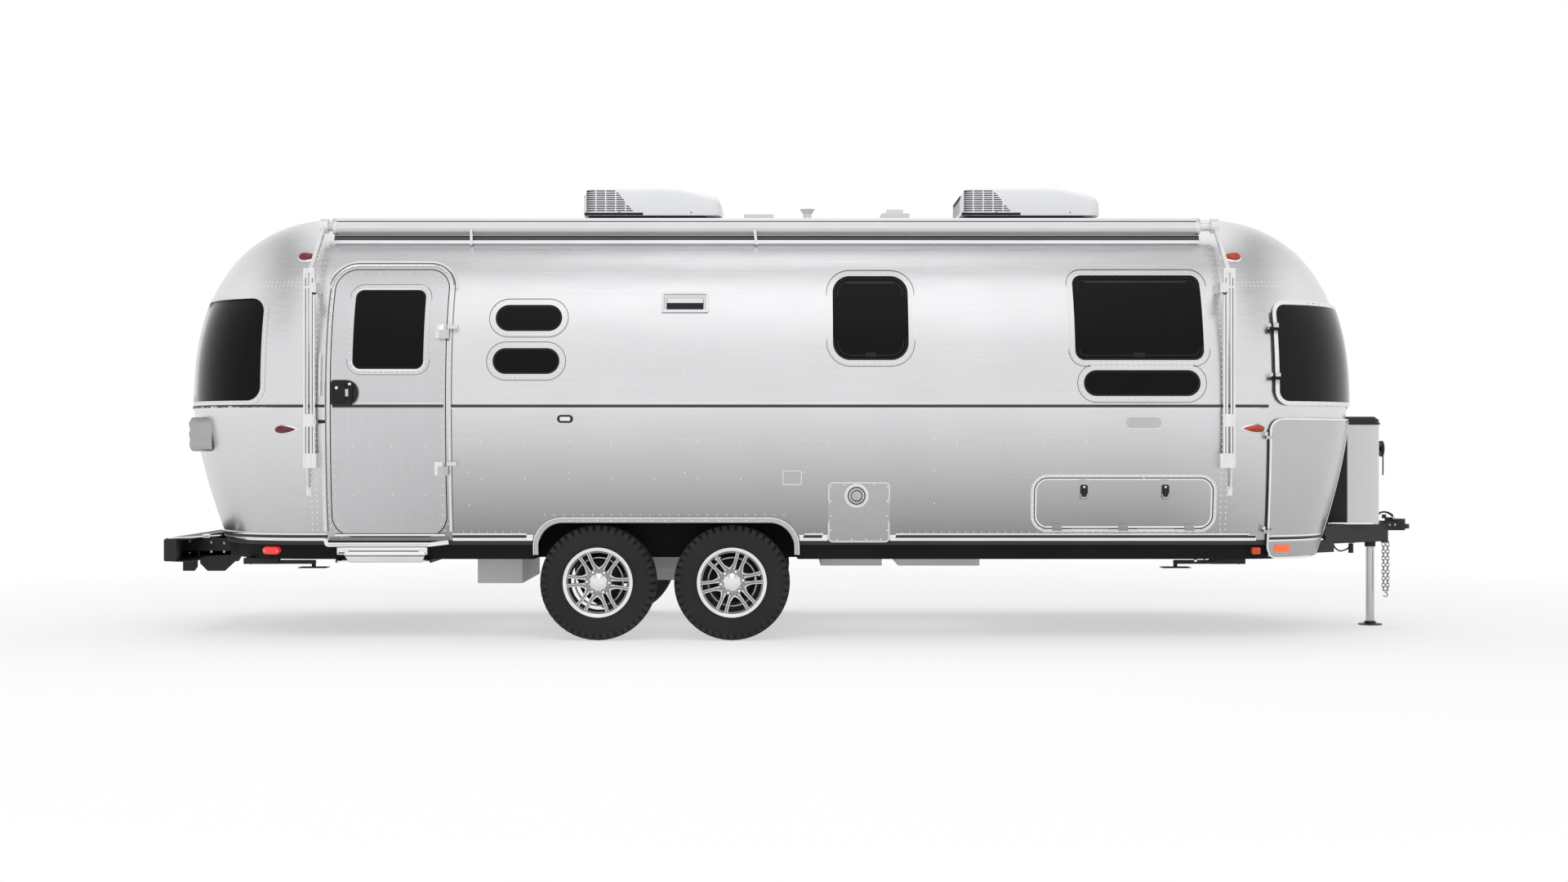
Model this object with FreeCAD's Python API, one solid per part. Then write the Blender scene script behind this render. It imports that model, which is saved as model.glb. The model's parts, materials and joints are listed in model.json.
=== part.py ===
import FreeCAD, Part
import math
import os

V = FreeCAD.Vector

# Travel caravan, parked on its jack. Millimetres, +X to the hitch, +Y to the
# street side, -Y to the curb side with the entry door, Z up from the ground.
# The origin is on the ground at mid-length on the centreline.

# Body shell
HALF_WIDTH = 1289.0
BELT_Z = 1476.0
SILL_Z = 635.0
CROWN_RISE = 1280.0
SIDE_POWER = 2.4
CORNER_POWER = 2.6
TUMBLEHOME = 80.0
WALL = 45.0
FRONT_SEAM_X = 2590.0
REAR_SEAM_X = -3100.0
FRONT_REACH = 995.0
REAR_REACH = 985.0
FRONT_TUCK = 184.0
REAR_TUCK = 218.0
ROOF_SEAM_Z = 2550.0
DOME_SEAM_Z = 2250.0
SEAT = 0.3
GAP = 6.0

# Floor and underbody
DECK_THICK = 30.0
PAN_Z = 513.0
PAN_INSET = 22.0
PAN_THICK = 4.0
RAIL_Y = 525.0
RAIL_WIDTH = 50.0
RAIL_Z0 = 520.0
RAIL_Z1 = 600.0
RAIL_X0 = -3790.0
RAIL_X1 = 3050.0
CROSS_XS = (-3700.0, -2900.0, -2100.0, -1700.0, -910.0, -110.0, 690.0, 1490.0, 2250.0, 2950.0)
CROSS_WIDTH = 50.0
OUTRIGGER_Y = 1100.0

# Running gear
WHEEL_X = (-488.0, -1332.0)
TYRE_R = 366.0
TYRE_WIDTH = 225.0
TRACK_Y = 1085.0
RIM_R = 220.5
BEAD_R = 203.2
HUB_R = 78.0
SPINDLE_R = 22.0
SPINDLE_GAP = 0.08
DRUM_R = 138.0
BEAM_LEAD = 150.0
BEAM_Z = 455.0
BEAM_SIDE = 80.0
LUG_CIRCLE_R = 69.85
RIM_TURN = {WHEEL_X[0]: -10.0, WHEEL_X[1]: 3.0}
WELL_X0 = -1735.0
WELL_X1 = -73.0
WELL_IN_Y = 925.0
WELL_TOP_Z = 802.0
WELL_SHEET = 5.0
ARCH_X0 = -1699.0
ARCH_X1 = -99.0
ARCH_TOP_Z = 744.0
ARCH_R = 150.0

# Entry door
DOOR_X0 = -2989.0
DOOR_X1 = -2275.0
DOOR_Z0 = 660.0
DOOR_Z1 = 2343.0
DOOR_R = 130.0
DOOR_SKIN = 12.0
DOOR_PAN = 40.0
DOOR_PAN_STEP = 18.0
DOOR_HINGE_X = -2258.0
DOOR_HINGE_OUT = 36.0
DOOR_HINGE_ZS = (1085.0, 1940.0)

# Side windows: x0, x1, z0, z1, corner radius of the glass opening
DOOR_WINDOW = (-2856.0, -2413.0, 1706.0, 2210.0, 50.0)
CURB_WINDOWS = (
    (-1969.0, -1551.0, 1945.0, 2113.0, 84.0),
    (-1980.0, -1562.0, 1675.0, 1838.0, 81.0),
    (146.0, 620.0, 1762.0, 2302.0, 110.0),
    (1660.0, 2465.0, 1762.0, 2307.0, 60.0),
    (1711.0, 2439.0, 1537.0, 1700.0, 80.0),
)
STREET_WINDOWS = (
    (-2750.0, -1950.0, 1762.0, 2307.0, 60.0),
    (-1150.0, -676.0, 1762.0, 2302.0, 110.0),
    (1660.0, 2465.0, 1762.0, 2307.0, 60.0),
    (1711.0, 2439.0, 1537.0, 1700.0, 80.0),
)
FRAME_LIP = 30.0
FRAME_THICK = 4.0
GLASS_IN = 10.0
GLASS_THICK = 6.0

# End windows
REAR_CORNER = (-3435.0, 560.0, 1510.0, 2160.0, 90.0)
FRONT_CORNER = (2975.0, 600.0, 1545.0, 2075.0, 80.0)
REAR_CENTRE = (500.0, 1510.0, 2160.0, 90.0)
FRONT_CENTRE = (500.0, 1545.0, 2075.0, 80.0)

# Hinged guards over the front corner windows and the front lower corners
GUARD_OUT = 12.0
GUARD_THICK = 8.0
GUARD_X = 2905.0
GUARD_Y = 560.0
GUARD_Z0 = 1480.0
GUARD_Z1 = 2135.0
GUARD_R = 90.0
GUARD_HINGE_X = 2882.0
GUARD_HINGE_OUT = 42.0
GUARD_HINGE_ZS = (1660.0, 1970.0)
SHIELD_X = 2872.0
SHIELD_Y = 610.0
SHIELD_Z0 = 520.0
SHIELD_Z1 = 1400.0
SHIELD_R = 80.0
SHIELD_HINGE_X = 2850.0
SHIELD_HINGE_OUT = 38.0
SHIELD_HINGE_ZS = (700.0, 1290.0)

# Storage hatches, curb and street side
HATCH_X0 = 1410.0
HATCH_X1 = 2521.0
HATCH_Z0 = 712.0
HATCH_Z1 = 1023.0
HATCH_R = 80.0
HATCH_THICK = 26.0
HATCH_HINGE_Z = 700.0
HATCH_HINGE_OUT = 11.0
HATCH_KNUCKLE = 60.0

# Water heater door
HEATER_X0 = 115.0
HEATER_X1 = 503.0

# Awning
ROLLER_Y = -845.0
ROLLER_Z = 2640.0
ROLLER_R = 55.0
ROLLER_X0 = -3067.0
ROLLER_X1 = 2520.0
ARM_Y = -1337.0
ARM_PAIRS = ((-3131.0, -3090.0), (2584.0, 2628.0))

# Roof
AC_REAR_X = (-1500.0, -580.0)
AC_FRONT_X = (1020.0, 1950.0)
AC_HALF_Y = 365.0
AC_BASE_Z = 2762.0
AC_TOP_Z = 2958.0

# Hitch end
TONGUE_Z0 = 575.0
TONGUE_Z1 = 693.0
TONGUE_X0 = 3425.0
TONGUE_TIP_X = 3960.0
TONGUE_BEND_X = 3330.0
TONGUE_Y = 530.0
TONGUE_TIP_Y = 31.0
TONGUE_WIDTH = 60.0
SHELF_THICK = 6.0
COUPLER_X = 4045.0
COUPLER_Z0 = 647.0
BALL_BORE_R = 29.6
JACK_X = 3853.0
JACK_TUBE_R = 37.0
JACK_BORE_R = 28.8
JACK_LEG_R = 28.5
JACK_TUBE_Z0 = 536.0
JACK_TUBE_Z1 = 1160.0
JACK_FOOT_R = 81.0
JACK_LEG_TOP = 730.0
GAS_X0 = 3480.0
GAS_X1 = 3836.0
GAS_Y = 330.0
GAS_Z0 = 699.3
GAS_Z1 = 1366.0
GAS_SHEET = 5.0
LID_Z1 = 1421.0
LID_X0 = 3622.0
LID_HINGE_X = 3617.0
LID_HINGE_Z = 1414.0
BOTTLE_X = 3690.0
BOTTLE_Y = 162.0
BOTTLE_R = 128.0
BOTTLE_TOP_Z = 1150.0

# Rear bumper
BUMPER_X0 = -4120.0
BUMPER_X1 = -3985.0
BUMPER_Y = 1000.0
BUMPER_Z0 = 486.0
BUMPER_Z1 = 634.0

# Stabilisers: pivot x, direction of the stowed leg along x
STABILISERS = (("front", 2733.0, -1.0), ("rear", -3555.0, 1.0))
STAB_Y = 1010.0
STAB_PIVOT_Z = 487.0
STAB_LEG = 400.0
STAB_FOOT_Z = 455.0

# Entry step
STEP_X0 = -2980.0
STEP_X1 = -2375.0


def box(x0, x1, y0, y1, z0, z1):
    return Part.makeBox(x1 - x0, y1 - y0, z1 - z0, V(x0, y0, z0))


def cyl(centre, axis, radius, length):
    return Part.makeCylinder(radius, length, V(*centre), V(*axis))


def tube(centre, axis, outer, inner, length):
    return cyl(centre, axis, outer, length).cut(cyl(centre, axis, inner, length))


def fuse(shapes):
    first = shapes[0]
    if len(shapes) > 1:
        first = first.multiFuse(shapes[1:])
    return first.removeSplitter()


def group(shapes):
    return Part.makeCompound(shapes)


def rounded(width, height, radius, place):
    """Face of a rounded rectangle, place maps (u, v) to a point."""
    r = min(radius, width / 2 - 0.01, height / 2 - 0.01)
    s = r * (1 - math.sqrt(0.5))
    pts = [(r, 0), (width - r, 0), (width - s, s), (width, r), (width, height - r),
           (width - s, height - s), (width - r, height), (r, height),
           (s, height - s), (0, height - r), (0, r), (s, s)]
    p = [place(u, v) for u, v in pts]
    edges = [Part.makeLine(p[0], p[1]), Part.Arc(p[1], p[2], p[3]).toShape(),
             Part.makeLine(p[3], p[4]), Part.Arc(p[4], p[5], p[6]).toShape(),
             Part.makeLine(p[6], p[7]), Part.Arc(p[7], p[8], p[9]).toShape(),
             Part.makeLine(p[9], p[10]), Part.Arc(p[10], p[11], p[0]).toShape()]
    return Part.Face(Part.Wire(edges))


def side_prism(x0, x1, z0, z1, radius, side, y_in=800.0, y_out=1450.0):
    """Rounded opening seen from the side, through one side wall."""
    face = rounded(x1 - x0, z1 - z0, radius,
                   lambda u, v: V(x0 + u, side * y_in, z0 + v))
    return face.extrude(V(0, side * (y_out - y_in), 0))


def grown(window, by):
    x0, x1, z0, z1, r = window
    return (x0 - by, x1 + by, z0 - by, z1 + by, r + by)


def half_width(z, inset=0.0):
    """Outer half width of the straight body at height z."""
    if z <= BELT_Z:
        drop = (BELT_Z - z) / (BELT_Z - SILL_Z)
        return HALF_WIDTH - inset - TUMBLEHOME * drop * drop
    rise = min((z - BELT_Z) / (CROWN_RISE - inset), 1.0)
    return (HALF_WIDTH - inset) * (1 - rise ** SIDE_POWER) ** (1 / SIDE_POWER)


def wall_y(x, z, inset=0.0):
    """Half width of the body at any x and z, in the end caps too."""
    if REAR_SEAM_X <= x <= FRONT_SEAM_X:
        return half_width(z, inset)
    seam, reach, tuck = ((FRONT_SEAM_X, FRONT_REACH, FRONT_TUCK) if x > 0
                         else (REAR_SEAM_X, REAR_REACH, REAR_TUCK))
    width = half_width(z, inset)
    if z <= BELT_Z:
        a = reach - inset - tuck * ((BELT_Z - z) / (BELT_Z - SILL_Z)) ** 1.5
    else:
        a = (reach - inset) * width / (HALF_WIDTH - inset)
    along = min(abs(x - seam) / a, 1.0)
    return width * (1 - along ** CORNER_POWER) ** (1 / CORNER_POWER)


def profile_rows(reach, tuck, inset, z_low):
    """Levels of an end cap: height, half width, reach from the seam."""
    rows = []
    for i in range(6):
        z = z_low + (BELT_Z - z_low) * i / 6.0
        drop = (BELT_Z - z) / (BELT_Z - SILL_Z)
        rows.append((z, half_width(z, inset), reach - inset - tuck * drop ** 1.5))
    steps = 14
    for i in range(steps + 1):
        t = math.radians(87.0 * i / steps)
        r = (math.cos(t) ** SIDE_POWER + math.sin(t) ** SIDE_POWER) ** (-1 / SIDE_POWER)
        rows.append((BELT_Z + (CROWN_RISE - inset) * r * math.sin(t),
                     (HALF_WIDTH - inset) * r * math.cos(t),
                     (reach - inset) * r * math.cos(t)))
    return rows


def cap_solid(sign, inset, z_low=SILL_Z):
    """Solid half dome: the end of the body, inset from its outer face."""
    seam, reach, tuck = ((FRONT_SEAM_X, FRONT_REACH, FRONT_TUCK) if sign > 0
                         else (REAR_SEAM_X, REAR_REACH, REAR_TUCK))
    grid = []
    columns = 28
    for z, w, a in profile_rows(reach, tuck, inset, z_low):
        line = []
        for i in range(columns + 1):
            t = -math.pi / 2 + math.pi * i / columns
            c = max(math.cos(t), 0.0) if i not in (0, columns) else 0.0
            s = math.sin(t)
            r = (c ** CORNER_POWER + abs(s) ** CORNER_POWER) ** (-1 / CORNER_POWER)
            line.append(V(seam + sign * a * r * c, w * r * s, z))
        grid.append(line)
    surface = Part.BSplineSurface()
    surface.interpolate(grid)
    skin = surface.toShape()
    flat = [e for e in skin.Edges if e.BoundBox.ZLength < 1.0]
    low = min(flat, key=lambda e: e.BoundBox.ZMin)
    top = max(flat, key=lambda e: e.BoundBox.ZMin)
    sides = [e for e in skin.Edges if e.BoundBox.ZLength > 1000.0]
    low_line = Part.makeLine(grid[0][0], grid[0][-1])
    top_line = Part.makeLine(grid[-1][0], grid[-1][-1])
    faces = [skin]
    for edges in ([low, low_line], [top, top_line], sides + [low_line, top_line]):
        faces.append(Part.Face(Part.Wire(Part.__sortEdges__(edges))))
    return Part.Solid(Part.Shell(faces))


def seam_face(cap):
    """The flat face of a cap at its seam."""
    return max((f for f in cap.Faces if f.BoundBox.XLength < 0.01),
               key=lambda f: f.Area)


def middle_solid(inset, z_low=SILL_Z, x0=REAR_SEAM_X, x1=FRONT_SEAM_X):
    face = seam_face(cap_solid(1.0, inset, z_low))
    body = face.extrude(V(x0 - x1, 0, 0))
    body.translate(V(x1 - FRONT_SEAM_X, 0, 0))
    return body


def corner_prism(window, sign, side, grow=0.0):
    """Opening that wraps a body corner: square to the side and to the end."""
    x_side, y_end, z0, z1, radius = window
    height = z1 - z0 + 2 * grow
    near_side = rounded(2500.0, height, radius + grow,
                        lambda u, v: V(x_side + sign * (u - grow), side * 150.0, z0 - grow + v))
    near_side = near_side.extrude(V(0, side * 1500.0, 0))
    near_end = rounded(2500.0, height, radius + grow,
                       lambda u, v: V(sign * 2650.0, side * (y_end - grow + u), z0 - grow + v))
    near_end = near_end.extrude(V(sign * 1800.0, 0, 0))
    return near_side.common(near_end)


def centre_prism(window, sign, grow=0.0):
    y, z0, z1, radius = window
    x0 = 3200.0 if sign > 0 else -3650.0
    face = rounded(2 * (y + grow), z1 - z0 + 2 * grow, radius + grow,
                   lambda u, v: V(x0, -y - grow + u, z0 - grow + v))
    return face.extrude(V(sign * 700.0, 0, 0))


class Shells:
    """Body solids at several insets, made once each."""

    def __init__(self):
        self.kept = {}

    def get(self, part, inset, z_low=SILL_Z):
        key = (part, inset, z_low)
        if key not in self.kept:
            if part == "middle":
                self.kept[key] = middle_solid(inset, z_low)
            else:
                self.kept[key] = cap_solid(1.0 if part == "front" else -1.0, inset, z_low)
        return self.kept[key]

    def piece(self, part, outer, inner, region, z_low=SILL_Z):
        """The part of a region that lies between two insets of the body."""
        body = region.common(self.get(part, outer, z_low))
        return body.cut(self.get(part, inner, z_low - 20.0))


SHELLS = Shells()
FAR = 5000.0


def side_half(side, z0=-FAR, z1=FAR):
    return box(-FAR, FAR, *((-FAR, 0) if side < 0 else (0, FAR)), z0, z1)


def hatch_window(grow=0.0):
    return (HATCH_X0 - grow, HATCH_X1 + grow, HATCH_Z0 - grow, HATCH_Z1 + grow,
            HATCH_R + grow)


def door_window(grow=0.0):
    return (DOOR_X0 - grow, DOOR_X1 + grow, DOOR_Z0 - grow, DOOR_Z1 + grow,
            DOOR_R + grow)


def arch_prism(side, grow=0.0):
    """Wheel opening, open at the bottom."""
    low = SILL_Z - 300.0
    face = rounded(ARCH_X1 - ARCH_X0 + 2 * grow, ARCH_TOP_Z + grow - low, ARCH_R,
                   lambda u, v: V(ARCH_X0 - grow + u, side * 900.0, low + v))
    return face.extrude(V(0, side * 600.0, 0))


def make_side_wall(side):
    wall = SHELLS.piece("middle", 0.0, WALL, side_half(side, SILL_Z - 1.0, ROOF_SEAM_Z))
    cuts = [arch_prism(side), side_prism(*hatch_window(GAP), side)]
    windows = CURB_WINDOWS if side < 0 else STREET_WINDOWS
    cuts += [side_prism(*w, side) for w in windows]
    if side < 0:
        door = door_window(GAP)
        cuts.append(side_prism(*door, side))
    return wall.cut(cuts)


def make_roof():
    return SHELLS.piece("middle", 0.0, WALL, box(-FAR, FAR, -FAR, FAR, ROOF_SEAM_Z, FAR))


def make_cap(end, upper):
    sign = 1.0 if end == "front" else -1.0
    if upper:
        return SHELLS.piece(end, 0.0, WALL, box(-FAR, FAR, -FAR, FAR, DOME_SEAM_Z, FAR))
    part = SHELLS.piece(end, 0.0, WALL, box(-FAR, FAR, -FAR, FAR, SILL_Z - 1.0, DOME_SEAM_Z))
    corner = FRONT_CORNER if sign > 0 else REAR_CORNER
    centre = FRONT_CENTRE if sign > 0 else REAR_CENTRE
    return part.cut([corner_prism(corner, sign, -1.0), corner_prism(corner, sign, 1.0),
                     centre_prism(centre, sign)])


def side_band(outer, inner, window, side):
    """Piece of a straight side's wall inside a rounded outline."""
    return SHELLS.piece("middle", outer, inner, side_prism(*window, side))


def side_ring(outer, inner, window, width, side):
    """Rounded ring of the given width round an opening of a straight side."""
    ring = side_prism(*grown(window, width), side).cut(side_prism(*window, side))
    return SHELLS.piece("middle", outer, inner, ring)


def make_side_frames(side):
    windows = CURB_WINDOWS if side < 0 else STREET_WINDOWS
    rings = [side_ring(-FRAME_THICK, -SEAT, w, FRAME_LIP, side) for w in windows]
    rings.append(side_ring(-FRAME_THICK, -SEAT, hatch_window(GAP), 20.0, side))
    if side < 0:
        rings.append(side_ring(-FRAME_THICK, -SEAT, door_window(GAP), 30.0, side))
    return rings


def make_side_glass(side):
    windows = CURB_WINDOWS if side < 0 else STREET_WINDOWS
    return [side_band(GLASS_IN, GLASS_IN + GLASS_THICK, grown(w, -SEAT), side) for w in windows]


def make_end_frames(end):
    sign = 1.0 if end == "front" else -1.0
    corner = FRONT_CORNER if sign > 0 else REAR_CORNER
    centre = FRONT_CENTRE if sign > 0 else REAR_CENTRE
    rings = []
    for side in (-1.0, 1.0):
        ring = corner_prism(corner, sign, side, FRAME_LIP).cut(corner_prism(corner, sign, side))
        rings.append(SHELLS.piece(end, -FRAME_THICK, -SEAT, ring))
    ring = centre_prism(centre, sign, FRAME_LIP).cut(centre_prism(centre, sign))
    rings.append(SHELLS.piece(end, -FRAME_THICK, -SEAT, ring))
    return rings


def make_end_glass(end):
    sign = 1.0 if end == "front" else -1.0
    corner = FRONT_CORNER if sign > 0 else REAR_CORNER
    centre = FRONT_CENTRE if sign > 0 else REAR_CENTRE
    regions = [corner_prism(corner, sign, side, -SEAT) for side in (-1.0, 1.0)]
    regions.append(centre_prism(centre, sign, -SEAT))
    return [SHELLS.piece(end, GLASS_IN, GLASS_IN + GLASS_THICK, r) for r in regions]


def make_door():
    leaf = side_band(0.0, DOOR_PAN, door_window(), -1.0)
    step = side_prism(*door_window(3.0), -1.0).cut(
        side_prism(*door_window(-DOOR_PAN_STEP), -1.0))
    leaf = leaf.cut([step.common(SHELLS.get("middle", DOOR_SKIN)),
                     side_prism(*DOOR_WINDOW, -1.0)])
    frame = side_ring(-FRAME_THICK, 1.0, DOOR_WINDOW, FRAME_LIP, -1.0)
    handle_y = -half_width(1560.0)
    plate = side_prism(-2979.0, -2825.0, 1481.0, 1634.0, 60.0, -1.0,
                       -handle_y - 6.0, -handle_y + 12.0)
    grip = side_prism(-2950.0, -2850.0, 1535.0, 1580.0, 20.0, -1.0,
                      -handle_y + 11.0, -handle_y + 30.0)
    pieces = [leaf, frame, plate, grip]
    for z in DOOR_HINGE_ZS:
        pieces.append(hinge_leaf(z, -1.0))
    return fuse(pieces)


def door_axis_point(z):
    """Point of the entry door's hinge line at height z."""
    z0, z1 = DOOR_HINGE_ZS
    y0 = half_width(z0) + DOOR_HINGE_OUT
    y1 = half_width(z1) + DOOR_HINGE_OUT
    return V(DOOR_HINGE_X, -(y0 + (y1 - y0) * (z - z0) / (z1 - z0)), z)


def hinge_line(points):
    """Unit vector along a hinge line, upward."""
    return (points[1] - points[0]).normalize()


def hinge_leaf(z, direction):
    """Flap of the door's hinge: on the door for -1, on the wall for +1."""
    axis = hinge_line([door_axis_point(zz) for zz in DOOR_HINGE_ZS])
    centre = door_axis_point(z)
    if direction < 0:
        knuckle = cyl(tuple(centre - axis * 45.0), tuple(axis), 6.5, 60.0)
    else:
        knuckle = cyl(tuple(centre + axis * (15.0 + SEAT)), tuple(axis), 6.5, 30.0)
    low = knuckle.BoundBox.ZMin + 3.0
    high = knuckle.BoundBox.ZMax - 3.0
    reach = 58.0
    x0, x1 = sorted((DOOR_HINGE_X, DOOR_HINGE_X + direction * reach))
    under = 1.0 if direction < 0 else -SEAT
    y = centre.y
    flap = box(x0, x1, y - 4.0, 0, low, high)
    if direction < 0:
        flap = flap.cut(box(DOOR_X1 - 0.5, FAR, y + 3.0, 0, low - 1.0, high + 1.0))
    else:
        flap = flap.cut(box(-FAR, DOOR_X1 + GAP + 8.0, y + 8.0, 0, low - 1.0, high + 1.0))
    flap = flap.common(box(-FAR, FAR, y - 4.0, y + 60.0, low, high))
    return fuse([knuckle, flap.cut(SHELLS.get("middle", under))])


def make_door_glass():
    return side_band(GLASS_IN, GLASS_IN + GLASS_THICK, grown(DOOR_WINDOW, -SEAT), -1.0)


def make_door_hinges():
    return [hinge_leaf(z, 1.0) for z in DOOR_HINGE_ZS]


def hatch_axis_y():
    return half_width(HATCH_HINGE_Z) + HATCH_HINGE_OUT


def hatch_knuckles(side, moving):
    """Hinge knuckles under a hatch, on the hatch or on the body."""
    out = []
    y = side * hatch_axis_y()
    for centre in (1550.0, 1965.0, 2380.0):
        for shift in ((0.0,) if moving else (-1.0, 1.0)):
            x0 = centre + shift * (HATCH_KNUCKLE + SEAT) - HATCH_KNUCKLE / 2
            knuckle = cyl((x0, y, HATCH_HINGE_Z), (1, 0, 0), 5.5, HATCH_KNUCKLE)
            z0, z1 = (HATCH_HINGE_Z, HATCH_Z0 + 26.0) if moving else (HATCH_HINGE_Z - 14.0,
                                                                    HATCH_HINGE_Z)
            y0, y1 = sorted((y - side * 30.0, y))
            flap = box(x0, x0 + HATCH_KNUCKLE, y0, y1, z0, z1)
            flap = flap.cut(SHELLS.get("middle", 1.0 if moving else -FRAME_THICK - SEAT))
            if moving:
                low0, low1 = sorted((y - side * 4.0, y - side * 60.0))
                flap = flap.cut(box(x0 - 1, x0 + HATCH_KNUCKLE + 1, low0, low1, 0, HATCH_Z0 + 1.0))
            out.append(fuse([knuckle, flap]))
    return out


def make_hatch(side):
    panel = side_band(0.0, HATCH_THICK, hatch_window(), side)
    pieces = [panel]
    for x in (1716.0, 2225.0):
        y = half_width(938.0)
        pieces.append(side_prism(x - 22.0, x + 22.0, 895.0, 982.0, 12.0, side, y - 8.0, y + 9.0))
    return fuse(pieces + hatch_knuckles(side, True))


def plan_wire(inset, z):
    """Plan outline of the body at height z, below or at the belt."""
    edges = []
    ends = []
    for sign in (1.0, -1.0):
        seam, reach, tuck = ((FRONT_SEAM_X, FRONT_REACH, FRONT_TUCK) if sign > 0
                             else (REAR_SEAM_X, REAR_REACH, REAR_TUCK))
        drop = max(BELT_Z - z, 0.0) / (BELT_Z - SILL_Z)
        a = reach - inset - tuck * drop ** 1.5
        w = half_width(z, inset)
        points = []
        columns = 28
        for i in range(columns + 1):
            t = sign * (-math.pi / 2 + math.pi * i / columns)
            c = max(math.cos(t), 0.0) if i not in (0, columns) else 0.0
            n = math.sin(t)
            r = (c ** CORNER_POWER + abs(n) ** CORNER_POWER) ** (-1 / CORNER_POWER)
            points.append(V(seam + sign * a * r * c, w * r * n, z))
        curve = Part.BSplineCurve()
        curve.interpolate(Points=points)
        edges.append(curve.toShape())
        ends.append((points[0], points[-1]))
    edges.insert(1, Part.makeLine(ends[0][1], ends[1][0]))
    edges.append(Part.makeLine(ends[1][1], ends[0][0]))
    return Part.Wire(edges)


def plan_slab(inset, z0, z1, z=None):
    """The body's plan outline at one height as a flat slab."""
    slab = Part.Face(plan_wire(inset, SILL_Z if z is None else z))
    slab.translate(V(0, 0, z0 - (SILL_Z if z is None else z)))
    return slab.extrude(V(0, 0, z1 - z0))


def plan_band(outer, inner, z0, z1):
    """Rail round the body between two heights, following its slope."""
    big = Part.makeLoft([plan_wire(outer, z0), plan_wire(outer, z1)], True, True)
    small = Part.makeLoft([plan_wire(inner, z0 - 1.0), plan_wire(inner, z1 + 1.0)], True, True)
    return big.cut(small)


def make_body_trim():
    """Belt rail, sill rail and wheel-arch trim."""
    trim = [plan_band(-7.0, -0.8, BELT_Z - 18.0, BELT_Z - 0.5),
            plan_band(-7.0, -0.8, SILL_Z - 4.0, SILL_Z + 34.0)]
    clear = [arch_prism(-1.0, 38.0), arch_prism(1.0, 38.0)]
    grow = GAP + 30.0 + SEAT
    clear.append(box(DOOR_X0 - grow, DOOR_X1 + grow, -FAR, 0, 0, FAR))
    clear.append(box(HEATER_X0 - 2.0, HEATER_X1 + 2.0, -FAR, 0, 0, 1000.0))
    for side in (-1.0, 1.0):
        y0, y1 = sorted((side * 500.0, side * FAR))
        clear.append(box(SHIELD_HINGE_X - 45.0, FAR, y0, y1, 0, FAR))
    pieces = [t.cut(clear) for t in trim]
    for side in (-1.0, 1.0):
        ring = arch_prism(side, 36.0).cut(arch_prism(side, 2.0))
        y0, y1 = sorted((side * 900.0, side * FAR))
        ring = ring.common(box(-FAR, FAR, y0, y1, PAN_Z, FAR))
        pieces.append(SHELLS.piece("middle", -12.0, -SEAT, ring, PAN_Z - 10.0))
    return group(pieces)


def well_box(side, grow=0.0):
    y0, y1 = sorted((side * (WELL_IN_Y - grow), side * FAR))
    return box(WELL_X0 - grow, WELL_X1 + grow, y0, y1, -FAR, WELL_TOP_Z + grow)


def make_floor_deck():
    deck = plan_slab(3.0, SILL_Z - DECK_THICK, SILL_Z - SEAT)
    return deck.cut([well_box(-1.0), well_box(1.0)])


def chassis_members(grow=0.0):
    """Main rails, cross members and outriggers, each a straight member."""
    members = []
    for side in (-1.0, 1.0):
        y = side * RAIL_Y
        members.append(box(RAIL_X0, RAIL_X1, y - RAIL_WIDTH / 2 - grow,
                           y + RAIL_WIDTH / 2 + grow, RAIL_Z0 - grow, RAIL_Z1 + grow))
    inner = RAIL_Y - RAIL_WIDTH / 2 - SEAT
    outer = RAIL_Y + RAIL_WIDTH / 2 + SEAT
    for x in CROSS_XS:
        x0, x1 = x - CROSS_WIDTH / 2 - grow, x + CROSS_WIDTH / 2 + grow
        z0, z1 = RAIL_Z0 + 5.0 - grow, RAIL_Z1 - 5.0 + grow
        members.append(box(x0, x1, -inner, inner, z0, z1))
        reach = WELL_IN_Y - 6.0 if WELL_X0 - 40.0 < x < WELL_X1 + 40.0 else OUTRIGGER_Y
        tip = x + math.copysign(CROSS_WIDTH / 2, x)
        reach = min(reach, wall_y(tip, RAIL_Z0) - PAN_INSET - PAN_THICK - GAP)
        if -3600.0 < x < 3100.0:
            members.append(box(x0, x1, -reach, -outer, z0, z1))
            members.append(box(x0, x1, outer, reach, z0, z1))
    return members


def tongue_y(x):
    """Centreline of a hitch rail."""
    if x <= TONGUE_BEND_X:
        return TONGUE_Y
    run = (x - TONGUE_BEND_X) / (TONGUE_TIP_X - TONGUE_BEND_X)
    return TONGUE_Y + (TONGUE_TIP_Y - TONGUE_Y) * run


def tongue_rail(side, grow=0.0):
    """One leg of the hitch triangle with its step down under the body."""
    pieces = []
    for x0, x1, z0, z1 in ((RAIL_X1 + SEAT, TONGUE_X0 + 70.0, RAIL_Z0, RAIL_Z1),
                           (TONGUE_X0, TONGUE_TIP_X, TONGUE_Z0, TONGUE_Z1)):
        h = TONGUE_WIDTH / 2 + grow
        xs = [x0] + [x for x in (TONGUE_BEND_X,) if x0 < x < x1] + [x1]
        near = [V(x, side * (tongue_y(x) - h), z0 - grow) for x in xs]
        far = [V(x, side * (tongue_y(x) + h), z0 - grow) for x in reversed(xs)]
        ring = near + far + [near[0]]
        pieces.append(Part.Face(Part.makePolygon(ring)).extrude(V(0, 0, z1 - z0 + 2 * grow)))
    return fuse(pieces)


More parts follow.
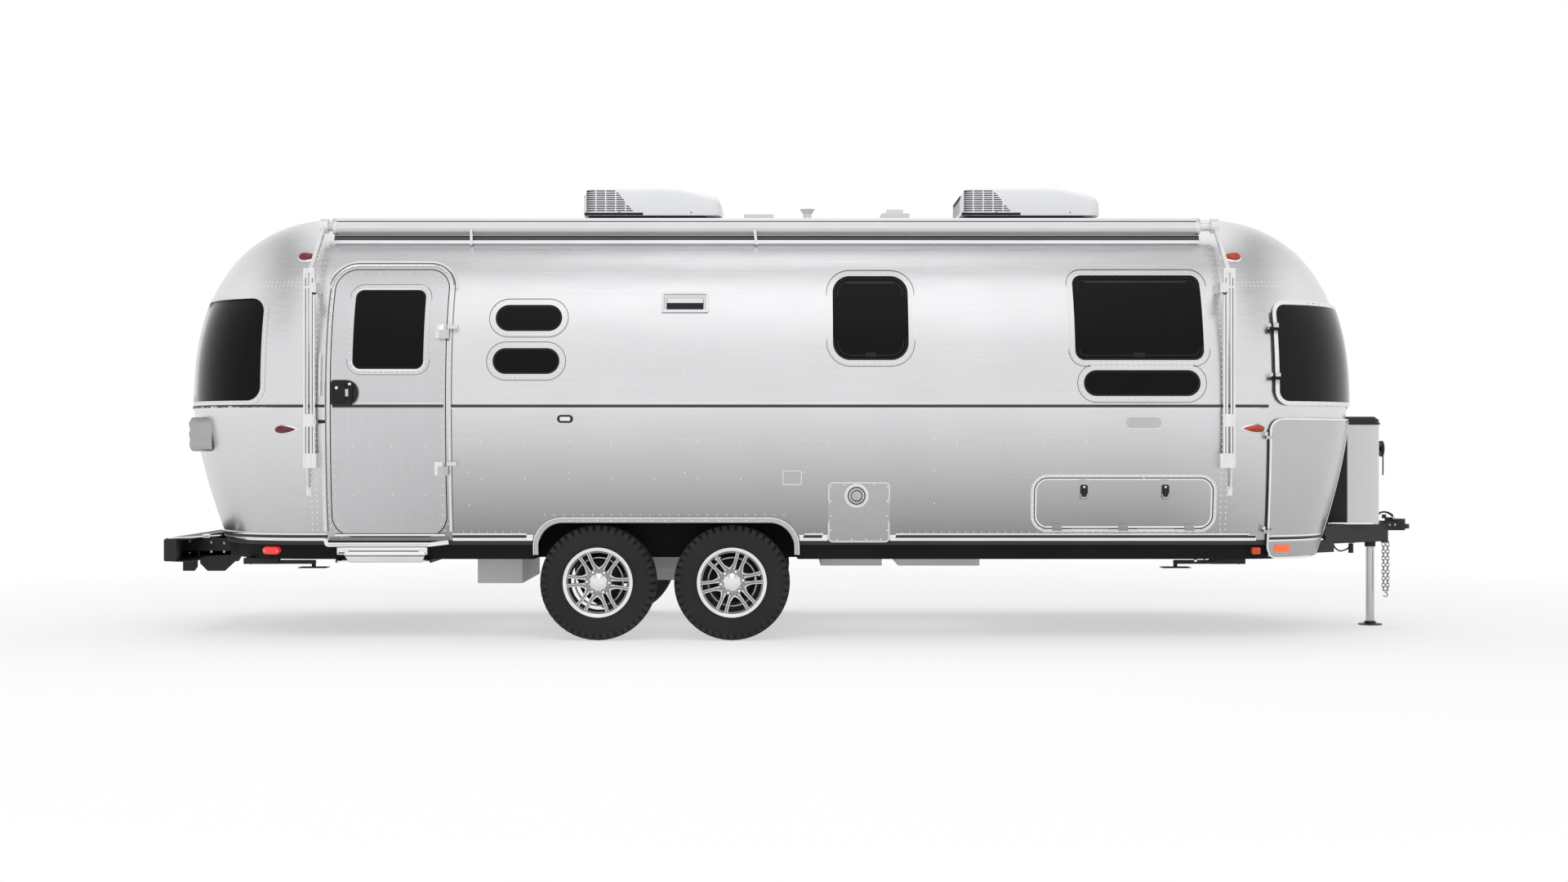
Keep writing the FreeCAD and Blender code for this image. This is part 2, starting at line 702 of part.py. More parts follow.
def make_tongue():
    """Hitch rails with the jack plate and the bottle shelf."""
    plate = box(3790.0, TONGUE_TIP_X, -120.0, 120.0, TONGUE_Z1, TONGUE_Z1 + SHELF_THICK)
    shelf = box(3560.0, 3800.0, -330.0, 330.0, TONGUE_Z1, TONGUE_Z1 + SHELF_THICK)
    frame = fuse([tongue_rail(-1.0), tongue_rail(1.0), plate, shelf])
    return frame.cut(cyl((JACK_X, 0, 400.0), (0, 0, 1), JACK_TUBE_R + SEAT, 600.0))


def make_belly_pan():
    top = SILL_Z - DECK_THICK - SEAT
    inset = PAN_INSET + PAN_THICK
    outer = Part.makeLoft([plan_wire(PAN_INSET, PAN_Z), plan_wire(PAN_INSET, top)], True, True)
    inner = Part.makeLoft([plan_wire(inset, PAN_Z + PAN_THICK), plan_wire(inset, top + 1.0)],
                          True, True)
    pan = outer.cut(inner)
    rails = [m for m in chassis_members(1.0) if m.BoundBox.XLength > 1000.0]
    rails += [tongue_rail(side, 1.0) for side in (-1.0, 1.0)]
    rails += [bumper_arm(side, 1.0) for side in (-1.0, 1.0)]
    rails += [axle_hanger(x, side, 1.0) for x in WHEEL_X for side in (-1.0, 1.0)]
    return pan.cut(rails + [well_box(-1.0, 1.0), well_box(1.0, 1.0)])


def make_wheel_wells():
    wells = []
    for side in (-1.0, 1.0):
        outer = well_box(side, 0.0)
        inner = well_box(side, -WELL_SHEET)
        shell = outer.cut(inner)
        y0, y1 = sorted((0, side * FAR))
        shell = shell.common(box(-FAR, FAR, y0, y1, PAN_Z, FAR))
        shell = shell.common(SHELLS.get("middle", WALL + SEAT, PAN_Z - 5.0))
        wells.append(shell)
    return group(wells)


def axle_hanger(x, side, grow=0.0):
    """Block between an axle beam and a main rail."""
    mid = x + BEAM_LEAD
    return box(mid - 60 - grow, mid + 60 + grow, side * RAIL_Y - 20 - grow, side * RAIL_Y + 20 + grow,
               BEAM_Z + BEAM_SIDE / 2 - 1, RAIL_Z0 - SEAT)


def make_axles():
    axles = []
    for x in WHEEL_X:
        beam_x = x + BEAM_LEAD
        beam = box(beam_x - BEAM_SIDE / 2, beam_x + BEAM_SIDE / 2, -800.0, 800.0,
                   BEAM_Z - BEAM_SIDE / 2, BEAM_Z + BEAM_SIDE / 2)
        pieces = [beam]
        for side in (-1.0, 1.0):
            y0, y1 = sorted((side * 800.0, side * 835.0))
            arm = Part.makePolygon([V(beam_x + 30, y0, BEAM_Z + 35), V(beam_x + 30, y0, BEAM_Z - 35),
                                    V(x - 28, y0, TYRE_R - 28), V(x - 28, y0, TYRE_R + 28),
                                    V(beam_x - 30, y0, BEAM_Z + 40), V(beam_x + 30, y0, BEAM_Z + 35)])
            pieces.append(Part.Face(arm).extrude(V(0, y1 - y0, 0)))
            pieces.append(cyl((x, side * 800.0, TYRE_R), (0, side, 0), SPINDLE_R, 345.0))
            pieces.append(cyl((x, side * 865.0, TYRE_R), (0, side, 0), DRUM_R + 3.0, 6.0))
            pieces.append(cyl((x, side * 834.0, TYRE_R), (0, side, 0), 45.0, 36.0))
            pieces.append(axle_hanger(x, side))
        axles.append(fuse(pieces))
    return group(axles)


def revolve_y(points, centre):
    """Ring from (radius, y) points, turned about a wheel's axle line."""
    x, z = centre
    wire = Part.makePolygon([V(x + r, y, z) for r, y in points + points[:1]])
    return Part.Face(wire).revolve(V(x, 0, z), V(0, 1, 0), 360.0)


def make_tyre(x, side):
    half = TYRE_WIDTH / 2
    c = side * TRACK_Y
    bead = BEAD_R + SEAT
    lip = RIM_R + SEAT
    outer = [(bead, -85.6), (lip, -91.6), (lip + 3, -100), (242, -107), (262, -half + 1),
             (300, -half), (336, -107), (355, -98), (TYRE_R, -78), (TYRE_R, 78), (355, 98),
             (336, 107), (300, half), (262, half - 1), (242, 107), (lip + 3, 100),
             (lip, 91.6), (bead, 85.6)]
    inner = [(bead, 66), (228, 80), (262, 97), (300, 99), (334, 92), (348, 72),
             (348, -72), (334, -92), (300, -99), (262, -97), (228, -80), (bead, -66)]
    return revolve_y([(r, c + y) for r, y in outer + inner], (x, TYRE_R))


def wheel_window(x, side, angle, spread, r0, r1, y0, y1):
    """Opening between spokes, tapered towards the hub."""
    pts = []
    for a, r in ((-spread[0], r0), (-spread[1], r1), (-spread[1] * 0.5, r1 + 4),
                 (spread[1] * 0.5, r1 + 4), (spread[1], r1), (spread[0], r0)):
        t = math.radians(angle + a)
        pts.append(V(x + r * math.sin(t), y0, TYRE_R + r * math.cos(t)))
    return Part.Face(Part.makePolygon(pts + pts[:1])).extrude(V(0, y1 - y0, 0))


def make_rim(x, side):
    c = side * TRACK_Y
    def pt(r, y):
        return (r, c + side * y)
    barrel = revolve_y([pt(RIM_R, 100), pt(RIM_R, 92), pt(BEAD_R, 86), pt(BEAD_R, 64),
                        pt(188, 40), pt(188, -40), pt(BEAD_R, -64), pt(BEAD_R, -86),
                        pt(RIM_R, -92), pt(RIM_R, -100), pt(RIM_R - 9, -100),
                        pt(BEAD_R - 8, -84), pt(BEAD_R - 8, -62), pt(180, -38), pt(180, 38),
                        pt(BEAD_R - 8, 62), pt(BEAD_R - 8, 92), pt(RIM_R - 7, 100)],
                       (x, TYRE_R))
    face = revolve_y([pt(HUB_R + 8, 12), pt(HUB_R + 10, 52), pt(150, 74), pt(200, 88),
                      pt(200, 66), pt(188, 52), pt(150, 40), pt(HUB_R + 20, 12)], (x, TYRE_R))
    y0, y1 = c, c + side * 130.0
    windows = []
    for i in range(6):
        a = 60.0 * i + RIM_TURN[x]
        windows.append(wheel_window(x, side, a + 30.0, (8.0, 5.5), 112.0, 176.0, y0, y1))
        windows.append(wheel_window(x, side, a, (9.0, 12.5), 100.0, 181.0, y0, y1))
    face = face.cut(windows)
    hub = revolve_y([pt(SPINDLE_R + SPINDLE_GAP, 30), pt(SPINDLE_R + SPINDLE_GAP, -60), pt(40, -60), pt(40, 0),
                     pt(HUB_R, 12), pt(HUB_R + 9, 12), pt(HUB_R + 11, 52), pt(52, 52),
                     pt(44, 44), pt(44, 30)], (x, TYRE_R))
    drum = revolve_y([pt(SPINDLE_R + SPINDLE_GAP, -60), pt(SPINDLE_R + SPINDLE_GAP, -205), pt(DRUM_R, -205),
                      pt(DRUM_R, -112), pt(60, -112), pt(60, -20), pt(40, -20), pt(40, -60)],
                     (x, TYRE_R))
    cap = revolve_y([pt(0.0, 60), pt(36, 60), pt(50, 46), pt(56, 52), pt(56, 58), pt(40, 72),
                     pt(0.0, 76)],
                    (x, TYRE_R))
    nuts = []
    for i in range(6):
        t = math.radians(60.0 * i + 30.0 + RIM_TURN[x])
        nuts.append(cyl((x + LUG_CIRCLE_R * math.sin(t), c + side * 51.0,
                         TYRE_R + LUG_CIRCLE_R * math.cos(t)), (0, side, 0), 10.0, 22.0))
    return fuse([barrel, face, hub, drum, cap] + nuts)


def make_coupler():
    top = TONGUE_Z1 + SHELF_THICK + SEAT
    strap = box(JACK_X + 72.0, COUPLER_X, -45.0, 45.0, top, top + 12.0)
    body = box(TONGUE_TIP_X + SEAT, COUPLER_X, -42.0, 42.0, COUPLER_Z0, top + 12.0)
    nose = cyl((COUPLER_X, 0, COUPLER_Z0), (0, 0, 1), 48.0, 78.0)
    lip = cyl((COUPLER_X + 20.0, 0, COUPLER_Z0 + 12.0), (0, 0, 1), 55.0, 30.0)
    latch = box(3955.0, 4020.0, -9.0, 9.0, top + 10.0, top + 36.0)
    handle = box(3935.0, 3962.0, -9.0, 9.0, top + 28.0, COUPLER_Z0 + 107.0)
    solid = fuse([strap, body, nose, lip, latch, handle])
    bore = cyl((COUPLER_X, 0, COUPLER_Z0 - 5.0), (0, 0, 1), BALL_BORE_R, 55.0)
    return solid.cut(bore)


def make_jack_tube():
    body = tube((JACK_X, 0, JACK_TUBE_Z0), (0, 0, 1), JACK_TUBE_R, JACK_BORE_R,
                JACK_TUBE_Z1 - JACK_TUBE_Z0)
    head = box(3800.0, 3910.0, -42.0, 42.0, JACK_TUBE_Z1, JACK_TUBE_Z1 + 110.0)
    knob = cyl((3905.0, 0, 1205.0), (1, 0, 0), 20.0, 45.0)
    flange = cyl((JACK_X, 0, TONGUE_Z1 + SHELF_THICK + SEAT), (0, 0, 1), 56.0, 10.0)
    flange = flange.cut(cyl((JACK_X, 0, 600.0), (0, 0, 1), JACK_BORE_R, 300.0))
    return fuse([body, head, knob, flange])


def make_jack_leg():
    leg = cyl((JACK_X, 0, 10.0), (0, 0, 1), JACK_LEG_R, JACK_LEG_TOP - 10.0)
    foot = cyl((JACK_X, 0, 0), (0, 0, 1), JACK_FOOT_R, 12.0)
    return fuse([leg, foot])


def recess(grow=0.0):
    return box(JACK_X - JACK_TUBE_R - 22.0 - grow, FAR, -(60.0 + grow), 60.0 + grow, -FAR, FAR)


def gas_outline(inset, z0, z1):
    x1 = GAS_X1 - inset
    y = GAS_Y - inset
    r = 60.0 - inset
    face = rounded(x1 - 3300.0, 2 * y, r, lambda u, v: V(3300.0 + u, -y + v, z0))
    return face.extrude(V(0, 0, z1 - z0))


def make_gas_cover():
    outer = gas_outline(0.0, GAS_Z0, GAS_Z1).cut(recess())
    inner = gas_outline(GAS_SHEET, GAS_Z0 - 1.0, GAS_Z1 + 1.0).cut(recess(GAS_SHEET))
    shell = outer.cut(inner)
    shell = shell.cut([SHELLS.get("front", -15.0, SILL_Z - 20.0),
                       box(-FAR, GAS_X0, -FAR, FAR, 0, FAR)])
    brackets = []
    for y0 in (-170.0 + SEAT, 110.0 - SEAT):
        brackets.append(fuse([
            cyl((LID_HINGE_X, y0, LID_HINGE_Z), (0, 1, 0), 4.5, 60.0),
            box(LID_HINGE_X - 4.5, LID_HINGE_X - 1.5, y0, y0 + 60.0, GAS_Z1 - 30.0, LID_HINGE_Z)]))
    beam = box(LID_HINGE_X - 4.5, LID_HINGE_X + 4.5, -GAS_Y + 3.0, GAS_Y - 3.0,
               GAS_Z1 - 42.0, GAS_Z1 - 24.0)
    return fuse([shell, beam] + brackets)


def make_gas_lid():
    lid = gas_outline(-6.0, GAS_Z1 + SEAT, LID_Z1).cut(recess(-4.0))
    inner = gas_outline(6.0, GAS_Z1 - 1.0, LID_Z1 - 8.0).cut(recess(10.0))
    lid = lid.cut([inner, box(-FAR, LID_X0, -FAR, FAR, 0, FAR)])
    rear = box(LID_X0, LID_X0 + 6.0, -GAS_Y + 6.0, GAS_Y - 6.0, LID_Z1 - 40.0, LID_Z1 - 1.0)
    ears = []
    for y in (-230.0, 170.0):
        ears.append(cyl((LID_HINGE_X, y, LID_HINGE_Z), (0, 1, 0), 4.5, 60.0))
        ears.append(box(LID_HINGE_X, LID_X0 + 1.0, y, y + 60.0, LID_HINGE_Z - 4.5, LID_HINGE_Z + 4.5))
    return fuse([lid, rear] + ears)


def make_gas_bottles():
    bottles = []
    for side in (-1.0, 1.0):
        y = side * BOTTLE_Y
        z0 = TONGUE_Z1 + SHELF_THICK + SEAT
        ring = tube((BOTTLE_X, y, z0), (0, 0, 1), 95.0, 90.0, 40.0)
        body = cyl((BOTTLE_X, y, z0 + 30.0), (0, 0, 1), BOTTLE_R, BOTTLE_TOP_Z - z0 - 30.0)
        rims = [e for e in body.Edges if e.Closed and e.BoundBox.ZLength < 0.1]
        body = body.makeFillet(60.0, rims)
        collar = tube((BOTTLE_X, y, BOTTLE_TOP_Z - 20.0), (0, 0, 1), 80.0, 75.0, 120.0)
        valve = cyl((BOTTLE_X, y, BOTTLE_TOP_Z - 5.0), (0, 0, 1), 22.0, 80.0)
        bottles.append(fuse([body, ring, collar, valve]))
    return group(bottles)


def guard_axis_point(z, zs, out, x, side):
    y0, y1 = (wall_y(x, v) + out for v in zs)
    return V(x, side * (y0 + (y1 - y0) * (z - zs[0]) / (zs[1] - zs[0])), z)


def guard_knuckles(zs, out, x, side, moving):
    """Hinge tabs of a corner guard: on the guard or on the body."""
    points = [guard_axis_point(v, zs, out, x, side) for v in zs]
    axis = hinge_line(points)
    tabs = []
    for p in points:
        start = p + axis * (-22.0 if moving else SEAT)
        knuckle = cyl(tuple(start), tuple(axis), 6.0, 22.0)
        low, high = knuckle.BoundBox.ZMin + 2.0, knuckle.BoundBox.ZMax - 2.0
        y0, y1 = sorted((p.y + side * 3.0, side * (wall_y(x + 60.0, p.z) - 30.0)))
        if moving:
            arm = box(x, x + 60.0, y0, y1, low, high)
            keep = SHELLS.get("front", -GUARD_OUT - GUARD_THICK / 3, SHIELD_Z0 - 1.0)
        else:
            arm = box(x - 12.0, x + 0.5, y0, y1, low, high)
            keep = SHELLS.get("front", -SEAT, SHIELD_Z0 - 1.0)
        tabs.append(fuse([knuckle, arm.cut(keep)]))
    return tabs


def make_window_guard(side):
    z_low = SHIELD_Z0 - 1.0
    window = (GUARD_X, GUARD_Y, GUARD_Z0, GUARD_Z1, GUARD_R)
    panel = SHELLS.piece("front", -GUARD_OUT - GUARD_THICK, -GUARD_OUT,
                         corner_prism(window, 1.0, side), z_low)
    tabs = guard_knuckles(GUARD_HINGE_ZS, GUARD_HINGE_OUT, GUARD_HINGE_X, side, True)
    return fuse([panel] + tabs)


def make_shield(side):
    z_low = SHIELD_Z0 - 1.0
    window = (SHIELD_X, SHIELD_Y, SHIELD_Z0, SHIELD_Z1, SHIELD_R)
    panel = SHELLS.piece("front", -GUARD_OUT - GUARD_THICK, -GUARD_OUT,
                         corner_prism(window, 1.0, side), z_low)
    tabs = guard_knuckles(SHIELD_HINGE_ZS, SHIELD_HINGE_OUT, SHIELD_HINGE_X, side, True)
    return fuse([panel] + tabs)


def make_guard_hinges():
    tabs = []
    for side in (-1.0, 1.0):
        tabs += guard_knuckles(GUARD_HINGE_ZS, GUARD_HINGE_OUT, GUARD_HINGE_X, side, False)
        tabs += guard_knuckles(SHIELD_HINGE_ZS, SHIELD_HINGE_OUT, SHIELD_HINGE_X, side, False)
    return tabs


def make_awning():
    length = ROLLER_X1 - ROLLER_X0
    roller = cyl((ROLLER_X0, ROLLER_Y, ROLLER_Z), (1, 0, 0), ROLLER_R, length)
    return roller


def make_awning_arms():
    pieces = []
    for pair in ARM_PAIRS:
        solids = []
        for x in pair:
            solids.append(box(x - 15.0, x + 15.0, ARM_Y - 14.0, ARM_Y + 14.0, 1100.0, 2330.0))
        mid = sum(pair) / 2
        x0, x1 = (REAR_SEAM_X + 1.0, pair[1] + 25.0) if mid < 0 else (pair[0] - 35.0,
                                                                     FRONT_SEAM_X - 1.0)
        for z0, z1 in ((2180.0, 2240.0), (1090.0, 1180.0)):
            foot = box(x0, x1, ARM_Y - 20.0, -half_width(z1) + 60.0, z0, z1)
            solids.append(foot.cut(SHELLS.get("middle", -SEAT)))
        solids.append(box(pair[0] - 15.0, pair[1] + 15.0, ARM_Y - 20.0, ARM_Y + 16.0,
                          1090.0, 1180.0))
        knuckle = cyl((mid - 25.0, ROLLER_Y - 40.0, ROLLER_Z), (1, 0, 0), 48.0, 50.0)
        link = Part.Face(Part.makePolygon([
            V(mid - 12.0, ARM_Y - 14.0, 2300.0), V(mid - 12.0, ARM_Y + 14.0, 2300.0),
            V(mid - 12.0, ROLLER_Y - 60.0, ROLLER_Z - 30.0),
            V(mid - 12.0, ROLLER_Y - 60.0, ROLLER_Z + 10.0),
            V(mid - 12.0, ARM_Y - 14.0, 2300.0)])).extrude(V(24.0, 0, 0))
        spindle_x0, spindle_x1 = ((mid, ROLLER_X0 - SEAT) if mid < 0 else (ROLLER_X1 + SEAT, mid))
        spindle = cyl((spindle_x0, ROLLER_Y, ROLLER_Z), (1, 0, 0), 30.0, spindle_x1 - spindle_x0)
        bridge = box(pair[0] - 15.0, pair[1] + 15.0, ARM_Y - 14.0, ARM_Y + 14.0, 2300.0, 2332.0)
        pieces.append(fuse(solids + [knuckle, link, spindle, bridge]))
    return group(pieces)


def make_ac(xs):
    x0, x1 = xs
    z0 = AC_BASE_Z
    side = [V(x0, 0, z0), V(x1, 0, z0), V(x1 - 6, 0, z0 + 95), V(x1 - 110, 0, z0 + 150),
            V(x1 - 300, 0, AC_TOP_Z), V(x0 + 25, 0, AC_TOP_Z), V(x0, 0, AC_TOP_Z - 25),
            V(x0, 0, z0)]
    body = Part.Face(Part.makePolygon([p + V(0, -AC_HALF_Y, 0) for p in side]))
    body = body.extrude(V(0, 2 * AC_HALF_Y, 0))
    base = box(x0 + 30, x1 - 30, -AC_HALF_Y + 40, AC_HALF_Y - 40, BELT_Z + CROWN_RISE - 60, z0 + 1)
    base = base.cut(SHELLS.get("middle", -SEAT))
    return fuse([body, base])


def make_roof_vents():
    def on_roof(shape):
        return shape.cut(SHELLS.get("middle", -SEAT))
    low = on_roof(box(-430.0, -230.0, -180.0, 180.0, 2700.0, 2790.0))
    pipe = on_roof(fuse([cyl((0, 0, 2700.0), (0, 0, 1), 28.0, 120.0),
                         Part.makeCone(30.0, 52.0, 30.0, V(0, 0, 2812.0))]))
    dome = on_roof(fuse([box(500.0, 690.0, -150.0, 150.0, 2700.0, 2800.0),
                         box(540.0, 650.0, -110.0, 110.0, 2799.0, 2830.0)]))
    return group([low, pipe, dome])


def lamp(x0, x1, z, side, tail):
    """Teardrop marker lamp on the body, its thin end at tail."""
    mid = (x0 + x1) / 2
    y = half_width(z)
    face = rounded(x1 - x0, 46.0, 22.0, lambda u, v: V(x0 + u, side * (y - 40.0), z - 23.0 + v))
    body = face.extrude(V(0, side * 62.0, 0))
    return body


def make_marker_lamps():
    lamps = []
    spots = ((-3262.0, -3115.0, 2430.0), (-3340.0, -3190.0, 1329.0),
             (2612.0, 2760.0, 2430.0), (2690.0, 2838.0, 1335.0))
    for x0, x1, z in spots:
        for side in (-1.0, 1.0):
            end = "front" if x0 > 0 else "rear"
            lamps.append(lamp(x0, x1, z, side, 0).cut(SHELLS.get(end, -SEAT)))
    return lamps


def make_tail_lamps():
    lamps = []
    for side in (-1.0, 1.0):
        y0, y1 = sorted((side * 870.0, side * 1040.0))
        block = box(-4120.0, -3700.0, y0, y1, 1190.0, 1410.0)
        near = SHELLS.get("rear", -55.0)
        lamps.append(block.common(near).cut(SHELLS.get("rear", -SEAT)))
    return lamps


def bumper_arm(side, grow=0.0):
    """Arm from a main rail's end back to the bumper."""
    y = side * RAIL_Y
    return box(BUMPER_X0 + 5.0, RAIL_X0 - SEAT + grow, y - 30.0 - grow, y + 30.0 + grow,
               RAIL_Z0 + 4.0 - grow, RAIL_Z1 - 4.0 + grow)


def make_bumper():
    bar = box(BUMPER_X0, BUMPER_X1, -BUMPER_Y + 60.0, BUMPER_Y - 60.0, BUMPER_Z0, BUMPER_Z1)
    ends = []
    for side in (-1.0, 1.0):
        ends.append(cyl((BUMPER_X1, side * (BUMPER_Y - 135.0), BUMPER_Z0), (0, 0, 1), 135.0,
                        BUMPER_Z1 - BUMPER_Z0))
    block = fuse([bar] + ends)
    hollow = box(BUMPER_X0 + 6.0, FAR, -FAR, FAR, BUMPER_Z0 + 6.0, BUMPER_Z1 - 6.0)
    block = block.cut(hollow)
    block = block.cut(box(BUMPER_X1 + 45.0, FAR, -FAR, FAR, 0, FAR))
    return fuse([block] + [bumper_arm(side) for side in (-1.0, 1.0)])


def make_tanks():
    tanks = [box(-2185.0, -1890.0, -500.0, 500.0, 317.0, PAN_Z - SEAT),
             box(83.0, 489.0, -450.0, 450.0, 430.0, PAN_Z - SEAT),
             box(597.0, 1137.0, -450.0, 450.0, 430.0, PAN_Z - SEAT),
             box(-1060.0, -760.0, -450.0, 450.0, 335.0, PAN_Z - SEAT)]
    return group(tanks)


def make_step_frame():
    rails = []
    for x in (STEP_X0, STEP_X1 - 12.0):
        rails.append(box(x, x + 12.0, -1190.0, -800.0, 492.0, PAN_Z - SEAT))
    rails.append(box(STEP_X0, STEP_X1, -812.0, -800.0, 492.0, PAN_Z - SEAT))
    return fuse(rails)


def make_step_tread():
    return box(STEP_X0 + 12.0 + SEAT, STEP_X1 - 12.0 - SEAT, -1195.0, -960.0, 470.0, 505.0)


def stab_channel(pivot_x, direction, side):
    y = side * STAB_Y
    x0, x1 = sorted((pivot_x - direction * 40.0, pivot_x + direction * 180.0))
    web = box(x0, x1, y - 35.0, y + 35.0, PAN_Z - 6.0, PAN_Z - SEAT)
    cheeks = [box(x0, x1, y - 35.0, y - 31.0, STAB_PIVOT_Z - 12.0, PAN_Z - 3.0),
              box(x0, x1, y + 31.0, y + 35.0, STAB_PIVOT_Z - 12.0, PAN_Z - 3.0)]
    pin = cyl((pivot_x, y - 35.0, STAB_PIVOT_Z), (0, 1, 0), 7.0, 70.0)
    return fuse([web, pin] + cheeks)


def make_under_brackets():
    """Stabiliser channels and the step's side rails, under the floor."""
    out = [make_step_frame()]
    for name, x, direction in STABILISERS:
        for side in (-1.0, 1.0):
            out.append(stab_channel(x, direction, side))
    return group(out)


def make_stab_leg(pivot_x, direction, side):
    """Swing-down leg with a fork at its end for the foot's pin."""
    y = side * STAB_Y
    tip = pivot_x + direction * STAB_LEG
    x0, x1 = sorted((pivot_x, tip - direction * 26.0))
    bar = box(x0, x1, y - 20.0, y + 20.0, STAB_PIVOT_Z - 12.0, STAB_PIVOT_Z + 12.0)
    x0, x1 = sorted((tip - direction * 30.0, tip))
    fork = []
    for edge in (-20.0, 14.0):
        fork.append(box(x0, x1, y + edge, y + edge + 6.0, STAB_PIVOT_Z - 12.0, STAB_PIVOT_Z + 12.0))
        fork.append(cyl((tip, y + edge, STAB_PIVOT_Z), (0, 1, 0), 12.0, 6.0))
    pin = cyl((tip, y - 20.0, STAB_PIVOT_Z), (0, 1, 0), 6.0, 40.0)
    eye = cyl((pivot_x, y - 20.0, STAB_PIVOT_Z), (0, 1, 0), 15.0, 40.0)
    bore = cyl((pivot_x, y - 40.0, STAB_PIVOT_Z), (0, 1, 0), 7.05, 80.0)
    return fuse([bar, eye, pin] + fork).cut(bore)


def make_stab_foot(pivot_x, direction, side):
    """Foot plate that hangs level on the leg's pin."""
    y = side * STAB_Y
    tip = pivot_x + direction * STAB_LEG
    plate = box(tip - 90.0, tip + 90.0, y - 60.0, y + 60.0, STAB_FOOT_Z - 5.0, STAB_FOOT_Z)
    lug = box(tip - 12.0, tip + 12.0, y - 8.0, y + 8.0, STAB_FOOT_Z - 1.0, STAB_PIVOT_Z)
    eye = cyl((tip, y - 8.0, STAB_PIVOT_Z), (0, 1, 0), 12.0, 16.0)
    bore = cyl((tip, y - 40.0, STAB_PIVOT_Z), (0, 1, 0), 6.05, 80.0)
    return fuse([plate, lug, eye]).cut(bore)


def make_service_panels():
    curb = [side_prism(HEATER_X0, HEATER_X1, 622.0, 1002.0, 30.0, -1.0),
            side_prism(-170.0, -48.0, 982.0, 1074.0, 15.0, -1.0),
            side_prism(-930.0, -634.0, 2062.0, 2195.0, 10.0, -1.0),
            side_prism(1970.0, 2200.0, 1333.0, 1410.0, 38.0, -1.0),
            side_prism(-1576.0, -1476.0, 1370.0, 1420.0, 24.0, -1.0)]
    street = [side_prism(HEATER_X0, HEATER_X1, 690.0, 1002.0, 30.0, 1.0),
              side_prism(-2500.0, -2330.0, 800.0, 970.0, 30.0, 1.0),
              side_prism(-2150.0, -1980.0, 800.0, 970.0, 30.0, 1.0)]
    return group([SHELLS.piece("middle", -5.0, -SEAT, p, 610.0) for p in curb + street])


def save(name, shape):
    if shape.ShapeType == "Compound" and len(shape.Solids) == 1:
        shape = shape.Solids[0]
    shape.exportStep("parts/" + name + ".step")


def main():
    os.makedirs("parts", exist_ok=True)
    nodes = {
        "chassis_frame": group(chassis_members()),
        "tongue_frame": make_tongue(),
        "belly_pan": make_belly_pan(),
        "floor_deck": make_floor_deck(),
        "wheel_wells": make_wheel_wells(),
        "side_wall_curb": make_side_wall(-1.0),
        "side_wall_street": make_side_wall(1.0),
        "roof_panel": make_roof(),
        "front_cap_upper": make_cap("front", True),
        "front_cap_lower": make_cap("front", False),
        "rear_cap_upper": make_cap("rear", True),
        "rear_cap_lower": make_cap("rear", False),
        "window_frames": group(make_side_frames(-1.0) + make_side_frames(1.0)
                               + make_end_frames("front") + make_end_frames("rear")),
        "window_glass": group(make_side_glass(-1.0) + make_side_glass(1.0)
                              + make_end_glass("front") + make_end_glass("rear")),
        "body_trim": make_body_trim(),
        "service_panels": make_service_panels(),
        "entry_door": make_door(),
        "entry_door_glass": make_door_glass(),
        "fixed_hinges": group(make_door_hinges() + make_guard_hinges()
                              + hatch_knuckles(-1.0, False) + hatch_knuckles(1.0, False)),
        "hatch_curb": make_hatch(-1.0),
        "hatch_street": make_hatch(1.0),
        "window_guard_curb": make_window_guard(-1.0),
        "window_guard_street": make_window_guard(1.0),
        "corner_shield_curb": make_shield(-1.0),
        "corner_shield_street": make_shield(1.0),
        "awning_roller": make_awning(),
        "awning_arms": make_awning_arms(),
        "roof_air_units": group([make_ac(AC_REAR_X), make_ac(AC_FRONT_X)]),
        "roof_vents": make_roof_vents(),
        "lamps": group(make_marker_lamps() + make_tail_lamps()),
        "rear_bumper": make_bumper(),
        "tank_pans": make_tanks(),
        "axles": make_axles(),
        "coupler": make_coupler(),
        "jack_tube": make_jack_tube(),
        "jack_leg": make_jack_leg(),
        "gas_cover": make_gas_cover(),
        "gas_cover_lid": make_gas_lid(),
        "gas_bottles": make_gas_bottles(),
        "step_tread": make_step_tread(),
        "underfloor_brackets": make_under_brackets(),
    }
    for name, x, direction in STABILISERS:
        for side, letter in ((-1.0, "curb"), (1.0, "street")):
            nodes["stabiliser_leg_%s_%s" % (name, letter)] = make_stab_leg(x, direction, side)
            nodes["stabiliser_foot_%s_%s" % (name, letter)] = make_stab_foot(x, direction, side)
    for i, x in enumerate(WHEEL_X):
        for side, letter in ((-1.0, "curb"), (1.0, "street")):
            place = "%s_%s" % ("front" if i == 0 else "rear", letter)
            nodes["tyre_" + place] = make_tyre(x, side)
            nodes["rim_" + place] = make_rim(x, side)
    for name, shape in nodes.items():
        save(name, shape)
        box_ = shape.BoundBox
        print("%-26s solids %d valid %s vol %.2f dm3  x %.0f %.0f y %.0f %.0f z %.0f %.0f" % (
            name, len(shape.Solids), shape.isValid(), shape.Volume / 1e6, box_.XMin, box_.XMax,
            box_.YMin, box_.YMax, box_.ZMin, box_.ZMax))
    print("door hinge", door_axis_point(DOOR_HINGE_ZS[0]), door_axis_point(DOOR_HINGE_ZS[1]))


if __name__ == "__main__":
    main()
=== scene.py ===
"""Looks of a riveted aluminium travel caravan, parked on its nose jack.

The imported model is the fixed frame. This script gives its solids their finishes and adds
the rivets, tyres, wheels, lamps, roof units and fittings as surfaces worked out with numpy.
Metres, +X to the hitch, +Y to the street side, -Y to the curb side with the entry door.
"""

import json
import logging
import math
from dataclasses import dataclass
from enum import Enum
from typing import Optional, Sequence, Union

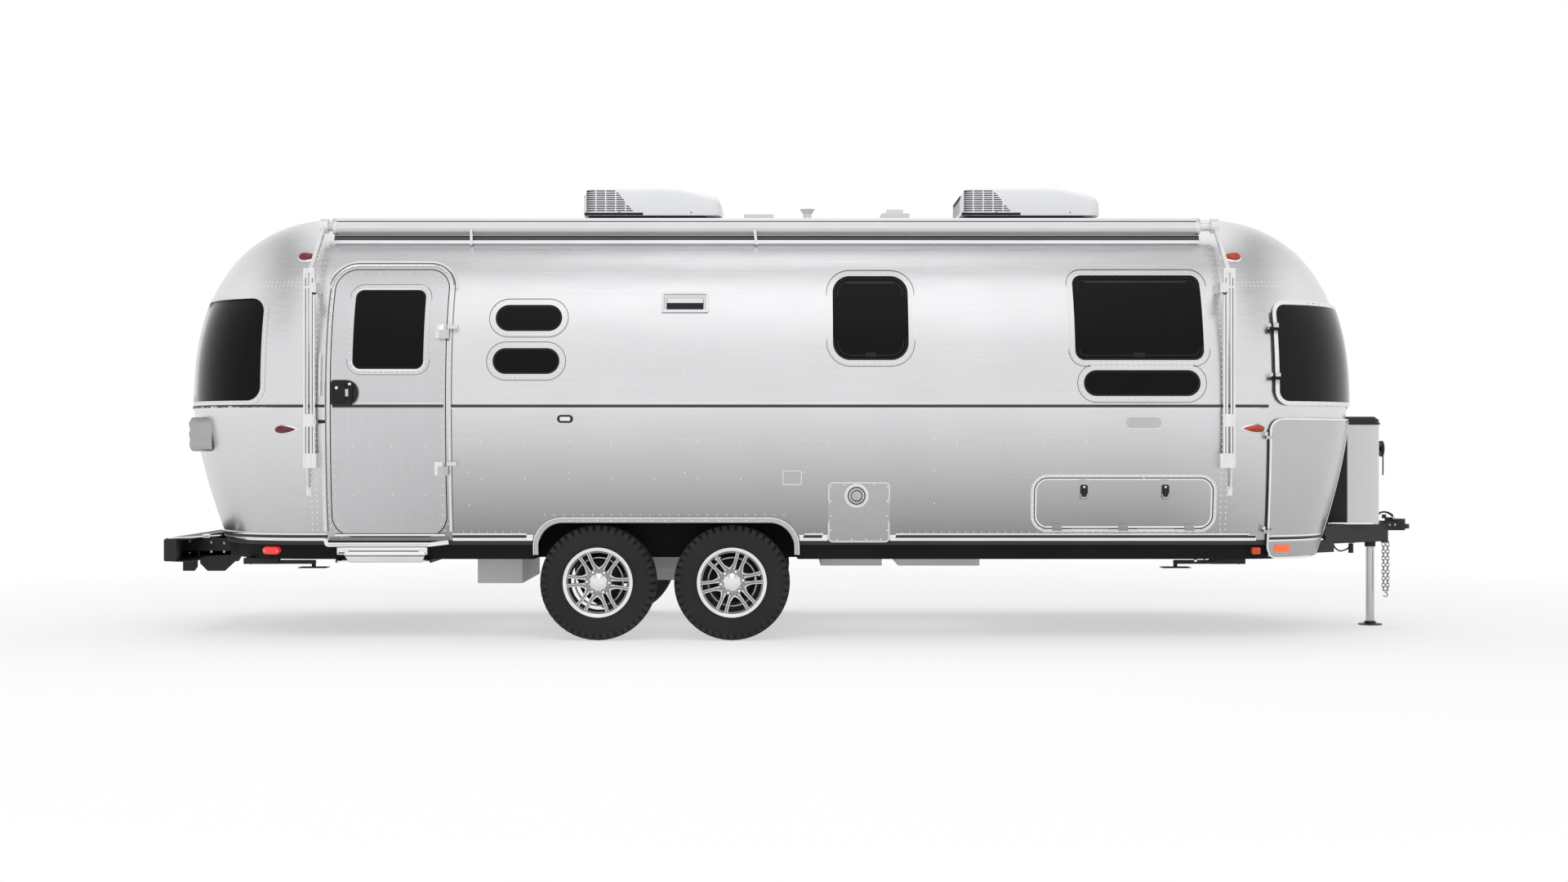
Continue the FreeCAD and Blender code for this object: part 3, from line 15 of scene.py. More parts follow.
import bmesh
import bpy
import numpy as np
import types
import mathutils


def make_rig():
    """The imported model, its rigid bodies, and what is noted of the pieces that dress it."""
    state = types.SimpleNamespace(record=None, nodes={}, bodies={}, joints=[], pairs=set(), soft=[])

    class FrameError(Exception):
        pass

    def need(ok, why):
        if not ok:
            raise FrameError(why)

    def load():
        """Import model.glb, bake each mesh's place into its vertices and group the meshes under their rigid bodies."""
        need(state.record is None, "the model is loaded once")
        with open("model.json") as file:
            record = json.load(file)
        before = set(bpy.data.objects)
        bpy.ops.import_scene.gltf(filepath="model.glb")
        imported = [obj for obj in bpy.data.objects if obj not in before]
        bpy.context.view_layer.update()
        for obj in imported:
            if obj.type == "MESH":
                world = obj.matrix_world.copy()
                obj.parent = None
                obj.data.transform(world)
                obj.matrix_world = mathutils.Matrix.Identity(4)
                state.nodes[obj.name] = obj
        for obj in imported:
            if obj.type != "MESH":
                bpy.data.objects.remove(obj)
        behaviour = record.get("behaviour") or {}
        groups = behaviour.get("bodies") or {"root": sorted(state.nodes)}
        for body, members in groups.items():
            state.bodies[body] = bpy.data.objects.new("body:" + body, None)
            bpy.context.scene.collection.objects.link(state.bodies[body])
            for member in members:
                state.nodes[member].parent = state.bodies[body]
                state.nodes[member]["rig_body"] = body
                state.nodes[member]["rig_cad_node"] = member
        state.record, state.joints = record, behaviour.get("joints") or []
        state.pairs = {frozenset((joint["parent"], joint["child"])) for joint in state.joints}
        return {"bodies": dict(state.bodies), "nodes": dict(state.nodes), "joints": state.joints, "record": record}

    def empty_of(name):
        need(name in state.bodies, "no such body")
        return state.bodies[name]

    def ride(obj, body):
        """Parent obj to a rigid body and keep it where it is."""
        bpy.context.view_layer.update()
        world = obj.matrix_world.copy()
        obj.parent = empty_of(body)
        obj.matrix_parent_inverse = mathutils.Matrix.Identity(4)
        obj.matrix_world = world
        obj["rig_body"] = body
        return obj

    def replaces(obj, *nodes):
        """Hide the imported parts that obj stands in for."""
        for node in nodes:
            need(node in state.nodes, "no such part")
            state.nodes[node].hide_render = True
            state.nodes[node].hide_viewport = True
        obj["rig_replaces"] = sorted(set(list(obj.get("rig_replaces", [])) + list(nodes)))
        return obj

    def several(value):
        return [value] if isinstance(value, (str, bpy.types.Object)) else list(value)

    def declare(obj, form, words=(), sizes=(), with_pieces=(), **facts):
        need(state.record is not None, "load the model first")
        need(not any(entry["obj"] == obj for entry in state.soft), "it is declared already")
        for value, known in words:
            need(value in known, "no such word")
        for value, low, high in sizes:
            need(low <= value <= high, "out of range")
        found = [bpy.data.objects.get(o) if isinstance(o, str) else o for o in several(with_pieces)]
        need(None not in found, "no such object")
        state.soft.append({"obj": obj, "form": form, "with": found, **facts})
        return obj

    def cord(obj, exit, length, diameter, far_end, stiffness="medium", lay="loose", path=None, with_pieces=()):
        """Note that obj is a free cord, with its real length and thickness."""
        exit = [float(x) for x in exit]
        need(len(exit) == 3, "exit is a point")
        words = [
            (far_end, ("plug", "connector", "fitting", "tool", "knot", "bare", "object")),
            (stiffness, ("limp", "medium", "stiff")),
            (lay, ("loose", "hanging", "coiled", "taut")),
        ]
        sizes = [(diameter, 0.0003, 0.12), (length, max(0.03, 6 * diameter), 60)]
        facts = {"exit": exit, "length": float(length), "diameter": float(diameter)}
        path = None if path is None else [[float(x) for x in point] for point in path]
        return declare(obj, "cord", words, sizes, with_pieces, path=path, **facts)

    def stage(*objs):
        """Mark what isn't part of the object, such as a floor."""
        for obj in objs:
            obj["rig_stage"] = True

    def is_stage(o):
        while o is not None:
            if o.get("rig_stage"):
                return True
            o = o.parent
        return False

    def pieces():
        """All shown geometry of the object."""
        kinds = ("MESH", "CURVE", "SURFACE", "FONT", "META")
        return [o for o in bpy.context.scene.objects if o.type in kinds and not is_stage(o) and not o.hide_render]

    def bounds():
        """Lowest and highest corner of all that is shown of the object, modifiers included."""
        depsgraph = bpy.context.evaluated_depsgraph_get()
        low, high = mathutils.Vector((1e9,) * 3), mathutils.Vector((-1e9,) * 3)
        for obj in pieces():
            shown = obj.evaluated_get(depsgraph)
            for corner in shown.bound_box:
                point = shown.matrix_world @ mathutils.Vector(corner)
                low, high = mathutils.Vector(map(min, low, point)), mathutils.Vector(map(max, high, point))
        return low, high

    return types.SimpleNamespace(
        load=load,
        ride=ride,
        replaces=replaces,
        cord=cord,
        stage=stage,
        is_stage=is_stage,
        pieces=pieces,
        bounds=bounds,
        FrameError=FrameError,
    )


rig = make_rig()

LOG = logging.getLogger("caravan")
Array = np.ndarray
Numbers = Union[float, Array]
Pairs = Sequence[tuple[float, float]]
Tree = bpy.types.NodeTree
Socket = bpy.types.NodeSocket
BODY = "caravan_body"
SIZE_FILE = "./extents.json"
CURB, STREET = -1.0, 1.0
SIDES = {"curb": CURB, "street": STREET}
BOTH = (-1.0, 1.0)
FULL_TURN = 2 * math.pi
HALF_TRACK, HUB_HEIGHT = 1.085, 0.366


class Grain(Enum):
    """How the fine pattern of a finish runs."""

    EVEN = (1.0, 1.0, 1.0)
    ALONG = (0.03, 1.0, 1.0)
    UPRIGHT = (1.0, 1.0, 0.03)


class Wheel(Enum):
    """Axle position: x of the wheel centre and turn of its spokes in degrees."""

    FRONT = (-0.488, -10.0)
    REAR = (-1.332, 3.0)


def combined(tree: Tree, operation: str, *values: Union[float, Socket]) -> Socket:
    """Adds a math node over numbers and sockets, and returns its result."""
    node = tree.nodes.new("ShaderNodeMath")
    node.operation = operation
    for socket, value in zip(node.inputs, values):
        if isinstance(value, (int, float)):
            socket.default_value = value
        else:
            tree.links.new(value, socket)
    return node.outputs[0]


def ramped(tree: Tree, value: Socket, start: float, stop: float,
           first: float, last: float) -> Socket:
    """Turns a value between start and stop into one between first and last, held beyond."""
    node = tree.nodes.new("ShaderNodeMapRange")
    for name, number in (("From Min", start), ("From Max", stop), ("To Min", first),
                         ("To Max", last)):
        node.inputs[name].default_value = number
    tree.links.new(value, node.inputs["Value"])
    return node.outputs["Result"]


@dataclass(frozen=True)
class Finish:
    """A procedural surface: colour, gloss and fine relief, each with its own variation."""

    name: str
    colour: tuple[float, float, float]
    metallic: float = 0.0
    roughness: float = 0.5
    grain: Grain = Grain.EVEN
    scale: float = 60.0
    tone: float = 0.12
    spread: float = 0.08
    relief: float = 0.0003
    specular: float = 0.5
    coat: float = 0.0

    FINE_DETAIL = 5.0
    BROAD_SCALE, BROAD_DETAIL, BROAD_SHARE = 2.2, 3.0, 0.6
    NOISE_LOW, NOISE_HIGH = 0.3, 0.7
    COAT_ROUGHNESS = 0.08

    def noise(self, tree: Tree, vector: Socket, scale: float, detail: float) -> Socket:
        """Adds one noise texture.

        Args:
            tree: Node tree of the material.
            vector: Coordinates that the noise reads.
            scale: Size of the pattern, in waves per metre.
            detail: Number of finer octaves.

        Returns:
            The socket with the noise value.
        """
        node = tree.nodes.new("ShaderNodeTexNoise")
        node.inputs["Scale"].default_value = scale
        node.inputs["Detail"].default_value = detail
        tree.links.new(vector, node.inputs["Vector"])
        return node.outputs["Fac"]

    def span(self, tree: Tree, value: Socket, low: float, high: float) -> Socket:
        """Maps a noise value, which mostly stays in its middle part, to low to high."""
        return ramped(tree, value, self.NOISE_LOW, self.NOISE_HIGH, low, high)

    def varied(self, tree: Tree, colour: Socket, value: Socket, amount: float) -> Socket:
        """Makes a colour lighter and darker by an amount, along a noise value."""
        return self.scaled(tree, colour, self.span(tree, value, 1.0 - amount, 1.0 + amount))

    def scaled(self, tree: Tree, colour: Socket, factor: Socket) -> Socket:
        """Multiplies a colour by a factor."""
        node = tree.nodes.new("ShaderNodeVectorMath")
        node.operation = "SCALE"
        tree.links.new(colour, node.inputs[0])
        tree.links.new(factor, node.inputs["Scale"])
        return node.outputs["Vector"]

    def tint(self, tree: Tree, place: Socket, fine: Socket) -> Socket:
        """Colour of the surface: the base colour with fine and broad changes of tone."""
        base = tree.nodes.new("ShaderNodeCombineXYZ")
        for channel, value in zip("XYZ", self.colour):
            base.inputs[channel].default_value = value
        broad = self.noise(tree, place, self.BROAD_SCALE, self.BROAD_DETAIL)
        colour = self.varied(tree, base.outputs["Vector"], fine, self.tone)
        return self.varied(tree, colour, broad, self.BROAD_SHARE * self.tone)

    def height(self, tree: Tree, place: Socket, fine: Socket) -> Optional[Socket]:
        """Extra broad relief under the fine one, or none."""
        return None

    def material(self) -> bpy.types.Material:
        """Makes the material, or returns the one made before."""
        kept = bpy.data.materials.get(self.name)
        if kept is not None:
            return kept
        made = bpy.data.materials.new(self.name)
        made.use_nodes = True
        tree = made.node_tree
        shader = tree.nodes["Principled BSDF"]
        where = tree.nodes.new("ShaderNodeTexCoord").outputs["Object"]
        mapping = tree.nodes.new("ShaderNodeMapping")
        mapping.inputs["Scale"].default_value = self.grain.value
        tree.links.new(where, mapping.inputs["Vector"])
        fine = self.noise(tree, mapping.outputs["Vector"], self.scale, self.FINE_DETAIL)
        tree.links.new(self.tint(tree, where, fine), shader.inputs["Base Color"])
        rough = self.span(tree, fine, self.roughness - self.spread, self.roughness + self.spread)
        tree.links.new(rough, shader.inputs["Roughness"])
        bump = tree.nodes.new("ShaderNodeBump")
        bump.inputs["Distance"].default_value = self.relief
        tree.links.new(fine, bump.inputs["Height"])
        broad = self.height(tree, where, fine)
        if broad is not None:
            tree.links.new(broad, bump.inputs["Normal"])
        tree.links.new(bump.outputs["Normal"], shader.inputs["Normal"])
        for name, number in (("Metallic", self.metallic), ("Specular IOR Level", self.specular),
                             ("Coat Weight", self.coat), ("Coat Roughness", self.COAT_ROUGHNESS)):
            shader.inputs[name].default_value = number
        return made


@dataclass(frozen=True)
class SheetSkin(Finish):
    """Rolled aluminium sheet: long grain, soft waves between the ribs, painted shade low down."""

    # Painted shade: the heights where it starts and ends, and how much it darkens at the sill.
    painted_shade_top: float = 1.47
    painted_shade_low: float = 0.60
    painted_shade_share: float = 0.66
    wave: float = 0.006

    # Beyond these distances from the middle, the painted shade thins out towards the ends.
    END_FROM, END_TO, END_SHARE = 2.2, 3.2, 0.45
    WAVE_STRETCH = (0.6, 1.0, 1.3)
    WAVE_SCALE = 2.6

    def tint(self, tree: Tree, place: Socket, fine: Socket) -> Socket:
        """Sheet colour with painted shade: darker towards the sill, standing in for the shaded floor that the wall
        reflects, less so at the ends.
        """
        colour = super().tint(tree, place, fine)
        split = tree.nodes.new("ShaderNodeSeparateXYZ")
        tree.links.new(place, split.inputs["Vector"])
        # Painted shade: the colour darkens towards the sill, and less so at the ends.
        painted_shade = ramped(tree, split.outputs["Z"], self.painted_shade_low, self.painted_shade_top, self.painted_shade_share, 0.0)
        along = combined(tree, "ABSOLUTE", split.outputs["X"])
        thin = ramped(tree, along, self.END_FROM, self.END_TO, 1.0, self.END_SHARE)
        left = combined(tree, "SUBTRACT", 1.0, combined(tree, "MULTIPLY", painted_shade, thin))
        return self.scaled(tree, colour, left)

    def height(self, tree: Tree, place: Socket, fine: Socket) -> Optional[Socket]:
        """Soft waves of thin sheet, about half a metre apart."""
        stretch = tree.nodes.new("ShaderNodeMapping")
        stretch.inputs["Scale"].default_value = self.WAVE_STRETCH
        tree.links.new(place, stretch.inputs["Vector"])
        waves = self.noise(tree, stretch.outputs["Vector"], self.WAVE_SCALE, 1.0)
        bump = tree.nodes.new("ShaderNodeBump")
        bump.inputs["Distance"].default_value = self.wave
        tree.links.new(waves, bump.inputs["Height"])
        return bump.outputs["Normal"]


@dataclass(frozen=True)
class Lens(Finish):
    """Moulded lamp lens or dark glass: clear coat over a deep colour, with a painted glow on lenses and reflectors
    that are not lit.
    """

    # Painted glow: emission strength of an unlit lens or reflector.
    glow: float = 0.0

    def material(self) -> bpy.types.Material:
        """Makes the material with its gloss and, for a lens, a little painted glow: emission on a lens that is not
        lit.
        """
        made = super().material()
        shader = made.node_tree.nodes["Principled BSDF"]
        shader.inputs["Emission Color"].default_value = (*self.colour, 1.0)
        shader.inputs["Emission Strength"].default_value = self.glow
        return made


# These sheet finishes carry painted shade towards the sill.
SKIN = SheetSkin("rolled_aluminium", (0.72, 0.72, 0.735), 1.0, 0.29, Grain.ALONG, 70.0, 0.025,
                 0.04, 0.00003)
DOOR_SKIN = SheetSkin("door_aluminium", (0.62, 0.62, 0.635), 1.0, 0.31, Grain.UPRIGHT, 80.0,
                      0.03, 0.04, 0.00004, painted_shade_share=0.30, painted_shade_top=1.6, wave=0.003)
BRIGHT = Finish("polished_trim", (0.86, 0.86, 0.87), 1.0, 0.20, Grain.ALONG, 120.0, 0.05, 0.06,
                0.00008)
FRAME_METAL = Finish("frame_metal", (0.70, 0.70, 0.71), 1.0, 0.27, Grain.EVEN, 70.0, 0.05, 0.07,
                     0.0002)
RIVET = Finish("rivet_metal", (0.90, 0.90, 0.90), 1.0, 0.22, Grain.EVEN, 160.0, 0.08, 0.06)
# Black insert of the channels; on the awning it is also painted shadow, in the gap under the roll and in the roll's
# groove.
DARK_LINE = Finish("dark_insert_and_painted_shadow", (0.05, 0.05, 0.052), 0.0, 0.5, Grain.ALONG, 60.0, 0.15,
                   0.1, 0.0002, specular=0.2)
GREY_LINE = Finish("trim_shadow_groove", (0.22, 0.22, 0.23), 0.8, 0.35, Grain.ALONG, 80.0, 0.1,
                   0.06, 0.0001)
STAINLESS = SheetSkin("brushed_stainless", (0.52, 0.52, 0.53), 1.0, 0.26, Grain.UPRIGHT, 110.0,
                      0.03, 0.04, 0.00003, painted_shade_share=0.32, painted_shade_top=1.2, painted_shade_low=0.5,
                      wave=0.002)
GLASS = Lens("night_glass", (0.002, 0.002, 0.0025), 0.0, 0.07, Grain.EVEN, 4.0, 0.1, 0.02,
             0.00002, specular=0.12)
GUARD = Lens("smoked_guard", (0.003, 0.003, 0.0035), 0.0, 0.12, Grain.EVEN, 4.0, 0.1, 0.02,
             0.00002, specular=0.22)
GASKET_AND_SHADE = Finish("window_gasket", (0.012, 0.012, 0.013), 0.0, 0.55, Grain.EVEN, 90.0, 0.15, 0.08,
                specular=0.25)
PAINT_BLACK = Finish("chassis_paint", (0.018, 0.018, 0.019), 0.0, 0.42, Grain.EVEN, 180.0, 0.3,
                     0.1, 0.0002, specular=0.3)
BELLY = Finish("belly_coating", (0.008, 0.008, 0.009), 0.0, 0.6, Grain.EVEN, 90.0, 0.35, 0.1,
               0.0004, specular=0.12)
BUMPER = Finish("bumper_coating", (0.022, 0.022, 0.026), 0.0, 0.45, Grain.EVEN, 420.0, 0.25, 0.1,
                0.0003, specular=0.35)
BOARD = Finish("sealed_floor_board", (0.020, 0.018, 0.016), 0.0, 0.6, Grain.ALONG, 40.0, 0.2, 0.08)
WHITE_SHELL = Finish("white_shroud", (0.88, 0.89, 0.91), 0.0, 0.35, Grain.EVEN, 260.0, 0.02,
                     0.05, 0.0001, coat=0.25)
SLOT = Finish("grille_shadow", (0.02, 0.022, 0.026), 0.0, 0.6, Grain.EVEN, 60.0, 0.2, 0.08,
              specular=0.15)
VENT_WHITE = Finish("vent_white", (0.74, 0.75, 0.76), 0.0, 0.4, Grain.EVEN, 200.0, 0.04, 0.06,
                    0.0001)
LIGHT_COVER = Finish("light_cover", (0.66, 0.66, 0.665), 0.35, 0.38, Grain.UPRIGHT, 120.0, 0.02,
                     0.04, 0.00003, coat=0.2)
BLACK_MOULD = Finish("black_moulding", (0.014, 0.014, 0.015), 0.0, 0.4, Grain.EVEN, 320.0, 0.2,
                     0.08, 0.0002, specular=0.35)
ANODISED = Finish("anodised_tube", (0.76, 0.76, 0.77), 1.0, 0.26, Grain.ALONG, 150.0, 0.05,
                  0.06, 0.0001)
CAST = Finish("cast_arm", (0.80, 0.80, 0.81), 1.0, 0.30, Grain.UPRIGHT, 90.0, 0.08, 0.07, 0.0002)
CHROME = Finish("plated_steel", (0.80, 0.80, 0.81), 1.0, 0.10, Grain.EVEN, 80.0, 0.04, 0.03,
                0.00004)
LEG_STEEL = Finish("leg_steel", (0.52, 0.52, 0.53), 1.0, 0.16, Grain.UPRIGHT, 90.0, 0.06, 0.04,
                   0.00005)
GALVANISED = Finish("galvanised_steel", (0.46, 0.46, 0.47), 0.9, 0.42, Grain.EVEN, 55.0, 0.25,
                    0.1, 0.0002)
CHAIN = Finish("zinc_chain", (0.34, 0.34, 0.335), 1.0, 0.3, Grain.EVEN, 200.0, 0.25, 0.1)
TANK = Finish("tank_sheet", (0.66, 0.67, 0.68), 0.3, 0.5, Grain.ALONG, 60.0, 0.1, 0.08)
BOTTLE = Finish("bottle_enamel", (0.78, 0.78, 0.77), 0.0, 0.35, Grain.EVEN, 120.0, 0.05, 0.05,
                coat=0.3)
TREAD_PLATE = Finish("step_alloy", (0.72, 0.72, 0.73), 1.0, 0.34, Grain.ALONG, 90.0, 0.08, 0.08,
                     0.0002)
RUBBER = Finish("tyre_rubber", (0.020, 0.020, 0.021), 0.0, 0.62, Grain.EVEN, 240.0, 0.3, 0.1,
                0.0004, specular=0.22)
RUBBER_WORN = Finish("tyre_tread", (0.028, 0.028, 0.028), 0.0, 0.7, Grain.EVEN, 300.0, 0.35, 0.1,
                     0.0005, specular=0.2)
ALLOY_BRIGHT = Finish("machined_alloy", (0.80, 0.80, 0.80), 1.0, 0.22, Grain.EVEN, 240.0, 0.06,
                      0.05, 0.0001)
ALLOY_GREY = Finish("painted_alloy", (0.30, 0.30, 0.31), 0.9, 0.38, Grain.EVEN, 200.0, 0.12,
                    0.08, 0.0001)
# Painted shade: the barrel and brake drum inside the wheel are coloured near black where shade falls.
ALLOY_SHADE = Finish("barrel_painted_shade", (0.035, 0.035, 0.038), 0.6, 0.5, Grain.EVEN, 120.0, 0.2, 0.1)
# The lenses and reflectors below carry a painted glow, though none of the lamps is lit.
RED = Lens("red_lens", (0.26, 0.004, 0.008), 0.0, 0.14, Grain.EVEN, 160.0, 0.25, 0.05, 0.0002,
           coat=0.3, glow=0.05)
RED_BRIGHT = Lens("red_reflector", (0.80, 0.03, 0.02), 0.0, 0.2, Grain.EVEN, 300.0, 0.15, 0.05,
                  0.0003, coat=0.4, glow=0.25)
RED_MARKER = Lens("red_marker_lens", (0.14, 0.003, 0.006), 0.0, 0.16, Grain.ALONG, 70.0, 0.6, 0.05,
                  0.0004, coat=0.2, glow=0.02)
AMBER_MARKER = Lens("amber_marker_lens", (0.42, 0.045, 0.006), 0.0, 0.16, Grain.ALONG, 70.0, 0.5,
                    0.05, 0.0004, coat=0.2, glow=0.03)
AMBER = Lens("amber_lens", (0.55, 0.06, 0.008), 0.0, 0.14, Grain.EVEN, 160.0, 0.25, 0.05,
             0.0002, coat=0.3, glow=0.06)
AMBER_BRIGHT = Lens("amber_reflector", (0.95, 0.13, 0.015), 0.0, 0.2, Grain.EVEN, 300.0, 0.12,
                    0.05, 0.0003, coat=0.4, glow=0.3)
WHITE_LENS = Lens("white_lens", (0.75, 0.75, 0.72), 0.0, 0.15, Grain.EVEN, 90.0, 0.05, 0.05,
                  coat=0.5, glow=0.1)

ARCH_METAL = Finish("arch_metal", (0.50, 0.50, 0.51), 1.0, 0.30, Grain.ALONG, 110.0, 0.05, 0.05,
                    0.00006)
GUARD_WHITE = Finish("guard_border_white", (0.84, 0.84, 0.83), 0.0, 0.32, Grain.EVEN, 160.0, 0.03,
                     0.05, 0.0001, coat=0.3)
# Grey rubber of seals; under the awning and behind the corner panels it is also painted shadow.
GREY_RUBBER_AND_SHADE = Finish("grey_rubber", (0.075, 0.075, 0.078), 0.0, 0.5, Grain.EVEN, 120.0, 0.12,
                     0.08, 0.0002, specular=0.3)
ROLL_METAL = Finish("roll_cover", (0.74, 0.74, 0.75), 0.35, 0.34, Grain.ALONG, 120.0, 0.04, 0.06,
                    0.00005)
# Painted shade on the roll cover: a darker copy of its metal for the lower lips and the groove's edges.
ROLL_SHADE = Finish("roll_painted_shade", (0.36, 0.36, 0.37), 0.4, 0.38, Grain.ALONG, 120.0, 0.05, 0.06,
                   0.0001)
SKIRT_GREY = Finish("skirt_sheet", (0.42, 0.42, 0.43), 1.0, 0.36, Grain.ALONG, 110.0, 0.08, 0.06,
                    0.0001)

NODE_FINISH = {
    "chassis_frame": PAINT_BLACK, "tongue_frame": PAINT_BLACK, "belly_pan": BELLY,
    "floor_deck": BOARD, "wheel_wells": BELLY, "side_wall_curb": SKIN, "side_wall_street": SKIN,
    "roof_panel": SKIN, "front_cap_upper": SKIN, "front_cap_lower": SKIN,
    "rear_cap_upper": SKIN, "rear_cap_lower": SKIN, "window_frames": FRAME_METAL,
    "window_glass": GLASS, "body_trim": BRIGHT, "service_panels": STAINLESS,
    "entry_door": DOOR_SKIN, "entry_door_glass": GLASS, "fixed_hinges": FRAME_METAL,
    "hatch_curb": SKIN, "hatch_street": SKIN, "window_guard_curb": GUARD,
    "window_guard_street": GUARD, "corner_shield_curb": STAINLESS,
    "corner_shield_street": STAINLESS, "awning_roller": ANODISED, "awning_arms": CAST,
    "roof_air_units": WHITE_SHELL, "roof_vents": VENT_WHITE, "lamps": CHROME,
    "rear_bumper": BUMPER, "tank_pans": TANK, "axles": PAINT_BLACK, "coupler": PAINT_BLACK,
    "jack_tube": PAINT_BLACK, "jack_leg": CHROME, "gas_cover": LIGHT_COVER,
    "gas_cover_lid": BLACK_MOULD, "gas_bottles": BOTTLE, "step_tread": TREAD_PLATE,
    "underfloor_brackets": PAINT_BLACK,
}


def loft_faces(rows: int, cols: int, closed: bool) -> list[Array]:
    """Quads between rings of points, and a cap on each end unless the rings close up.

    Args:
        rows: Number of rings.
        cols: Points in a ring.
        closed: Whether the last ring joins the first.

    Returns:
        Arrays of point numbers, one row a face.
    """
    row = np.arange(rows if closed else rows - 1)[:, None]
    col = np.arange(cols)[None, :]
    after = (row + 1) % rows
    beside = (col + 1) % cols
    quads = np.stack([row * cols + col, row * cols + beside, after * cols + beside,
                      after * cols + col], -1).reshape(-1, 4)
    if closed:
        return [quads]
    ring = np.arange(cols)
    return [quads, np.stack([ring[::-1], (rows - 1) * cols + ring])]


class Piece:
    """Gathers closed surfaces and makes one object of them."""

    def __init__(self, name: str, body: str = BODY) -> None:
        """Starts an empty piece that rides on a body."""
        self.name = name
        self.body = body
        self.points: list[Array] = []
        self.faces: list[Array] = []
        self.slots: list[Array] = []
        self.count = 0

    def loft(self, rings: Array, closed: bool = False, slot: Union[int, Array] = 0) -> None:
        """Adds one closed surface, or many alike, from rings of points.

        Args:
            rings: Points as (rings, points, 3), or (copies, rings, points, 3).
            closed: Whether the last ring joins the first.
            slot: Finish number, or one number for each column of faces.
        """
        rings = rings if rings.ndim == 4 else rings[None]
        copies, rows, cols, _ = rings.shape
        shift = self.count + np.arange(copies)[:, None, None] * rows * cols
        strips = rows if closed else rows - 1
        for faces in loft_faces(rows, cols, closed):
            batch = (faces[None] + shift).reshape(-1, faces.shape[1])
            self.faces.append(batch)
            if np.ndim(slot) and faces.shape[1] == 4 and len(faces) == strips * cols:
                self.slots.append(np.tile(slot, strips * copies))
            else:
                first = int(slot[0]) if np.ndim(slot) else int(slot)
                self.slots.append(np.full(len(batch), first))
        self.points.append(rings.reshape(-1, 3))
        self.count += copies * rows * cols

    def lay(self, flat: Array, x: float, z: float, side: float, slot: int = 0) -> None:
        """Adds a flat shape laid on a side of the body at x and z."""
        self.loft(SHELL.laid(flat, x, z, side), slot=slot)

    def trim(self, hole: "Opening", section: Pairs, side: float, slot: int = 0) -> None:
        """Adds a moulding round an opening: each section point is (growth, lift)."""
        self.loft(SHELL.laid(hole.band(section), *hole.centre, side), True, slot)

    def strip(self, line: Array, bar: tuple[float, float, float], side: float,
              slot: int = 0) -> None:
        """Adds a flat bar, (width, low, high), along a line on a side of the body."""
        self.loft(ribbon(line, bar_section(*bar), side), slot=slot)

    def turn(self, profile: Pairs, centre: Sequence[float], axis: int,
             steps: int, slot: int = 0) -> None:
        """Adds a surface of revolution: see turned."""
        self.loft(turned(np.array(profile), centre, axis, steps), True, slot)

    def tube(self, path: Union[Array, Sequence], radius: Numbers, sides: int,
             up: Sequence[float] = (0.0, 0.0, 1.0), slot: int = 0) -> None:
        """Adds a round bar along a path: see pipe."""
        self.loft(pipe(np.array(path, float), radius, sides, up), slot=slot)

    def block(self, x0: float, x1: float, y0: float, y1: float, z0: float, z1: float,
              radius: float, slot: int = 0) -> None:
        """Adds a softly edged block between the given planes."""
        self.loft(block(x0, x1, y0, y1, z0, z1, radius), slot=slot)

    def make(self, *finishes: Finish, replaces: Sequence[str] = (),
             smooth: float = 38.0) -> bpy.types.Object:
        """Makes the object, turns its faces outwards and lets it ride on its body.

        Args:
            finishes: Finish of each slot.
            replaces: Nodes that the piece stands for.
            smooth: Angle in degrees under which neighbouring faces shade as one.

        Returns:
            The new object.
        """
        mesh = bpy.data.meshes.new(self.name)
        points = np.concatenate(self.points)
        mesh.vertices.add(len(points))
        mesh.vertices.foreach_set("co", points.astype(np.float32).ravel())
        corners = np.concatenate([f.ravel() for f in self.faces]).astype(np.int32)
        totals = np.concatenate([np.full(len(f), f.shape[1]) for f in self.faces])
        mesh.loops.add(len(corners))
        mesh.loops.foreach_set("vertex_index", corners)
        mesh.polygons.add(len(totals))
        starts = np.concatenate([[0], np.cumsum(totals)[:-1]]).astype(np.int32)
        mesh.polygons.foreach_set("loop_start", starts)
        mesh.polygons.foreach_set("material_index", np.concatenate(self.slots).astype(np.int32))
        mesh.update(calc_edges=True)
        mesh.validate()
        shape = bmesh.new()
        shape.from_mesh(mesh)
        bmesh.ops.recalc_face_normals(shape, faces=shape.faces)
        shape.to_mesh(mesh)
        shape.free()
        mesh.shade_smooth()
        mesh.set_sharp_from_angle(angle=math.radians(smooth))
        for finish in finishes:
            mesh.materials.append(finish.material())
        made = bpy.data.objects.new(self.name, mesh)
        bpy.context.scene.collection.objects.link(made)
        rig.ride(made, self.body)
        if replaces:
            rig.replaces(made, *replaces)
        LOG.info("%s: %d faces on %s", self.name, len(totals), self.body)
        return made


def unit(vectors: Array) -> Array:
    """Vectors of length one."""
    return vectors / np.maximum(np.linalg.norm(vectors, axis=-1, keepdims=True), 1e-9)


def placed(local: Array, origins: Array, axes: Array) -> Array:
    """Copies a shape to many places: each point is origin + u * axis0 + v * axis1 + w * axis2.

    Args:
        local: Points as (rings, points, 3).
        origins: Places as (copies, 3).
        axes: Axes as (copies, 3, 3), one axis a row.

    Returns:
        Points as (copies, rings, points, 3).
    """
    return origins[:, None, None, :] + np.einsum("rcj,njk->nrck", local, axes)


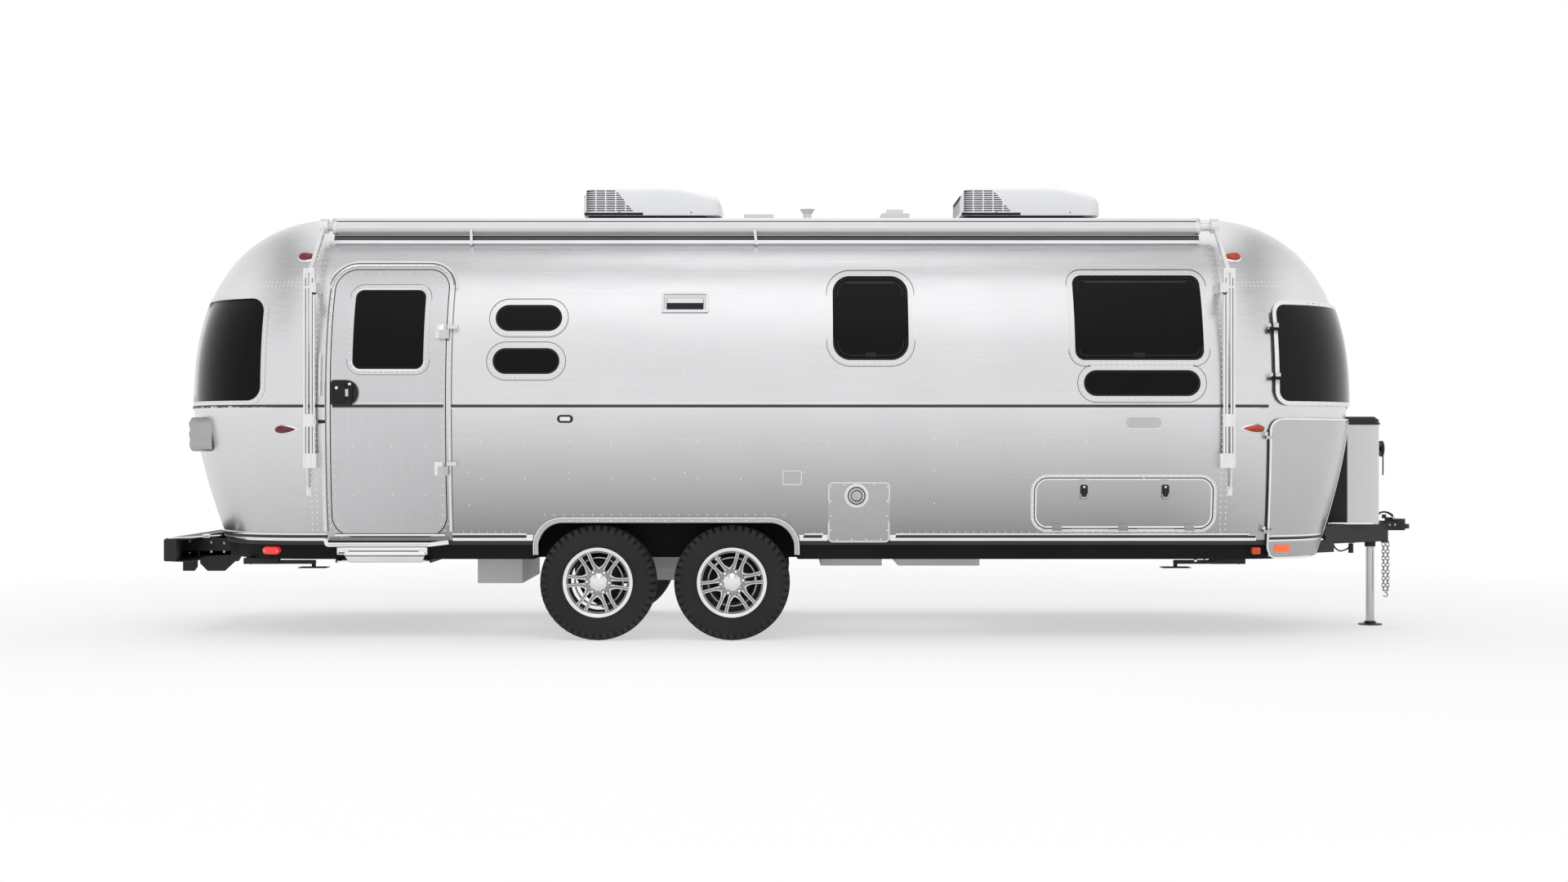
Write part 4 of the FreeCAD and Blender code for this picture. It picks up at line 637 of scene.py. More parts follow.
def outline(width: float, height: float, radius: float, corner: int = 5) -> Array:
    """Rounded rectangle about the origin: four quarter circles joined by straight sides."""
    r = max(min(radius, width / 2 - 1e-5, height / 2 - 1e-5), 1e-5)
    turn = np.linspace(0, math.pi / 2, corner)
    parts = []
    for k, (sx, sy) in enumerate(((1, 1), (-1, 1), (-1, -1), (1, -1))):
        angle = turn + k * math.pi / 2
        parts.append(np.stack([sx * (width / 2 - r) + r * np.cos(angle),
                               sy * (height / 2 - r) + r * np.sin(angle)], -1))
    return np.concatenate(parts)


def plate(width: float, height: float, radius: float, levels: Pairs, corner: int = 5) -> Array:
    """Rounded plate as rings: each level is (inset from the outline, height above the base)."""
    edges = [outline(width - 2 * inset, height - 2 * inset, radius - inset, corner)
             for inset, _ in levels]
    return np.stack([raised(edge, lift) for edge, (_, lift) in zip(edges, levels)])


def slab(width: float, height: float, radius: float, low: float, high: float,
         edge: float = 0.002) -> Array:
    """Rounded plate with a softened upper edge."""
    return plate(width, height, radius, ((0, low), (0, high - edge),
                                         (edge * 0.4, high - edge * 0.3), (edge * 1.2, high)))


def dome(radius: float, height: float, sink: float, sides: int = 8) -> Array:
    """Rivet head: rings of shrinking radius over a sunk base."""
    return rounds([(radius, -sink), (radius, height * 0.25), (radius * 0.78, height * 0.75),
                   (radius * 0.35, height)], sides)


def frames_along(path: Array, up: Sequence[float]) -> tuple[Array, Array]:
    """Two directions across a path: one square to it and to up, one square to both."""
    run = unit(np.gradient(path, axis=0))
    side = unit(np.cross(run, np.asarray(up, float)))
    return side, np.cross(side, run)


def pipe(path: Array, radius: Numbers, sides: int, up: Sequence[float]) -> Array:
    """Round bar along a path: circles of the given radius square to it."""
    side, over = frames_along(path, up)
    angle = np.linspace(0, FULL_TURN, sides, endpoint=False)
    reach = np.broadcast_to(np.asarray(radius, float), (len(path),))[:, None, None]
    cos, sin = np.cos(angle)[None, :, None], np.sin(angle)[None, :, None]
    return path[:, None] + reach * (side[:, None] * cos + over[:, None] * sin)


def turned(profile: Array, centre: Sequence[float], axis: int, steps: int) -> Array:
    """Surface of revolution: (radius, along) points turned about an axis through centre.

    Args:
        profile: Points as (radius, distance along the axis).
        centre: A point on the axis.
        axis: 0, 1 or 2 for X, Y or Z.
        steps: Rings round the axis.

    Returns:
        Rings as (steps, profile points, 3).
    """
    angle = np.linspace(0, FULL_TURN, steps, endpoint=False)[:, None]
    radius, along = profile[None, :, 0], profile[None, :, 1]
    first, second = [(1, 2), (0, 2), (0, 1)][axis]
    rings = np.empty((steps, len(profile), 3))
    rings[..., axis] = centre[axis] + along
    rings[..., first] = centre[first] + radius * np.cos(angle)
    rings[..., second] = centre[second] + radius * np.sin(angle)
    return rings


def block(x0: float, x1: float, y0: float, y1: float, z0: float, z1: float, radius: float) -> Array:
    """Softly edged block as rings from its lowest to its highest level."""
    r = min(radius, (z1 - z0) / 3, (x1 - x0) / 3, (y1 - y0) / 3)
    rings = plate(x1 - x0, y1 - y0, r * 1.5, ((r, 0), (r * 0.3, r * 0.3), (0, r),
                                              (0, z1 - z0 - r), (r * 0.3, z1 - z0 - r * 0.3),
                                              (r, z1 - z0)), 3)
    return rings + np.array([(x0 + x1) / 2, (y0 + y1) / 2, z0])


def travelled(line: Array) -> Array:
    """Way gone along a line at each of its points."""
    return np.concatenate([[0], np.cumsum(np.linalg.norm(np.diff(line, axis=0), axis=1))])


def along_line(line: Array, where: Array, spot: Array) -> Array:
    """Points of a flat line at the given ways along it."""
    return np.column_stack([np.interp(spot, where, line[:, k]) for k in (0, 1)])


def raised(flat: Array, level: Numbers) -> Array:
    """Flat points with one third coordinate for them all."""
    return np.column_stack([flat, np.full(len(flat), level)])


def rounds(profile: Pairs, sides: int) -> Array:
    """Level circles, or polygons, as rings: each is (radius, height)."""
    turn = np.linspace(0, FULL_TURN, sides, endpoint=False)
    circle = np.column_stack([np.cos(turn), np.sin(turn)])
    return np.stack([raised(radius * circle, height) for radius, height in profile])


def outwards(side: float, count: int) -> Array:
    """Axes for shapes on an upright face that looks to one side: along, up and out."""
    return np.tile(np.array([(1.0, 0, 0), (0, 0, 1.0), (0, side, 0)]), (count, 1, 1))


def spread(side: float, near: float, far: float) -> tuple[float, float]:
    """Two distances off the middle plane on one side, in rising order."""
    low, high = sorted((side * near, side * far))
    return low, high


@dataclass(frozen=True)
class Shell:
    """Outer skin of the body, as in the solids: superellipses in end view and in plan."""

    half: float = 1.289
    belt: float = 1.476
    sill: float = 0.635
    crown: float = 1.280
    tumblehome: float = 0.080
    side_power: float = 2.4
    corner_power: float = 2.6
    front: float = 2.590
    rear: float = -3.100
    front_reach: float = 0.995
    rear_reach: float = 0.985
    front_tuck: float = 0.184
    rear_tuck: float = 0.218

    STEP = 0.002
    DOORWAY_FRONT, DOORWAY_REAR = -2.2387, -3.0253
    TUCK_POWER = 1.5

    def width(self, z: Array) -> Array:
        """Half width: a parabola below the belt, a superellipse above it."""
        z = np.asarray(z, float)
        drop = np.clip((self.belt - z) / (self.belt - self.sill), 0, None)
        rise = np.clip((z - self.belt) / self.crown, 0, 1)
        high = self.half * (1 - rise ** self.side_power) ** (1 / self.side_power)
        return np.where(z <= self.belt, self.half - self.tumblehome * drop ** 2, high)

    def reach(self, z: Array, sign: float) -> Array:
        """How far an end stands from its seam at height z."""
        full, tuck = ((self.front_reach, self.front_tuck) if sign > 0
                      else (self.rear_reach, self.rear_tuck))
        drop = np.clip((self.belt - z) / (self.belt - self.sill), 0, None)
        return np.where(z <= self.belt, full - tuck * drop ** self.TUCK_POWER,
                        full * self.width(z) / self.half)

    def wall(self, x: Array, z: Array) -> Array:
        """Half width at any x and z."""
        x, z = np.broadcast_arrays(np.asarray(x, float), np.asarray(z, float))
        ahead = np.clip((x - self.front) / self.reach(z, 1.0), 0, 1)
        behind = np.clip((self.rear - x) / self.reach(z, -1.0), 0, 1)
        along = np.maximum(ahead, behind)
        power = self.corner_power
        return self.width(z) * (1 - along ** power) ** (1 / power)

    def frame(self, x: Array, z: Array, side: float) -> tuple[Array, Array]:
        """Points on a side of the body and their axes.

        Args:
            x: Place along the body.
            z: Height.
            side: -1 for the curb side, 1 for the street side.

        Returns:
            Points as (n, 3), and axes as (n, 3, 3): along, up and outwards.
        """
        x, z = np.broadcast_arrays(np.asarray(x, float), np.asarray(z, float))
        step = self.STEP
        slope_x = (self.wall(x + step, z) - self.wall(x - step, z)) / (2 * step)
        slope_z = (self.wall(x, z + step) - self.wall(x, z - step)) / (2 * step)
        point = np.stack([x, side * self.wall(x, z), z], -1)
        out = unit(np.stack([-slope_x, side * np.ones_like(x), -slope_z], -1))
        along = unit(np.stack([np.ones_like(x), side * slope_x, np.zeros_like(x)], -1))
        return point, np.stack([along, unit(np.cross(out, along) * side), out], -2)

    def laid(self, local: Array, x: float, z: float, side: float) -> Array:
        """Lays a flat shape on the side: u along, v up and w off the skin, bent with it."""
        point, axes = self.frame(x + local[..., 0], z + local[..., 1], side)
        return point + local[..., 2:3] * axes[..., 2, :]

    def end_frame(self, y: Array, z: Array, sign: float) -> tuple[Array, Array]:
        """Points on an end of the body and their axes: across, up and outwards."""
        y, z = np.broadcast_arrays(np.asarray(y, float), np.asarray(z, float))

        def face(yy: Array, zz: Array) -> Array:
            """Distance of the end from mid-length."""
            seam = self.front if sign > 0 else -self.rear
            share = np.clip(np.abs(yy) / self.width(zz), 0, 1)
            return seam + self.reach(zz, sign) * (1 - share ** self.corner_power) ** (
                1 / self.corner_power)

        step = self.STEP
        slope_y = (face(y + step, z) - face(y - step, z)) / (2 * step)
        slope_z = (face(y, z + step) - face(y, z - step)) / (2 * step)
        out = unit(np.stack([sign * np.ones_like(y), -slope_y, -slope_z], -1))
        across = unit(np.stack([sign * slope_y, np.ones_like(y), np.zeros_like(y)], -1))
        point = np.stack([sign * face(y, z), y, z], -1)
        return point, np.stack([across, unit(np.cross(out, across) * sign), out], -2)

    def girth(self, z: float, lift: float, share: Array) -> Array:
        """Points round the body at one height, from the door's front edge to its rear edge.

        The share runs from 0 to 1 over the front, the street side and the rear, and each
        end follows its plan superellipse.
        """
        width = float(self.width(z)) + lift
        turn = np.linspace(-90.0, 90.0, 41)
        rows = []
        for sign, seam in ((1.0, self.front), (-1.0, self.rear)):
            angle = np.radians(turn) * sign
            c, s = np.abs(np.cos(angle)), np.sin(angle)
            size = (c ** self.corner_power + np.abs(s) ** self.corner_power) ** (
                -1 / self.corner_power)
            reach = float(self.reach(z, sign)) + lift
            rows.append(np.column_stack([seam + sign * reach * size * c, width * size * s]))
        line = np.concatenate([[(self.DOORWAY_FRONT, -width)], *rows,
                               [(self.DOORWAY_REAR, -width)]])
        where = travelled(line)
        return raised(along_line(line, where, share * where[-1]), z)


SHELL = Shell()


def ribbon(path: Array, section: Pairs, side: float) -> Array:
    """Moulding along a line on the side of the body.

    Args:
        path: Points of the line as (x, z).
        section: Section points as (distance to the left of the line, lift off the skin).
        side: -1 for the curb side, 1 for the street side.

    Returns:
        Rings as (path points, section points, 3).
    """
    run = unit(np.gradient(path, axis=0))
    left = np.column_stack([-run[:, 1], run[:, 0]])
    columns = []
    for offset, lift in section:
        flat = path + offset * left
        point, axes = SHELL.frame(flat[:, 0], flat[:, 1], side)
        columns.append(point + lift * axes[:, 2])
    return np.stack(columns, 1)


def bar_section(width: float, low: float, high: float) -> list[tuple[float, float]]:
    """Section of a flat strip with softened upper edges, about the middle of its width."""
    half, soft = width / 2, min(0.0012, (high - low) / 3)
    return [(-half, low), (-half, high - soft), (-half + soft, high), (half - soft, high),
            (half, high - soft), (half, low)]


def straight(x0: float, z0: float, x1: float, z1: float, count: int = 30) -> Array:
    """Evenly spaced points of a straight line, as (x, z)."""
    share = np.linspace(0, 1, count)[:, None]
    return np.array([(x0, z0)]) * (1 - share) + np.array([(x1, z1)]) * share


@dataclass(frozen=True)
class Opening:
    """A rounded opening or panel seen from the side: its edges and corner radius."""

    x0: float
    x1: float
    z0: float
    z1: float
    radius: float

    @property
    def centre(self) -> tuple[float, float]:
        """Middle of the opening."""
        return (self.x0 + self.x1) / 2, (self.z0 + self.z1) / 2

    def covers(self, x: Numbers, z: Numbers, margin: float) -> Array:
        """Whether points lie in the opening or within a margin of it."""
        return ((x > self.x0 - margin) & (x < self.x1 + margin)
                & (z > self.z0 - margin) & (z < self.z1 + margin))

    def ring(self, grow: float) -> Array:
        """Outline about the middle, grown by a width."""
        return outline(self.x1 - self.x0 + 2 * grow, self.z1 - self.z0 + 2 * grow,
                       self.radius + grow, 9)

    def inset(self, edge: float, radius: float) -> "Opening":
        """The opening drawn in by an edge."""
        return Opening(self.x0 + edge, self.x1 - edge, self.z0 + edge, self.z1 - edge, radius)

    def line(self, grow: float, pitch: float) -> Array:
        """Points along the outline, grown by a width and spaced evenly at about the pitch."""
        ring = self.ring(grow)
        ring = np.concatenate([ring, ring[:1]])
        where = travelled(ring)
        count = max(int(round(where[-1] / pitch)), 8)
        return along_line(ring, where, np.arange(count) * where[-1] / count) + self.centre

    def band(self, section: Pairs) -> Array:
        """Moulding round the outline: each section point is (growth, lift off the skin)."""
        return np.stack([raised(self.ring(grow), lift) for grow, lift in section], 1)


CURB_WINDOWS = (
    Opening(-1.969, -1.551, 1.945, 2.113, 0.084),
    Opening(-1.980, -1.562, 1.675, 1.838, 0.081),
    Opening(0.146, 0.620, 1.762, 2.302, 0.110),
    Opening(1.660, 2.465, 1.762, 2.307, 0.060),
    Opening(1.711, 2.439, 1.537, 1.700, 0.080),
)
FRONT_CENTRE = Opening(-0.500, 0.500, 1.545, 2.075, 0.085)
REAR_CENTRE = Opening(-0.500, 0.500, 1.510, 2.160, 0.085)
REAR_CORNER = Opening(-4.60, -3.435, 1.510, 2.160, 0.090)
STREET_WINDOWS = (
    Opening(-2.750, -1.950, 1.762, 2.307, 0.060),
    Opening(-1.150, -0.676, 1.762, 2.302, 0.110),
    Opening(1.660, 2.465, 1.762, 2.307, 0.060),
    Opening(1.711, 2.439, 1.537, 1.700, 0.080),
)
WINDOWS = ((CURB, CURB_WINDOWS), (STREET, STREET_WINDOWS))
DOOR_WINDOW = Opening(-2.856, -2.413, 1.706, 2.210, 0.050)
DOOR = Opening(-2.989, -2.275, 0.660, 2.343, 0.130)
HATCH = Opening(1.410, 2.521, 0.712, 1.023, 0.080)
HEATER = Opening(0.115, 0.503, 0.622, 1.002, 0.030)


class Rivets:
    """Rivet rows, gathered for one body and made as one piece."""

    RADIUS = 0.0046
    HEIGHT = 0.0022
    SINK = 0.002
    SMALL, MIDDLE = 0.8, 0.9
    FRAME_GROW, FRAME_LIFT = 0.019, 0.004

    def __init__(self, name: str, body: str = BODY) -> None:
        """Starts an empty set of rivets."""
        self.piece = Piece(name, body)

    def add(self, point: Array, axes: Array, lift: float, size: float = 1.0) -> None:
        """Adds rivets at points of the skin, raised by a lift."""
        head = dome(self.RADIUS * size, self.HEIGHT * size, self.SINK, 8)
        self.piece.loft(placed(head, point + lift * axes[:, 2], axes))

    def side(self, x: Numbers, z: Numbers, side: float, lift: float = 0.0,
             size: float = 1.0) -> None:
        """Adds rivets on a side of the body."""
        self.add(*SHELL.frame(x, z, side), lift, size)

    def end(self, y: Numbers, z: Numbers, sign: float, lift: float = 0.0) -> None:
        """Adds rivets on an end of the body."""
        self.add(*SHELL.end_frame(y, z, sign), lift)

    def around(self, hole: Opening, side: float, grow: float = FRAME_GROW,
               pitch: float = 0.034, lift: float = FRAME_LIFT) -> None:
        """Adds a row round an opening."""
        self.side(*hole.line(grow, pitch).T, side, lift)

    def make(self) -> bpy.types.Object:
        """Makes the piece."""
        return self.piece.make(RIVET)


class BodyWork:
    """Riveting and trims of the body shell."""

    COLUMNS = (-2.13, -1.50, -0.78, -0.03, 0.78, 1.50)
    COLUMN_PITCH, LEVEL_PITCH = 0.205, 0.27
    LEVELS = ((1.25, -2.05, 2.40), (2.32, -2.10, 2.50), (1.02, -2.05, -0.25))
    SEAM_PITCH, SEAM_OFFSET = 0.036, 0.016
    ROOF_ROWS, SILL_ROW, ARCH_ROW = (2.538, 2.562), 0.683, 0.794
    DOME_ROWS = (2.238, 2.262)
    # A line is (lower height, upper height, lift, finish).
    LINES = ((1.4640, 1.4700, 0.0086, 1), (1.4700, 1.4838, 0.0084, 0), (1.4890, 1.4960, 0.0040, 2),
             (0.6400, 0.6490, 0.0120, 2), (0.6490, 0.6640, 0.0095, 0), (0.6640, 0.6680, 0.0100, 1),
             (0.6680, 0.6780, 0.0120, 2))
    SHIELD_GAP, BELT_GAP, CORNER_Y = 2.80, 2.874, 0.55
    ARCH_GAP, HEATER_GAP = (-1.74, -0.06), (0.11, 0.51)
    # A section is (growth of the outline, lift off the skin).
    SEAL = ((0.0370, -0.001), (0.0370, 0.0024), (0.0395, 0.0028), (0.0410, -0.001))
    RUBBER_EDGE = ((-0.0006, -0.006), (-0.012, -0.006), (-0.014, -0.0095), (-0.0006, -0.0095))
    SASH = ((0.0, -0.008), (-0.004, -0.008), (-0.004, -0.0098), (0.0, -0.0098))
    SASH_INSET, TALL_WINDOW = 0.030, 0.4
    ARCH = Opening(-1.699, -0.099, 0.545, 0.744, 0.150)
    ARCH_BEAD = ((0.0290, 0.004), (0.0292, 0.0145), (0.0320, 0.0160), (0.0360, 0.0155),
                 (0.0372, 0.0130), (0.0372, 0.001))
    ARCH_FACE, FACE_OFFSET = (0.0250, 0.004, 0.0132), 0.0160

    def rivets(self) -> None:
        """Rows on the seams, round the windows and over the ribs."""
        rows = Rivets("body_rivets")
        for side, windows in WINDOWS:
            for hole in windows:
                rows.around(hole, side)
            rows.around(HATCH, side, 0.016, 0.042)
            self.seams(rows, side)
            self.ribs(rows, side, windows)
        rows.around(DOOR, CURB, 0.022, 0.045)
        rows.around(HEATER, CURB, -0.018, 0.09, 0.005)
        self.end_seams(rows)
        rows.make()

    def seams(self, rows: Rivets, side: float) -> None:
        """Double rows up the end seams and single rows under the roof and over the sill."""
        height = np.arange(0.70, 2.54, self.SEAM_PITCH)
        height = height[np.abs(height - SHELL.belt + 0.01) > 0.02]
        for seam in (SHELL.rear, SHELL.front):
            for offset in (-self.SEAM_OFFSET, self.SEAM_OFFSET):
                rows.side(seam + offset, height, side)
        along = np.arange(SHELL.rear + 0.03, SHELL.front, 0.05)
        for z in self.ROOF_ROWS:
            rows.side(along, z, side)
        span = along[(along > -0.02) | (along < -1.78)]
        if side < 0:
            span = span[(span > -2.20) & ((span < 0.09) | (span > 0.53))]
        rows.side(span, self.SILL_ROW, side, 0.0, rows.SMALL)
        rows.side(np.arange(-1.66, -0.12, 0.06), self.ARCH_ROW, side, 0.0, rows.SMALL)

    def ribs(self, rows: Rivets, side: float, windows: Sequence[Opening]) -> None:
        """Widely spaced rivets over the inner ribs, clear of openings."""
        holes = [*windows, HATCH] + ([DOOR, HEATER] if side < 0 else [])
        for x in self.COLUMNS:
            height = np.arange(0.86, 2.50, self.COLUMN_PITCH) + 0.01 * math.sin(9 * x)
            free = self.clear(holes, x, height, 0.06) & (np.abs(height - SHELL.belt) > 0.03)
            if self.ARCH.x0 - 0.1 < x < self.ARCH.x1 + 0.08:
                free &= height > 0.90
            rows.side(x, height[free], side, 0.0, rows.MIDDLE)
        for z, x0, x1 in self.LEVELS:
            along = np.arange(x0, x1, self.LEVEL_PITCH)
            free = self.clear(holes, along, z, 0.05)
            rows.side(along[free], z, side, 0.0, rows.MIDDLE)

    @staticmethod
    def clear(holes: Sequence[Opening], x: Numbers, z: Numbers, margin: float) -> Array:
        """Which points lie clear of all the openings by a margin."""
        return ~np.logical_or.reduce([hole.covers(x, z, margin) for hole in holes])

    def end_seams(self, rows: Rivets) -> None:
        """Rows along the dome seam, the corner window frames and the centre windows."""
        for sign in BOTH:
            turn = np.radians(np.arange(-87.0, 87.5, 1.7))
            c, s = np.cos(turn), np.sin(turn)
            power = SHELL.corner_power
            size = (c ** power + np.abs(s) ** power) ** (-1 / power)
            for z in self.DOME_ROWS:
                y = float(SHELL.width(z)) * size * s
                centre = np.abs(s) < 0.72
                rows.end(y[centre], z, sign)
                seam = SHELL.front if sign > 0 else SHELL.rear
                x = seam + sign * float(SHELL.reach(z, sign)) * size * c
                for side in BOTH:
                    pick = (~centre) & (s * side > 0)
                    rows.side(x[pick], z, side)
            centre_window = FRONT_CENTRE if sign > 0 else REAR_CENTRE
            middle = centre_window.line(rows.FRAME_GROW, self.SEAM_PITCH)
            rows.end(*middle.T, sign, rows.FRAME_LIFT)
        rear = REAR_CORNER.line(rows.FRAME_GROW, self.SEAM_PITCH)
        rear = rear[rear[:, 0] > -3.86]
        for side in BOTH:
            rows.side(*rear.T, side, rows.FRAME_LIFT)

    def belts(self) -> None:
        """Dark and bright lines of the belt rail and of the channel over the skirt."""
        share = np.linspace(0, 1, 300)
        lines = Piece("belt_channel_lines")
        for z0, z1, high, slot in self.LINES:
            lift = ((high - 0.001, z0), (high, z0 + 0.001), (high, z1 - 0.001),
                    (high - 0.001, z1), (0.0010, z1), (0.0010, z0))
            rings = np.stack([SHELL.girth(z, up, share) for up, z in lift], 1)
            x, y = rings[:, :, 0].mean(1), rings[:, :, 1].mean(1)
            low = z0 < 1.0
            corner = (x > (self.SHIELD_GAP if low else self.BELT_GAP)) & (np.abs(y) > self.CORNER_Y)
            arch = low & (x > self.ARCH_GAP[0]) & (x < self.ARCH_GAP[1])
            heater = low & (y < 0) & (x > self.HEATER_GAP[0]) & (x < self.HEATER_GAP[1])
            for run in self.runs(~(corner | arch | heater)):
                lines.loft(rings[run], slot=slot)
        lines.make(DARK_LINE, GREY_LINE, BRIGHT)

    @staticmethod
    def runs(keep: Array) -> list[Array]:
        """Splits a row of yes and no into the runs of yes, as arrays of places."""
        places = np.flatnonzero(keep)
        parts = np.split(places, np.flatnonzero(np.diff(places) > 1) + 1)
        return [p for p in parts if len(p) > 2]

    def gaskets(self) -> None:
        """Black rubber round each glass, and the inner rails of the sliding windows."""
        rubber = Piece("window_gaskets")
        for side, windows in WINDOWS:
            for hole in windows:
                rubber.trim(hole, self.RUBBER_EDGE, side)
                rubber.trim(hole, self.SEAL, side, 2)
                if hole.z1 - hole.z0 > self.TALL_WINDOW:
                    radius = max(hole.radius - self.SASH_INSET, self.SASH_INSET)
                    rubber.trim(hole.inset(self.SASH_INSET, radius), self.SASH, side, 1)
                    x, _ = hole.centre
                    rail = slab(hole.x1 - hole.x0 - 0.16, 0.012, 0.004, -0.0098, -0.007)
                    rubber.lay(rail, x, hole.z1 - 0.040, side, 1)
                    grip = slab(0.070, 0.030, 0.006, -0.0098, -0.004)
                    rubber.lay(grip, x, hole.z0 + 0.034, side)
        rubber.make(GASKET_AND_SHADE, BLACK_MOULD, GREY_RUBBER_AND_SHADE)

    def arches(self) -> None:
        """Bead, face and rivets of the trim round the wheel arches."""
        trim = Piece("arch_trims")
        rows = Rivets("arch_rivets")
        turn = np.radians(np.linspace(0, 90, 12))
        arch, r = self.ARCH, self.ARCH.radius
        left = np.column_stack([arch.x0 + r - r * np.cos(turn), arch.z1 - r + r * np.sin(turn)])
        right = np.column_stack([arch.x1 - r + r * np.sin(turn), arch.z1 - r + r * np.cos(turn)])
        line = np.concatenate([straight(arch.x0, arch.z0, arch.x0, 0.590, 4), left,
                               straight(-1.52, arch.z1, -0.28, arch.z1, 40), right,
                               straight(arch.x1, 0.590, arch.x1, arch.z0, 4)])
        face = [(across + self.FACE_OFFSET, lift) for across, lift in bar_section(*self.ARCH_FACE)]
        for side in BOTH:
            trim.loft(ribbon(line, self.ARCH_BEAD, side))
            trim.loft(ribbon(line, face, side), slot=1)
            rows.side(np.arange(-1.50, -0.27, 0.085), arch.z1 + self.FACE_OFFSET, side, 0.0128,
                      rows.MIDDLE)
        trim.make(BRIGHT, ARCH_METAL)
        rows.make()

    def build(self) -> None:
        """Builds all of the shell's own pieces."""
        self.rivets()
        self.belts()
        self.gaskets()
        self.arches()


@dataclass(frozen=True)
class Tyre:
    """All-terrain tyre: carcass of revolution with tread blocks and shoulder lugs."""

    centre: tuple[float, float, float]
    name: str
    body: str
    tread: float = 0.3655
    base: float = 0.3535
    blocks: int = 46

    # Rows are edges across the tread; WALL and INSIDE are (radius, distance across), and a
    # bite is (share of its way down, radius, distance across).
    CENTRE_ROW, INNER_ROW, OUTER_ROW = 0.017, (0.025, 0.056), (0.064, 0.101)
    WALL = ((0.2036, 0.0858), (0.2209, 0.0917), (0.2240, 0.1000), (0.2300, 0.1030),
            (0.2340, 0.1068), (0.2375, 0.1068), (0.2400, 0.1046), (0.2500, 0.1078),
            (0.2620, 0.1108), (0.2860, 0.1125), (0.2890, 0.1125), (0.2925, 0.1125),
            (0.2950, 0.1122), (0.3080, 0.1112), (0.3200, 0.1082), (0.3230, 0.1088),
            (0.3260, 0.1068), (0.3360, 0.1030), (0.3450, 0.0960), (0.3500, 0.0860))
    INSIDE = ((0.344, 0.072), (0.334, 0.092), (0.300, 0.099), (0.262, 0.097), (0.228, 0.080),
              (0.2036, 0.066))
    BITES = ((0.0, 0.3585, 0.0985), (0.25, 0.3560, 0.1050), (0.6, 0.3400, 0.1100),
             (1.0, 0.3180, 0.1123))
    BITE_THICK, BITE_DEEP, SHORT_BITE = 0.010, 0.011, 0.008
    ZIG = 0.10
    CROWN_DROP, CROWN_FROM, CROWN_WIDTH = 0.0035, 0.070, 0.030

    def carcass(self) -> Array:
        """Closed wall profile with its bead, ribs and shoulders, turned about the axle."""
        mirror = np.array([1.0, -1.0])
        side = np.array([*self.WALL, (self.base, 0.0740)])
        middle = np.column_stack([np.full(7, self.base), np.linspace(0.055, -0.055, 7)])
        inside = np.array(self.INSIDE)
        profile = np.concatenate([side, middle, side[::-1] * mirror, inside[::-1] * mirror, inside])
        return turned(profile, self.centre, 1, 120)

    def wrapped(self, angle: Array, across: Array, radius: Array) -> Array:
        """Points from angle about the axle, distance across the tread, and radius."""
        x, y, z = self.centre
        return np.stack([x + radius * np.sin(angle), y + across, z + radius * np.cos(angle)], -1)

    def row(self, piece: Piece, low: float, high: float, share: float, slant: float,
            turn: float, skirt: bool = False) -> None:
        """Adds one row of blocks round the tyre.

        Args:
            piece: Piece that takes the blocks.
            low: Near edge across the tread.
            high: Far edge across the tread.
            share: Length of a block as a share of its pitch.
            slant: How far a block leans along the tread, as a share of its pitch.
            turn: Start of the row as a share of the pitch.
            skirt: Whether the blocks run down over the shoulder.
        """
        pitch = FULL_TURN / self.blocks
        start = (np.arange(self.blocks) + turn)[:, None, None] * pitch
        half = share / 2
        loop = np.array([(-half, 0.0), (-half + self.ZIG, 0.34), (-half, 0.66), (-half, 1.0),
                         (half, 1.0), (half, 0.66), (half + self.ZIG, 0.34), (half, 0.0)])
        rings = []
        for inset, top in ((0.0, self.base - 0.004), (0.0, self.tread - 0.0016),
                           (0.0016, self.tread)):
            cut = inset / (high - low)
            along = loop[:, 0] * (1 - inset * 30) + slant * (loop[:, 1] - 0.5)
            across = low + (high - low) * (loop[:, 1] * (1 - 2 * cut) + cut)
            fall = np.clip((np.abs(across) - self.CROWN_FROM) / self.CROWN_WIDTH, 0, 1.5)
            rings.append(np.stack([along * pitch, across, top - self.CROWN_DROP * fall], -1))
        local = np.stack(rings)[None]
        angle = start + local[..., 0]
        piece.loft(self.wrapped(angle, np.broadcast_to(local[..., 1], angle.shape),
                                np.broadcast_to(local[..., 2], angle.shape)), slot=1)
        if skirt:
            self.lugs(piece, math.copysign(1.0, low + high), half, turn, pitch)

    def lugs(self, piece: Piece, sign: float, half: float, turn: float, pitch: float) -> None:
        """Adds the biting edges that run from the tread down over one shoulder."""
        start = (np.arange(self.blocks) + turn)[:, None, None] * pitch
        long = (np.arange(self.blocks) % 2 == 0)[:, None, None]
        rings = []
        for share, radius, across in self.BITES:
            width = half * (1.0 - 0.25 * share) * pitch
            low, deep = radius - self.BITE_THICK, across - self.BITE_DEEP
            rings.append(np.array([(-width, radius, across), (width, radius, across),
                                   (width, low, deep), (-width, low, deep)]))
        local = np.stack(rings)[None]
        angle = start + local[..., 0]
        drop = np.where(long, 0.0, self.SHORT_BITE) * (np.arange(4)[None, :, None] / 3.0)
        radius = np.broadcast_to(local[..., 1], angle.shape) + drop
        across = np.broadcast_to(local[..., 2], angle.shape) * sign
        piece.loft(self.wrapped(angle, across, radius), slot=1)

